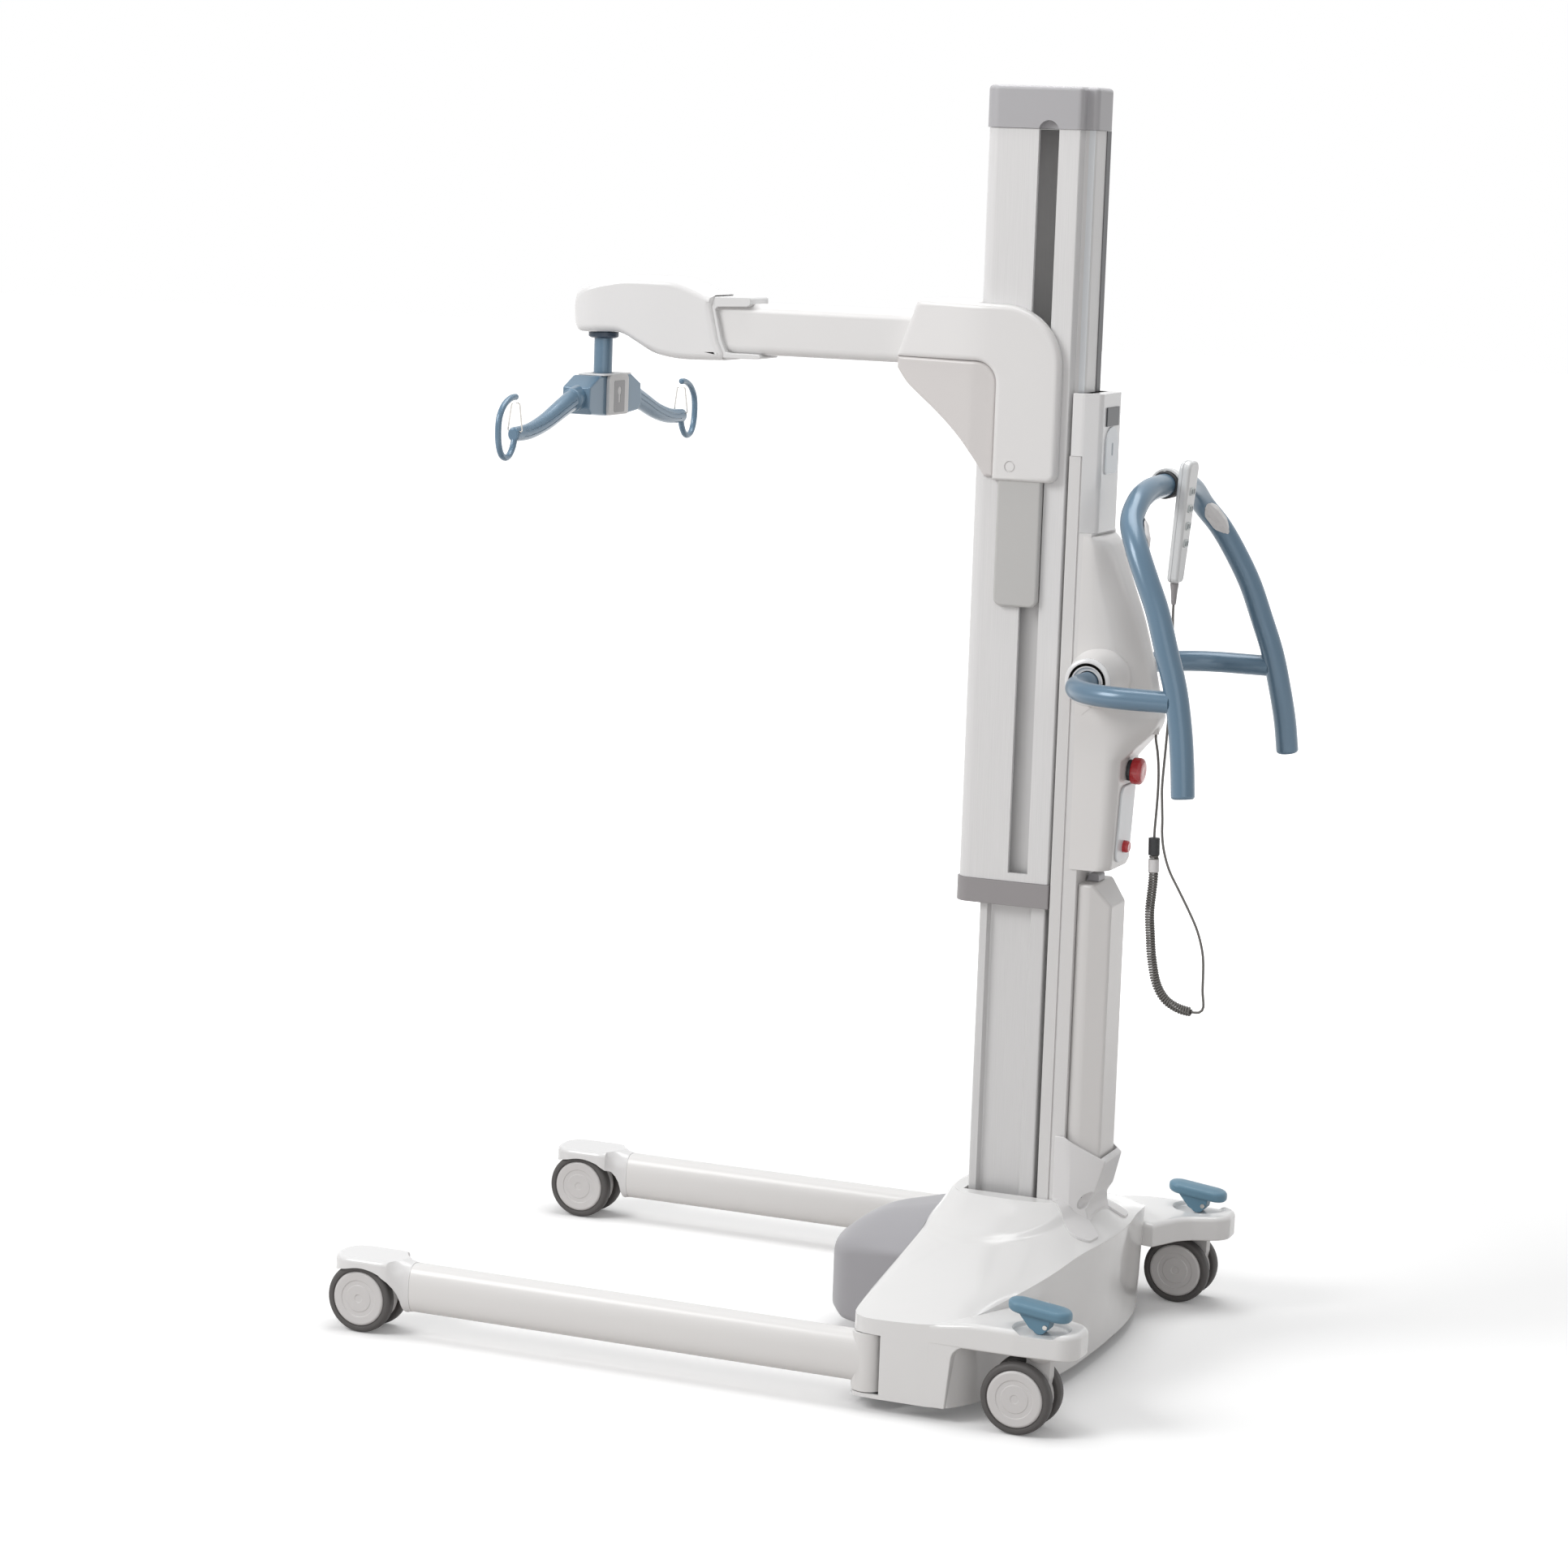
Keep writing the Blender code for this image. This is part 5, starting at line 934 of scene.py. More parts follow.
def coverSections(values, inset=0.0, drop=0.0, rows=None):
    # the cover's outlines: skirt, crease and the sloping top with its low oval pad round the mast's foot
    step, middle = values["rows"] // rows if rows else 1, values["middle"]
    crease = evenly(finer([Vector(point) for point in coverCrease], 8), values["around"])
    low = polarRow(coverLow, middle)
    tops = [(z, polarRow(half, middle)) for z, half in coverTop]
    padMiddle, padWide, padLong, power = values["pad"]
    columns, polar = [], []
    for point in crease:
        x, y = max(point.x, 0.0), point.y - middle
        angle, reach = math.atan2(x, -y), math.hypot(x, y)
        nodes = [Vector((reach, point.z, 0))]
        for z, row in tops:
            radius = radiusAt(row, angle)
            if z > point.z + .004 and radius < nodes[-1].x - .003:
                nodes.append(Vector((radius, z, 0)))
        slope = evenly(finer(nodes, 8), values["rows"])
        bottom = radiusAt(low, angle)
        skirt = [Vector((bottom, .020, 0)), Vector(((bottom + reach) / 2, (.020 + point.z) / 2, 0))]
        polar.append((angle, skirt + slope))
    for turn in range(values["fairing"]):  # waves between the given outlines are evened out
        before = [[p.copy() for p in row] for angle, row in polar]
        for index, (angle, row) in enumerate(polar):
            left, right = before[max(index - 1, 0)], before[min(index + 1, len(before) - 1)]
            for spot in range(3, len(row) - 1):
                mean = (left[spot] + right[spot] + before[index][spot - 1] + before[index][spot + 1]) / 4
                row[spot] = before[index][spot].lerp(mean, .6)
    for angle, row in polar:
        column = []
        for radius, z in [(p.x, p.y) for p in row[:2] + row[2::step]]:
            radius = max(radius - inset, 0)
            u, v = radius * math.sin(angle), middle - radius * math.cos(angle)
            far = (abs(u / padWide) ** power + abs((v - padMiddle) / padLong) ** power) ** (1 / power)
            rise = values["padRise"] * (.5 - smoothStep(.955, 1.045, far)) if z > .025 and not inset else 0
            column.append(Vector((u, v + mastY,
                                  z - drop - (.020 if inset and z < .021 else 0) + rise * (z > .13))))
        columns.append(column)
    sections = []
    for index in range(len(columns[0])):
        half = [column[index] for column in columns]
        half[0].x = half[-1].x = 0.0
        sections.append(half + [Vector((-p.x, p.y, p.z)) for p in reversed(half[1:-1])])
    return sections


def wingCorners(side):
    corners = ((.250, .060), (.3912, .012), (.3925, .150), (.386, .236), (.320, .238), (.290, .178),
               (.230, .150))
    radii = (0, 0, .060, .030, .030, .050, 0)
    return [(side * x, y + mastY, r) for (x, y), r in zip(corners, radii)]


def beamCorners(side, grow):
    inner = [(.060 - grow, .0960 + grow), (.285 - grow, .0980 + grow), (.325 - grow, .1700),
             (.335 - grow, .2100 + grow)]
    outer = [(.376 + grow, .2100 + grow), (.378 + grow, .1500), (.345 + grow, .1050), (.3000, .0680 - grow),
             (.060 - grow, .0650 - grow)]
    return [(side * x, y + mastY, 0) for x, y in inner + outer]


def makeWing(side, values):
    low, high = values["wingZ"]
    wing = block("wing", wingCorners(side), "Z", values["wingZ"], 14)
    softenRims(wing, "Z", (low,), .0030, 3)
    softenRims(wing, "Z", (high,), .0075, 5)
    openMesh(wing)
    for y in (.030, .045, .060, .075, .090, .105):
        bpy.ops.mesh.select_all(action="SELECT")
        bpy.ops.mesh.bisect(plane_co=(0, y + mastY, 0), plane_no=(0, 1, 0))
    closeMesh()
    for vert in wing.data.vertices:  # the wing leaves the cover's crease without a step
        vert.co.z -= (.0085 * (1 - smoothStep(.012, .105, vert.co.y - mastY))
                      * smoothStep(low, high, vert.co.z))
    return wing


def makeCover(values):
    sections = coverSections(values)
    cover = skin("baseCover", sections)
    creasePoints = {tuple(round(value, 4) for value in point) for point in sections[2]}

    def onCrease(edge):
        return all(tuple(round(value, 4) for value in vert.co) in creasePoints for vert in edge.verts)

    openMesh(cover)
    pick(cover, "EDGE", onCrease)
    bpy.ops.mesh.bevel(offset=values["crease"], segments=4, profile=0.5, clamp_overlap=True)
    topPoints = {tuple(round(value, 4) for value in point) for point in sections[-1]}
    pick(cover, "EDGE", lambda edge: all(tuple(round(v, 4) for v in vert.co) in topPoints
                                         for vert in edge.verts))
    bpy.ops.mesh.bevel(offset=values["topRim"], segments=4, profile=0.5, clamp_overlap=True)
    closeMesh()
    for side in (1, -1):
        arch = block("wheelArch", [(.0200 + mastY, .0200, 0), (.0570 + mastY, .0200, .002),
                                   (.0655 + mastY, .1090, .020), (.1150 + mastY, .1090, 0),
                                   (.1150 + mastY, .1300, 0), (.0200 + mastY, .1300, 0)], "X",
                     sorted((side * .3600, side * .3908)), 8)
        softenRims(arch, "X", (side * .3908,), .0022, 3)
        weld(cover, makeWing(side, values), arch)
    carve(cover, skin("coverHollow", coverSections(values, values["wall"], values["wall"] + .001, 10)))
    wheelX, wheelY, trail, _ = casterPlaces["rear_left"]
    for side in (1, -1):
        x, y = side * wheelX, wheelY + trail + mastY
        wide, floor = values["dish"]
        lip = values["wingZ"][1]
        dish = turned("pedalDish", rounded([(0, floor, 0), (wide - .0020, floor, .0020),
                                            (wide, lip - .0022, .0012),
                                            (wide + .0022, lip + .0001, .0004),
                                            (wide + .0022, .2, 0), (0, .2, 0)], 4),
                      (x, y, 0), (0, 0, 1), 72)
        mouth = box("legMouth", sorted((side * .3420, side * .4200)), (-.1200 + mastY, -.0380 + mastY),
                    (.0253, .1092))
        room = box("clevisRoom", sorted((side * .3200, side * .3795)), (-.0785 + mastY, -.0360 + mastY),
                   (0, .1166))
        beamRoom = block("beamRoom", beamCorners(side, .0008), "Z", (.0982, .1283))
        carve(cover, dish, mouth, room, beamRoom)
    carve(cover, box("mastHole", (-.0545, .0545), (-.0470 + mastY, .1015 + mastY), (.10, .30)))
    settle(cover, "glossShell", "base", "base_cover", 34)


def makeDriveHousing():
    front = -.088 - fit
    stations = ((front, .152, .158, .122, .1775, .2085), (-.1300, .135, .152, .112, .1680, .1980),
                (-.1775, .112, .143, .100, .1560, .1860), (-.2109, .094, .135, .084, .1470, .1682),
                (-.2325, .070, .127, .062, .1380, .1500), (-.2441, .046, .118, .040, .1290, .1395),
                (-.2490, .024, .106, .020, .1160, .1240))
    rows = finer([Vector((y, half, sideTop)) for y, half, sideTop, *_ in stations], 5)
    tops = finer([Vector((shoulder, shoulderZ, crown)) for *_, shoulder, shoulderZ, crown in stations], 5)
    sections = []
    for (y, half, sideTop), (shoulder, shoulderZ, crown) in zip(rows, tops):
        low = .031 + .007 * clamped((-.212 - y) / .020)
        bend = min(.012, half * .25)
        right = [(half, low, bend), (half, sideTop, bend * .7), (shoulder, shoulderZ, bend * .9),
                 (shoulder * .72, shoulderZ + (crown - shoulderZ) * .52, bend * 1.5),
                 (shoulder * .36, shoulderZ + (crown - shoulderZ) * .90, bend * 1.5)]
        outline = rounded(right + [(-u, v, b) for u, v, b in reversed(right)], 5)
        sections.append([Vector((u, y + mastY, v)) for u, v in outline])
    housing = skin("driveHousing", sections)
    settle(housing, "grey", "base", "front_cover", 40)


legValues = {
    "half": (.0225, .0350), "z": .0710, "endY": -.7550, "pivot": (.368, -.0625), "barrel": .0230,
    "barrelZ": (.0268, .1082), "sides": 56,
}


def legOval():
    wide, tall = legValues["half"]
    angles = [2 * math.pi * k / legValues["sides"] for k in range(legValues["sides"])]
    return [(wide * math.copysign(abs(math.cos(a)) ** .72, math.cos(a)),
             tall * math.copysign(abs(math.sin(a)) ** .80, math.sin(a))) for a in angles]


def makeLeg(side, values):
    word = sideWords[side]
    x, pivotY = side * values["pivot"][0], values["pivot"][1] + mastY
    oval = legOval()
    stretch = [pivotY - .004 + (values["endY"] + mastY - pivotY + .004) * t / 8 for t in range(9)]
    leg = skin("leg_" + word, [[Vector((x + u, y, values["z"] + v)) for u, v in oval] for y in stretch])
    low, high = values["barrelZ"]
    r = values["barrel"]
    weld(leg, turned("legBarrel", rounded([(0, low, 0), (r, low, .0012), (r, high, .0012), (0, high, 0)], 3),
                     (x, pivotY, 0), (0, 0, 1), 64))
    carve(leg, turned("legBore", [(0, 0), (.0083, 0), (.0083, .15), (0, .15)], (x, pivotY, 0), (0, 0, 1),
                      32))
    settle(leg, "whiteCoat", word + "_leg", "leg_" + word, 30)


castingValues = {
    "half": .0385, "neck": .0232, "z": (.0300, .1105), "wideY": -.7900, "tipY": -.8780, "roof": .1036,
    "rim": .0075, "clearance": .0022,
}


def sweptRoom(x, swivelY, trail, clearance, roof):  # the room that a caster needs to turn round in
    points = []
    for step in range(13):
        z = -.01 + (roof - .0036 + .01) * step / 12
        rise = z - wheelRadius
        chord = math.sqrt(max(wheelRadius ** 2 - rise ** 2, 0.0)) if rise > 0 else wheelRadius
        points.append((math.hypot(chord + trail, .0310) + clearance, z))
    profile = [(0, points[0][1])] + points + [(points[-1][0], roof), (0, roof)]
    return turned("casterRoom", profile, (x, swivelY, 0), (0, 0, 1), 72)


def makeCasting(side, values):
    word = sideWords[side]
    wheelX, wheelY, trail, _ = casterPlaces["front_left"]
    x, wheelX = side * legValues["pivot"][0], side * wheelX
    endY, wideY, tip = legValues["endY"] - fit + mastY, values["wideY"] + mastY, values["tipY"] + mastY
    half, neck = values["half"], values["neck"]
    plan = [(x - neck, endY, 0), (x + neck, endY, 0), (wheelX + half, wideY, .03),
            (wheelX + half, tip, .034), (wheelX - half, tip, .034), (wheelX - half, wideY, .03)]
    casting = block("legEndCasting_" + word, plan, "Z", values["z"], 14)
    softenRims(casting, "Z", values["z"], values["rim"], 5)
    stretch = [(endY + .002, .0002), (endY - .003, .0006), (endY - .012, .0030), (endY - .022, .0085),
               (endY - .030, .0170)]
    wide, tall = legValues["half"]
    neckForm = skin("neckForm",
                    [[Vector((x + u * (1 + grow / wide), y, legValues["z"] + v * (1 + grow / tall)))
                      for u, v in legOval()] for y, grow in stretch])
    surplus = box("surplus", (x - .06, x + .06), (endY - .0299, endY + .01), (.0, .14))
    carve(surplus, neckForm)
    carve(casting, surplus)
    carve(casting, sweptRoom(wheelX, wheelY + trail + mastY, trail, values["clearance"], values["roof"]))
    settle(casting, "whiteShell", word + "_leg", "leg_end_casting_" + word, 34)


makeCover(coverValues)
makeDriveHousing()
for side in (1, -1):
    makeLeg(side, legValues)
    makeCasting(side, castingValues)
print("base and legs: made")

# the mast: upper profile with its caps, lower profile, rear column and control head
mastValues = {
    "stageZ": (.6853, 1.7272), "lip": .0025, "topZ": 1.7850, "bottomZ": .6510, "slotY": (-.002, .027),
    "slotZ": (.697, 1.750), "columnZ": (.1103, 1.2800), "rearZ": (.1103, 1.2850), "edge": .0007,
    "capHalf": [(.0545, -.0815, .0215), (.0545, .0600, .0075), (.0345, .0605, .0010),
                (.0335, .0760, .0090)],
    "shadeStrip": [(-.0300, .0742, 0), (-.0120, .0742, 0), (-.0120, .0752, .0004), (-.0300, .0752, .0004)],
    "rearHalf": [(.0365, .0840, .0004), (.0365, .0620, .0004), (.0535, .0620, .0018),
                 (.0535, .0788, .0002), (.0513, .0794, 0), (.0513, .0806, 0), (.0535, .0812, .0002),
                 (.0535, .1000, .0010)],
}


def stageCorners(grow=0.0):
    return moved(bothSides([(.0520 + grow, -.0790 - grow, .0190 + grow), (.0520 + grow, .0575 + grow, .0022),
                            (.0325 + grow, .0585 + grow, .0010), (.0315 + grow, .0740 + grow, .0050)]))


def columnCorners(grow=0.0):
    high, low = .0430 + grow, .0330 + grow
    return moved(bothSides([(high, -.0450 - grow, .0040), (high, -.0330, .0008), (low, -.0300, .0024),
                            (low, .0290, .0024), (high, .0320, .0008), (high, .0530 + grow, .0030)]))


def breakEdges(piece, width, segments=2, degrees=38):
    return useModifier(piece, "BEVEL", width=width, segments=segments, limit_method="ANGLE",
                       angle_limit=math.radians(degrees), use_clamp_overlap=True, harden_normals=False)


def makeMast(values):
    stage = block("upperMast", stageCorners(), "Z", values["stageZ"], 8)
    carve(stage, box("cavity", (-.0455, .0455), (-.0500 + mastY, .0550 + mastY), (.6, 1.8)),
          box("chamber", (-.0400, .0400), (-.0720 + mastY, -.0560 + mastY), (.6, 1.8)))
    slotY = [y + mastY for y in values["slotY"]]
    for side in (1, -1):
        carve(stage, box("slot", sorted((side * .0415, side * .0600)), slotY, values["slotZ"]))
    breakEdges(stage, values["edge"])
    settle(stage, "stagePaint", "mast_stage", "mast_upper_profile", 30)
    low, high = values["stageZ"]
    # a dark strip on the far third of the mast's rear face: painted shade, standing in for the dark
    # reflection along the rear edge
    shadeStrip = block("mastPaintedShade", moved(values["shadeStrip"]), "Z", (low + .002, high), 3)
    settle(shadeStrip, "darkSteelAndPaintedShade", "mast_stage")
    # thin light bluish bands on the sides of the mast's rear nose: a painted highlight, standing in for light
    # reflected there
    for side in (1, -1):
        highlightBand = block("mastPaintedHighlight", moved([(side * .0312, .0640, 0), (side * .0326, .0640, 0),
                                          (side * .0324, .0725, .0004), (side * .0312, .0725, 0)]), "Z",
                      (low + .002, high), 3)
        settle(highlightBand, "coolWhite", "mast_stage")

    top = pillow("mastTopCap", corners(moved(bothSides(values["capHalf"])), 8), "Z",
                 (values["stageZ"][1] + fit - .0060, values["topZ"]), .0060, 6)
    carve(top, box("capFoot", (-.2, .2), (-.2 + mastY, .2 + mastY), (1.6, values["stageZ"][1] + fit)))
    middle = sum(slotY) / 2
    for side in (1, -1):
        carve(top, turned("capNotch", [(0, 0), (.0145, 0), (.0145, .0300), (0, .0300)],
                          (side * .0420, middle, values["stageZ"][1] - .0030), (side, 0, 0), 48))
    breakEdges(top, .0006, 2, 50)
    settle(top, "capGrey", "mast_stage", "mast_top_cap", 34)

    bottom = block("mastBottomCap", stageCorners(values["lip"]), "Z",
                   (values["bottomZ"], values["stageZ"][0] - fit), 8)
    openMesh(bottom)
    pick(bottom, "EDGE", lambda edge: all(abs(vert.co.z - values["bottomZ"]) < .00001
                                          for vert in edge.verts))
    bpy.ops.mesh.bevel(offset=.0030, segments=4, profile=0.5, clamp_overlap=True)
    closeMesh()
    carve(bottom, block("capOpening", columnCorners(.0012), "Z", (.6, .7), 5))
    settle(bottom, "capGreyDark", "mast_stage", "mast_bottom_cap", 34)

    column = block("lowerMast", columnCorners(), "Z", values["columnZ"], 6)
    settle(column, "anodised", "base", "mast_lower_profile", 30)


def makeRearColumn(values):
    column = block("rearColumn", moved(bothSides(values["rearHalf"])), "Z", values["rearZ"], 4)
    carve(column, box("headRoom", (-.1, .1), (.0809 + mastY, .2 + mastY), (1.1800, 2.0)))
    settle(column, "paleCoat", "base", "rear_column", 28)


headValues = {
    "z": (1.1803, 1.3710), "rim": .0055, "windowZ": (1.3260, 1.3520), "panelZ": (1.2600, 1.3250),
    "face": .1040,
    "half": [(.0365, .0845, 0), (.0365, .0640, .0004), (.0545, .0640, .0020), (.0545, .0800, .0100),
             (.0420, .1040, .0100)],
}


def makeControlHead(values):
    head = block("controlHead", moved(bothSides(values["half"])), "Z", values["z"], 10)
    openMesh(head)
    pick(head, "EDGE", lambda edge: all(abs(vert.co.z - values["z"][1]) < .00001 for vert in edge.verts))
    bpy.ops.mesh.bevel(offset=values["rim"], segments=5, profile=0.5, clamp_overlap=True)
    closeMesh()
    face = values["face"] + mastY
    low, high = values["windowZ"]
    carve(head, box("prongRoom", (-.1, .1), (.05 + mastY, .0812 + mastY), (1.0, 1.2853)),
          block("panelBed", oblong(.0285, 1.2575, high + .0025, .004), "Y", (face - .0010, face + .01), 6),
          block("panelSlot", oblong(.0140, 1.2170, 1.2420, .0025), "Y", (face - .0060, face + .01), 5))
    breakEdges(head, .0005, 2, 50)
    settle(head, "whiteShell", "base", "control_head", 34)

    panel = block("displayPanel", oblong(.0260, values["panelZ"][0], values["panelZ"][1], .006, .0250),
                  "Y", (face + fit, face + .0024), 14)
    softenRims(panel, "Y", (face + .0024,), .0012, 4)
    settle(panel, "coolWhite", "base", "display_panel", 34)
    window = block("displayWindow", oblong(.0260, low, high, .0012), "Y", (face + fit, face + .0020), 4)
    softenRims(window, "Y", (face + .0020,), .0005, 3)
    settle(window, "darkGloss", "base", "display_window", 34)
    mark = block("panelKey", oblong(.0030, 1.2850, 1.3030, .0028), "Y", (face + .0020, face + .0026), 8)
    softenRims(mark, "Y", (face + .0026,), .0002, 2)
    settle(mark, "keyInk", "base")


makeMast(mastValues)
makeRearColumn(mastValues)
makeControlHead(headValues)
print("mast and rear column: made")

# control housing, battery and shoe
# height, half-width, flat half, rear, where the corner starts
housingLevels = ((.7120, .0555, .0300, .1433, .1250), (.7200, .0555, .0360, .1458, .1280),
                 (.8660, .0555, .0380, .1527, .1320), (.8800, .0560, .0300, .1655, .1320),
                 (.9050, .0585, .0180, .1880, .1300), (.9250, .0610, .0120, .1965, .1220),
                 (.9400, .0615, .0120, .1920, .1180), (.9900, .0615, .0120, .1800, .1120),
                 (1.0600, .0605, .0120, .1600, .1060), (1.1100, .0590, .0140, .1400, .1020),
                 (1.1550, .0580, .0160, .1230, .1000), (1.1690, .0570, .0160, .1150, .0975),
                 (1.1760, .0560, .0160, .1060, .0950))
housingValues = {
    "steps": 5, "corner": 12, "front": .0890, "hub": handleValues["hub"], "hubEnd": .102,
    "fascia": ((-.0300, .0300), (.0015, .1100), .0140, .0026),
}


def housingOutline(half, flat, rear, corner, values):
    right = [(0, rear), (flat * .6, rear), (flat, rear)]
    for step in range(1, values["corner"]):
        a = math.radians(90 - 90 * step / values["corner"])
        right.append((flat + (half - flat) * math.cos(a), corner + (rear - corner) * math.sin(a)))
    right += [(half, corner), (half, (corner + values["front"]) / 2), (half, values["front"]),
              (0, values["front"])]
    return [(u, v) for u, v in right] + [(-u, v) for u, v in reversed(right[1:-1])]


def makeHousing(values):
    steps = values["steps"]
    low = [Vector(level[:3]) for level in housingLevels]
    high = [Vector((level[3], level[4], 0)) for level in housingLevels]
    lows = low[:2] + finer(low[2:], steps)
    highs = high[:2] + finer(high[2:], steps)
    sections = []
    for (z, half, flat), (rear, corner, spare) in zip(lows, highs):
        outline = housingOutline(half, flat, rear, corner, values)
        sections.append([Vector((u, v + mastY, z)) for u, v in outline])
    housing = skin("controlHousing", sections)
    y, z = values["hub"][0] + mastY, values["hub"][1]
    for side in (1, -1):
        boss = turned("hubBoss", rounded([(0, .020, 0), (.0440, .020, 0), (.0440, .0560, .004),
                                          (.0372, .0700, .008), (.0340, .0880, .012),
                                          (.0330, values["hubEnd"], .0006), (0, values["hubEnd"], 0)], 6),
                      (0, y, z), (side, 0, 0), 72)
        weld(housing, boss)
    weld(housing, turned("cordGland", rounded([(0, .9030, 0), (.0042, .9030, .0010), (.0045, .9100, .001),
                                               (.0045, .9400, 0), (0, .9400, 0)], 3),
                         (0, .1890 + mastY, 0), (0, 0, 1), 32))
    carve(housing, turned("hubBore", [(0, -.2), (.0166, -.2), (.0166, .2), (0, .2)],
                          (0, y, z), (1, 0, 0), 48),
          box("columnFace", (-.0538, .0538), (mastY, .1003 + mastY), (.5, 1.5)))
    for side in (1, -1):
        seam = [(.0850 + mastY, .7042, 0), (.0850 + mastY, .7053, 0), (.1700 + mastY, .7753, 0),
                (.1700 + mastY, .7742, 0)]
        carve(housing, block("housingSeam", seam, "X", sorted((side * .0548, side * .0700))))
        groove = [(.0995 + mastY, .9300, 0), (.1003 + mastY, .9300, 0), (.1140 + mastY, .9420, 0),
                  (.1140 + mastY, .9432, 0)]
        carve(housing, block("coverSeam", groove, "X", sorted((side * .0608, side * .0700))))
    for height, radius, depth in ((buttonValues["stopZ"], .0083, .0048),
                                  (buttonValues["loweringZ"], .0088, .0038)):
        foot, normal = onRearFace(height)
        carve(housing, turned("buttonBore", [(0, -depth), (radius, -depth), (radius, .0100), (0, .0100)],
                              foot, normal, 40))
    settle(housing, "shellSide", "base", "control_housing", 36)

    (left, right), (lowEnd, highEnd), corner, thick = values["fascia"]
    fascia = block("rearFascia", [(left, lowEnd, corner), (right, lowEnd, corner), (right, highEnd, corner),
                                  (left, highEnd, corner)], "Y", (0, thick), 12)
    softenRims(fascia, "Y", (thick,), .0012, 4)
    foot, normal = onRearFace(rearFace[0][1], fit)
    lean = math.atan2(-normal.z, normal.y)
    fascia.data.transform(Matrix.Translation(foot) @ Matrix.Rotation(-lean, 4, "X"))
    foot, normal = onRearFace(buttonValues["loweringZ"])
    carve(fascia, turned("fasciaBore", [(0, -.0040), (.0088, -.0040), (.0088, .0100), (0, .0100)],
                         foot, normal, 40))
    # the fascia is a real plate, but its paler, cooler finish than the housing is partly painted light, for
    # the rear face catching more light
    settle(fascia, "coolWhite", "base", "rear_fascia", 34)


batteryValues = {"half": .0470, "y": (.1003, .1460), "z": (.2440, .6900), "split": .1180, "narrow": .0150}


def makeBattery(values):
    low, high = values["z"]
    front, rear = (y + mastY for y in values["y"])
    side = [(front, low, 0), (front + .0230, low, .004), (rear, low + .0540, .010),
            (rear, high - .030, .006), (front + .022, high, .006), (front, high, 0)]
    pack = block("batteryPack", side, "X", (-values["half"], values["half"]), 6)
    softenRims(pack, "X", (-values["half"], values["half"]), .0045, 4)
    split = values["split"] + mastY

    def widthAt(y, z):
        return values["half"] - values["narrow"] * clamped((y - split) / .0280)

    widen(pack, (split,), widthAt, values["half"])
    bed = block("latchBed", oblong(.0170, high - .0300, high + .02, .004, 0), "Y",
                (front + .0190, rear + .01), 6)
    carve(pack, bed)
    breakEdges(pack, .0006, 2, 50)
    settle(pack, "shellSide", "base", "battery_pack", 34)
    latch = block("batteryLatch", [(.1020 + mastY, high + fit, .001), (.1200 + mastY, high + fit, .001),
                                   (.1200 + mastY, high + .0120, .005), (.1060 + mastY, high + .0120, .004)],
                  "X", (-.0140, .0140), 6)
    softenRims(latch, "X", (-.0140, .0140), .0025, 4)
    settle(latch, "grey", "battery_latch", "battery_latch", 34)


shoeValues = {
    "half": .0590, "rim": .0042, "skin": .0034,
    "lobes": [(.0590, .0880, 0), (.1010, .1330, .016), (.0890, .1550, .012), (.0590, .1600, .012),
              (.0440, .1380, .008)],
    "scoop": [(0, -.0200), (.0100, -.0173), (.0173, -.0100), (.0200, 0), (.0173, .0100), (.0100, .0173),
              (0, .0200)],
    "scoopAt": (.0490, .1365, .2425), "scoopLean": 40, "scoopScale": (.45, 1.02, .46, 1),
}


def shoeWidth(y, z):
    return shoeValues["half"] - .0220 * clamped((y - mastY - .1120) / .0445)


def makeShoe(values):
    low = batteryValues["z"][0]
    half = values["half"]
    side = [(.0870, .1500, 0), (.0870, .3310, .002), (.1000, .3310, .006), (.1565, .2970, .003),
            (.1440, .2500, .010), (.1330, .2320, .020), (.1390, .2120, .020), (.1500, .1930, .010),
            (.1500, .1500, 0)]
    shoe = block("mastShoe", movedY(side), "X", (-half, half), 10)
    softenRims(shoe, "X", (-half, half), values["rim"], 5)
    widen(shoe, (.1120 + mastY,), shoeWidth, half)
    foot = skin("shoeFoot", [[point + Vector((0, 0, values["skin"])) for point in section]
                             for section in coverSections(coverValues, rows=20)])
    plan = block("shoeFootPlan", moved(bothSides(values["lobes"])), "Z", (.1, .3), 10)
    useModifier(foot, "BOOLEAN", operation="INTERSECT", solver="EXACT", object=plan)
    bpy.data.objects.remove(plan)
    weld(shoe, foot)
    pocket = [(.0950, low - fit, 0), (.1265, low - fit, 0), (.1495, low + .0540, .002), (.1495, .4, 0),
              (.0950, .4, 0)]
    room = block("batteryPocket", movedY(pocket), "X", (-half, half), 5)
    widen(room, (.1120 + mastY,), lambda y, z: shoeWidth(y, z) - .0030, half)
    cover = skin("coverBelow", [[point + Vector((0, 0, fit)) for point in section]
                                for section in coverSections(coverValues, rows=20)])
    carve(shoe, box("columnRoom", (-.0538, .0538), (mastY, .1003 + mastY), (0, .5)), room, cover)
    (x, y, z), lean = values["scoopAt"], math.radians(values["scoopLean"])
    for side in (1, -1):  # the hollow beside each lobe
        scoop = turned("shoeScoop", values["scoop"], (0, 0, 0), (1, 0, 0), 40)
        scoop.data.transform(Matrix.Translation((side * x, y + mastY, z)) @ Matrix.Rotation(lean, 4, "X")
                             @ Matrix.Diagonal(values["scoopScale"]))
        carve(shoe, scoop)
    settle(shoe, "paleShell", "base", "foot_shroud", 34)


makeHousing(housingValues)
makeBattery(batteryValues)
makeShoe(shoeValues)
print("housing, battery and shoe: made")

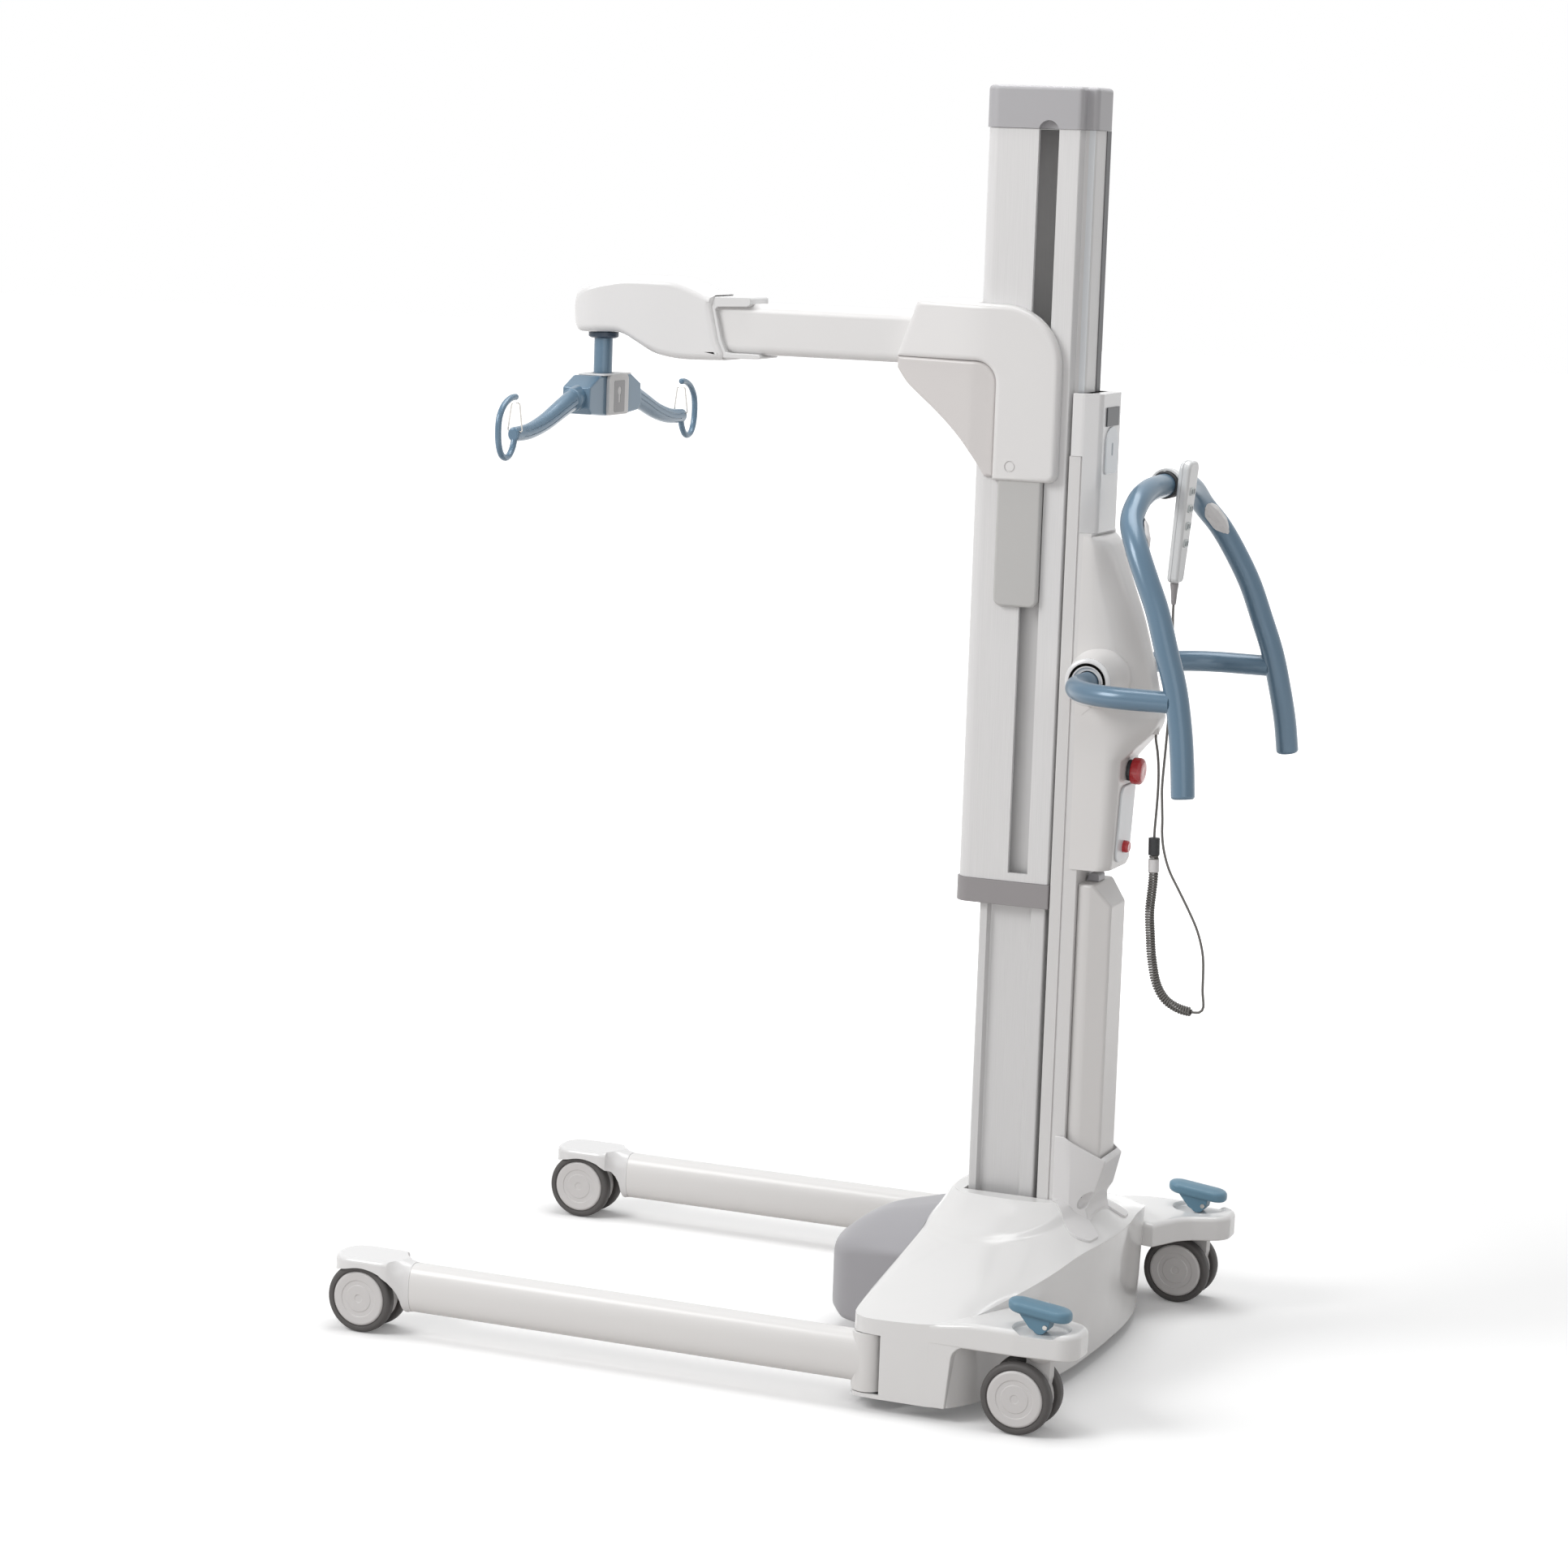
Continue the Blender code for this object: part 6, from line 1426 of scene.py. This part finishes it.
# the arm: tube, carriage, elbow, gusset, and the head with its liner
armValues = {
    "half": .0250, "z": (1.3975, 1.4697), "cheek": .0680, "carriage": .0605, "front": .0370,
    "postY": -.6720, "channel": .0529, "tongueLow": 1.0720,
    "plates": [(-.0930, 1.4200, 0), (-.0420, 1.4200, 0), (-.0420, 1.2550, 0), (.0400, 1.2550, 0),
               (.0400, 1.4300, 0), (.0060, 1.4600, 0), (-.0930, 1.4600, 0)],
    "elbow": [(-.2035, 1.4085, 0), (-.0460, 1.4085, .030), (-.0460, 1.2460, 0), (.0470, 1.2460, .012),
              (.0470, 1.4870, .085), (-.1725, 1.4885, .012)],
    "gussetCurve": [(-.2032, 1.3920), (-.1900, 1.3750), (-.1779, 1.3644), (-.1433, 1.3386),
                    (-.1150, 1.3150), (-.0928, 1.2928), (-.0740, 1.2700), (-.0600, 1.2500)],
    "gussetNose": .034,
}


def mastChannel():
    half = armValues["channel"]
    return box("mastChannel", (-half, half), (-.0799 + mastY, .2 + mastY), (.9, 1.6))


def tubeRoom(grow, ends):
    half, (low, high) = armValues["half"] + grow, armValues["z"]
    low, high, r = low - grow, high + grow, .014 + grow
    return block("tubeRoom", oblong(half, low, high, r), "Y", (ends[0] + mastY, ends[1] + mastY), 6)


def armWidth(y, z):
    t = clamped((y - mastY + .2050) / .125, 1.2)
    t = t if t < .8 else t - (t - .8) ** 2 / .8
    return armValues["front"] + (armValues["cheek"] - armValues["front"]) * t


def makeArm(values):
    tubePiece = tubeRoom(0, (values["postY"] + .100, -.0935))
    tubePiece.name = "armTube"
    settle(tubePiece, "armCoat", "lifting_arm", "arm_tube", 30)

    carriage = block("armCarriage", movedY(values["plates"]), "X", (-values["carriage"], values["carriage"]))
    low = values["tongueLow"]
    tongue = pillow("carriageTongue", corners(movedY([(-.0380, 1.3000, 0), (-.0380, low, .011),
                                                      (.0260, low, .011), (.0260, 1.3000, 0)])), "X",
                    (-.0620, .0620), .0040, 5)
    weld(carriage, tongue)
    carve(carriage, mastChannel())
    for side in (1, -1):
        weld(carriage, box("slotRunner", sorted((side * .0385, side * .0559)),
                           (-.0005 + mastY, .0255 + mastY), (1.1000, 1.4300)))
    settle(carriage, "tongueCoat", "lifting_arm", "arm_carriage", 30)

    view = movedY(values["elbow"])
    cheek = values["cheek"]
    elbow = pillow("elbowCover", corners(view, 10), "X", (-cheek, cheek), .0080, 6)
    widen(elbow, [y / 1000 + mastY for y in range(-200, -54, 9)], armWidth, cheek)
    grown = [(y + mastY, z, 0) for y, z in ((-.0933, 1.4197), (-.0423, 1.4197), (-.0423, 1.2547),
                                            (.0403, 1.2547), (.0403, 1.4303), (.0063, 1.4603),
                                            (-.0933, 1.4603))]
    room = values["carriage"] + fit
    carve(elbow, mastChannel(), block("carriageRoom", grown, "X", (-room, room)),
          box("tongueRoom", (-.0623, .0623), (-.0383 + mastY, .0263 + mastY), (1.2, 1.3003)),
          tubeRoom(fit, (-.7, -.0920)),
          turned("plugRing", [(.0062, .0665), (.0080, .0665), (.0080, .0720), (.0062, .0720)],
                 (0, -.0187 + mastY, 1.2662), (1, 0, 0), 40))
    settle(elbow, "elbowShell", "lifting_arm", "elbow_cover", 32)

    web = flatCurve(values["gussetCurve"], .008)
    web += [(u, v) for u, v in corners([(-.0463, 1.2500, 0), (-.0463, 1.4082, .0303),
                                        (-.2032, 1.4082, 0)], 8)]

    def gussetWidth(y, z):
        t = clamped((y - mastY + .203) / .120)
        return values["gussetNose"] + (values["carriage"] - values["gussetNose"]) * t

    gusset = pillow("armGusset", movedY(web), "X", (-values["carriage"], values["carriage"]), .0050, 5)
    widen(gusset, [y / 1000 + mastY for y in range(-200, -54, 9)], gussetWidth, values["carriage"])
    carve(gusset, mastChannel(), tubeRoom(fit, (-.7, -.0920)))
    settle(gusset, "gussetShell", "lifting_arm", "arm_gusset", 32)


hoodValues = {
    "half": .0420, "rim": .0120, "linerHalf": .0330, "linerEdge": .0015,
    "upper": [(-.0370, 1.4535), (-.0340, 1.4680), (-.0260, 1.4800), (-.0080, 1.4895), (.0220, 1.4970),
              (.0540, 1.5015), (.0970, 1.5010), (.1270, 1.4995), (.1540, 1.4910), (.1730, 1.4835),
              (.1900, 1.4805)],
    "under": [(.2040, 1.3880), (.1670, 1.3868), (.1304, 1.3872), (.0960, 1.3935), (.0670, 1.4080),
              (.0440, 1.4190), (.0220, 1.4205), (-.0210, 1.4187), (-.0310, 1.4240), (-.0360, 1.4350),
              (-.0370, 1.4535)],
    "edge": [(.1850, 1.4640), (.1960, 1.4170), (.2045, 1.3990)],
    "seam": [(.2120, 1.3962), (.1670, 1.3950), (.1304, 1.3954), (.0990, 1.4012), (.0700, 1.4157),
             (.0460, 1.4270), (.0220, 1.4287), (-.0210, 1.4269), (-.0300, 1.4290)],
    "liner": [(.1520, 1.3920, 0), (.2320, 1.3915, 0), (.2590, 1.3925, 0), (.2610, 1.3950, 0),
              (.2560, 1.3990, 0), (.2140, 1.3990, 0), (.2068, 1.4005, 0), (.1995, 1.4175, 0),
              (.1890, 1.4600, 0), (.1925, 1.4632, 0), (.2385, 1.4652, 0), (.2430, 1.4685, 0),
              (.2430, 1.4765, 0), (.2400, 1.4790, 0), (.1520, 1.4770, 0)],
}


def makeHead(values):
    post = values["postY"]
    outline = flatCurve(hoodValues["upper"], .007) + hoodValues["edge"]
    outline += flatCurve(hoodValues["under"], .007)[:-1]
    shift, half = post + mastY, hoodValues["half"]
    hood = pillow("headCover", [(y + shift, z) for y, z in outline], "X", (-half, half),
                  hoodValues["rim"], 7)

    def hoodWidth(y, z):
        nose = clamped((y - shift + .0371) / .046)
        rear = smoothStep(.072, .172, y - shift)
        return half * (.60 + .40 * math.sqrt(max(1 - (1 - nose) ** 2, 0))) - .003 * rear

    widen(hood, [shift + y / 1000 for y in (-35, -32, -28, -23, -17, -10, -3, 5, 20, 45, 72, 90, 105, 120,
                                            135, 155, 172)], hoodWidth, half)
    line = flatCurve(hoodValues["seam"], .010)
    band = [(y + shift, z, 0) for y, z in line] + [(y + shift, z + .0007, 0) for y, z in reversed(line)]
    for side in (1, -1):
        carve(hood, block("headSeam", band, "X", sorted((side * .0374, side * .0600))))
    carve(hood, tubeRoom(fit, (post + .0997, -.3)),
          turned("postBore", [(0, 1.39), (.0138, 1.39), (.0138, 1.4400), (0, 1.4400)],
                 (0, shift, 0), (0, 0, 1), 40),
          box("trimRoom", (-.0333, .0333), (shift + .1517, shift + .272), (1.3912, 1.4793)))
    settle(hood, "headShell", "lifting_arm", "head_cover", 32)

    trim = block("headTrim", [(y + shift, z, r) for y, z, r in hoodValues["liner"]], "X",
                 (-hoodValues["linerHalf"], hoodValues["linerHalf"]))
    breakEdges(trim, hoodValues["linerEdge"], 3, 30)
    carve(trim, tubeRoom(fit, (-.7, -.3)))
    settle(trim, "trimGrey", "lifting_arm", "head_trim", 34)


# the hanger: post, bar with its hub and hooks, gates and hub cover
hangerValues = {
    "post": .0135, "flange": .0215, "hub": .0220, "rod": .0045, "wire": .0011,
    "hubHalf": [(.0320, 1.2990, 0), (.0800, 1.3030, .004), (.0900, 1.3120, .003), (.0880, 1.3420, .003),
                (.0540, 1.3570, .004)],
}


def mirroredPath(side, y, points):
    return [Vector((side * x, y, z)) for x, z in points]


def makeHanger(values):
    y = armValues["postY"] + mastY
    r, flange = values["post"], values["flange"]
    post = turned("hangerPost", rounded([(0, 1.3145, 0), (r - .0065, 1.3155, 0), (r, 1.3190, .004),
                                         (r, 1.4120, .0002), (flange, 1.4120, .0008),
                                         (flange, 1.4178, .0008), (r, 1.4178, .0002), (r, 1.4396, 0),
                                         (0, 1.4396, 0)], 4), (0, y, 0), (0, 0, 1), 48)
    settle(post, "blueCoat", "hanger_swivel", "hanger_post", 34)
    collar = turned("postCollar", rounded([(r + fit, 1.4095, 0), (r + .0045, 1.4095, .0012),
                                           (flange + .0004, 1.4116, .0010),
                                           (flange + .0004, 1.4182, .0006), (r + fit, 1.4182, 0)], 3),
                    (0, y, 0), (0, 0, 1), 48)
    settle(collar, "deepBlue", "hanger_swivel")

    outline = values["hubHalf"] + [(-u, v, bend) for u, v, bend in reversed(values["hubHalf"])]
    hub = block("hangerBar", outline, "Y", (y - values["hub"], y + values["hub"]), 3)
    softenRims(hub, "Y", (y - values["hub"], y + values["hub"]), .0055, 2)
    for side in (1, -1):
        armPath = curveThrough(mirroredPath(side, y, [(.070, 1.3280), (.100, 1.3240), (.140, 1.3120),
                                                      (.190, 1.2960), (.240, 1.2860), (.2890, 1.2840)]),
                               .010)
        bar = tube("hangerArm", armPath, .0120, 24, lambda t: 1.15 - .42 * t, 1.16, .0030)
        collarPath = curveThrough(mirroredPath(side, y, [(.0700, 1.3280), (.0860, 1.3262),
                                                         (.1040, 1.3232)]), .006)
        ring = tube("armCollar", collarPath, .0162, 28, lambda t: 1.06 - .10 * t, 1.08, .0030)
        hookPath = curveThrough(mirroredPath(side, y, [(.2830, 1.2830), (.2880, 1.2680), (.2990, 1.2560),
                                                       (.3120, 1.2530), (.3250, 1.2590), (.3330, 1.2740),
                                                       (.3350, 1.2940), (.3310, 1.3120), (.3170, 1.3270),
                                                       (.2970, 1.3350), (.2800, 1.3360)]), .0040)
        hook = tube("hook", hookPath, values["rod"], 16, None, 1.0, .0030)
        grooves = []
        for face in (1, -1):
            for lift in (.0036, -.0036):
                wide = [.0120 * (1.15 - .42 * (.18 + .74 * step / 8)) for step in range(9)]
                spots = [armPath[round((.18 + .74 * step / 8) * (len(armPath) - 1))] for step in range(9)]
                path = [p + Vector((0, face * (w * .965), lift)) for p, w in zip(spots, wide)]
                grooves.append(tube("armGroove", path, .0009, 8))
        carve(bar, *grooves)
        weld(hub, ring, bar, hook)
        carve(hub, turned("gateBore", [(0, -.03), (.0016, -.03), (.0016, .03), (0, .03)],
                          (side * .2830, y, 1.2880), (0, 1, 0), 20))
    wide, deep = r + .0060, r + .0004
    carve(hub, block("postSocket", oblong(wide, y - deep, y + deep, r), "Z", (1.3125, 1.40), 12))
    settle(hub, "blueCoat", "hanger", "hanger_bar", 36)

    face = y + .0223
    cover = block("hubCover", oblong(.0330, 1.3000, 1.3590, .005, .010), "Y", (face, face + .0052), 8)
    softenRims(cover, "Y", (face + .0052,), .0018, 4)
    keyHole = turned("keyHole", [(0, .0008), (.0062, .0008), (.0062, .010), (0, .010)],
                     (0, face + .0040, 1.3345), (0, 1, 0), 32)
    keySlot = box("keySlot", (-.0030, .0030), (face + .0010, face + .01), (1.3180, 1.3340))
    inlay = block("hubInlay", oblong(.0175, 1.3040, 1.3495, .0028), "Y", (face + .0050, face + .0057), 6)
    carve(inlay, keyHole, keySlot)
    settle(inlay, "panelGrey", "hanger")
    top = block("hubTop", oblong(.0450, y - .0190, face + .0040, .004), "Z", (1.3573, 1.3592), 6)
    softenRims(top, "Z", (1.3592,), .0008, 3)
    carve(top, block("topRoom", oblong(wide, y - deep, y + deep, r), "Z", (1.3125, 1.40), 12))
    weld(cover, top)
    settle(cover, "trimGrey", "hanger", "hub_cover", 34)

    for side in (1, -1):
        word = sideWords[side]
        x = side * .2830
        loop = corners([(-.0112, 1.2880, .0026), (.0112, 1.2880, .0026), (.0060, 1.3275, .0030),
                        (-.0060, 1.3275, .0030)], 6)
        path = [Vector((x - side * .0010 * (v - 1.2880) / .0395, y + u, v)) for u, v in loop]
        sections = []
        count = len(path)
        for index, point in enumerate(path):
            along = (path[(index + 1) % count] - path[index - 1]).normalized()
            out = along.cross(Vector((1, 0, 0))).normalized()
            sections.append([point + (out * math.cos(a) + Vector((1, 0, 0)) * math.sin(a)) * values["wire"]
                             for a in [2 * math.pi * k / 10 for k in range(10)]])
        gate = skin("hookGate_" + word, sections + [sections[0]], False)
        settle(gate, "springSteel", "gate_" + word, "hook_gate_" + word, 60, merge=True)


makeArm(armValues)
makeHead(armValues)
makeHanger(hangerValues)
print("arm and hanger: made")

# the hand control, its keys and strain relief, and the hub rings
handTop = Vector((0, .1880 + .0305, 1.2850))
handLow = Vector((0, .1880 + .0170, 1.1160))
handValues = {
    "keys": (.128, .024), "names": ("raise", "lower", "open_legs", "close_legs"),
    "relief": [(0, 0, 0), (.0030, 0, .0006), (.0036, .004, .001), (.0048, .020, .002),
               (.0060, .028, .001), (.0060, .0300, .0006), (0, .0300, 0)],
}


def makeHandControl(values):
    up = (handTop - handLow).normalized()
    face = Vector((0, up.z, -up.y))
    length = (handTop - handLow).length
    lean = Matrix(((1, 0, 0), (0, face.y, up.y), (0, face.z, up.z)))
    place = Matrix.Translation(handLow + Vector((0, mastY, 0))) @ lean.to_4x4()
    outline = corners([(-.0150, 0, .008), (.0150, 0, .008), (.0195, .080, .04), (.0225, length, .012),
                       (-.0225, length, .012), (-.0195, .080, .04)], 8)
    body = pillow("handControl", outline, "Y", (-.0080, .0085), .0046, 6)
    bed = block("keyBed", oblong(.0125, .0380, .1400, .005), "Y", (.0077, .0120), 6)
    seam = pillow("handSeam", [(u * 1.2, v * 1.1 - .008) for u, v in outline], "Y", (-.0022, -.0016),
                  .0001, 1)
    core = pillow("handCore", [(u * .95, .004 + v * .955) for u, v in outline], "Y", (-.0060, .0060),
                  .0010, 1)
    carve(seam, core)
    carve(body, bed, seam)
    low, step = values["keys"]
    for row in range(len(values["names"])):
        at = low - step * row
        carve(body, block("keyRoom", oblong(.0093, at - .0058, at + .0058, .0038), "Y", (.0059, .0200), 6))
    body.data.transform(place)
    centre = Vector((0, .1880 + mastY, 1.2500))
    inner, outer = .01955, .0229
    arc = [(centre.y + outer * math.cos(a), centre.z + outer * math.sin(a)) for a in turns(-10, 201, 7)]
    arc += [(centre.y + inner * math.cos(a), centre.z + inner * math.sin(a)) for a in turns(200, -11, -7)]
    hook = block("handHook", [(u, v, 0) for u, v in arc], "X", (-.0090, .0090))
    breakEdges(hook, .0008, 2, 50)
    weld(body, hook)
    settle(body, "handShell", "base", "hand_control", 34)
    for row, word in enumerate(values["names"]):
        at = low - step * row
        key = block("key_" + word, oblong(.0090, at - .0055, at + .0055, .0035), "Y", (.0072, .0104), 6)
        softenRims(key, "Y", (.0104,), .0010, 4)
        key.data.transform(place)
        settle(key, "keyGrey", "key_" + word, "hand_control_key_" + word, 34)
        for u in (-.0045, .0045):
            mark = block("keyMark", oblong(.0028, at - .0034, at + .0034, .0014, None, u), "Y",
                         (.0104, .0106), 4)
            mark.data.transform(place)
            settle(mark, "darkInk", "key_" + word)
    relief = turned("strainRelief", rounded(values["relief"], 3),
                    handLow + Vector((0, mastY, -.0306)), (0, 0, 1), 32)
    settle(relief, "capGreyDark", "base", "hand_control_strain_relief", 34)


def makeHubRings():
    y, z = handleValues["hub"]
    for side in (1, -1):
        word = sideWords[side]
        ring = turned("hubRing_" + word, rounded([(.0200, .0000, 0), (.0330, .0000, 0),
                                                  (.0330, .0030, .0010), (.0290, .0062, .0020),
                                                  (.0210, .0062, .0010), (.0200, .0050, .0005)], 4),
                      (side * handleValues["hubFace"], y + mastY, z), (side, 0, 0), 64)
        settle(ring, "shellSide", "base", "hub_ring_" + word, 34)


makeHandControl(handValues)
makeHubRings()
print("hand control: made")

# the CAD nodes that stay in view
carried = {"base_chassis": "darkSteelAndPaintedShade", "handle_pad_left": "paleShell", "handle_pad_right": "paleShell"}
carriedAngle = 30  # degrees, under which two faces are shaded as one
for name, finish in carried.items():
    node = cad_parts[name]
    node.data.materials.clear()
    node.data.materials.append(finishOf(finish))
    makeActive(node)
    bpy.ops.object.shade_smooth_by_angle(angle=math.radians(carriedAngle))
clearSelection()
print("carried nodes: finished")

# studio
studio = {
    "floorSize": 60, "floorColour": (0.97, 0.97, 0.97), "bounceColour": (0.56, 0.535, 0.52),
    "floorGlow": 0.10, "fadeNear": 1.2, "fadeFar": 3.4, "ambient": 0.40,
}


def seenDirectly(nodes, links):  # 1 for a ray from the camera, a reflection or a clear surface, else 0
    path = nodes.new("ShaderNodeLightPath").outputs
    return calc(nodes, links, "MAXIMUM", path["Is Camera Ray"],
                calc(nodes, links, "MAXIMUM", path["Is Glossy Ray"], path["Is Transmission Ray"]))


def makeFloor(values):
    bpy.ops.mesh.primitive_plane_add(size=values["floorSize"])
    floor = bpy.context.object
    floor.name = "studioFloor"
    look = bpy.data.materials.new("studioFloor")
    look.use_nodes = True
    nodes, links = look.node_tree.nodes, look.node_tree.links
    shader, out = nodes["Principled BSDF"], nodes["Material Output"]
    shader.inputs["Roughness"].default_value = 0.9
    shader.inputs["Specular IOR Level"].default_value = 0.0
    glow = nodes.new("ShaderNodeEmission")
    seen = seenDirectly(nodes, links)
    where = nodes.new("ShaderNodeTexCoord").outputs["Object"]
    away = nodes.new("ShaderNodeVectorMath")
    away.operation = "LENGTH"
    links.new(where, away.inputs[0])
    fade = nodes.new("ShaderNodeMapRange")
    fade.interpolation_type = "SMOOTHSTEP"
    for label, value in (("From Min", values["fadeNear"]), ("From Max", values["fadeFar"]),
                         ("To Min", values["floorGlow"]), ("To Max", 1.0)):
        fade.inputs[label].default_value = value
    links.new(away.outputs["Value"], fade.inputs["Value"])
    links.new(blendColour(nodes, links, seen, (*values["bounceColour"], 1), (*values["floorColour"], 1)),
              shader.inputs["Base Color"])
    links.new(calc(nodes, links, "MULTIPLY", fade.outputs[0], seen), glow.inputs["Strength"])
    both = nodes.new("ShaderNodeAddShader")
    links.new(shader.outputs[0], both.inputs[0])
    links.new(glow.outputs[0], both.inputs[1])
    links.new(both.outputs[0], out.inputs["Surface"])
    floor.data.materials.append(look)


def makeWorld(values):
    world = bpy.data.worlds.new("studioAir")
    bpy.context.scene.world = world
    world.use_nodes = True
    nodes, links = world.node_tree.nodes, world.node_tree.links
    ambient = nodes["Background"]
    ambient.inputs["Color"].default_value = (1, 1, 1, 1)
    ambient.inputs["Strength"].default_value = values["ambient"]
    white = nodes.new("ShaderNodeBackground")
    white.inputs["Color"].default_value = (1, 1, 1, 1)
    white.inputs["Strength"].default_value = 1.0
    seen = seenDirectly(nodes, links)
    mix = nodes.new("ShaderNodeMixShader")
    links.new(seen, mix.inputs[0])
    links.new(ambient.outputs[0], mix.inputs[1])
    links.new(white.outputs[0], mix.inputs[2])
    links.new(mix.outputs[0], nodes["World Output"].inputs["Surface"])


lamps = {
    "keyLamp": {"place": (3.0, -2.6, 3.4), "size": 2.0, "power": 112},
    "topLamp": {"place": (-0.4, 0.2, 4.2), "size": 2.4, "power": 76},
    "fillLamp": {"place": (4.6, 2.6, 2.2), "size": 3.0, "power": 28},
}


def makeLamps(values):
    aim = Vector((0, 0.1, 0.8))
    for name, lamp in values.items():
        data = bpy.data.lights.new(name, "AREA")
        data.size = lamp["size"]
        data.energy = lamp["power"]
        thing = bpy.data.objects.new(name, data)
        bpy.context.scene.collection.objects.link(thing)
        thing.location = lamp["place"]
        thing.rotation_mode = "QUATERNION"
        thing.rotation_quaternion = (aim - Vector(lamp["place"])).to_track_quat("-Z", "Y")


makeFloor(studio)
makeWorld(studio)
makeLamps(lamps)
bpy.context.scene.view_settings.view_transform = "Standard"
print("studio: lit")
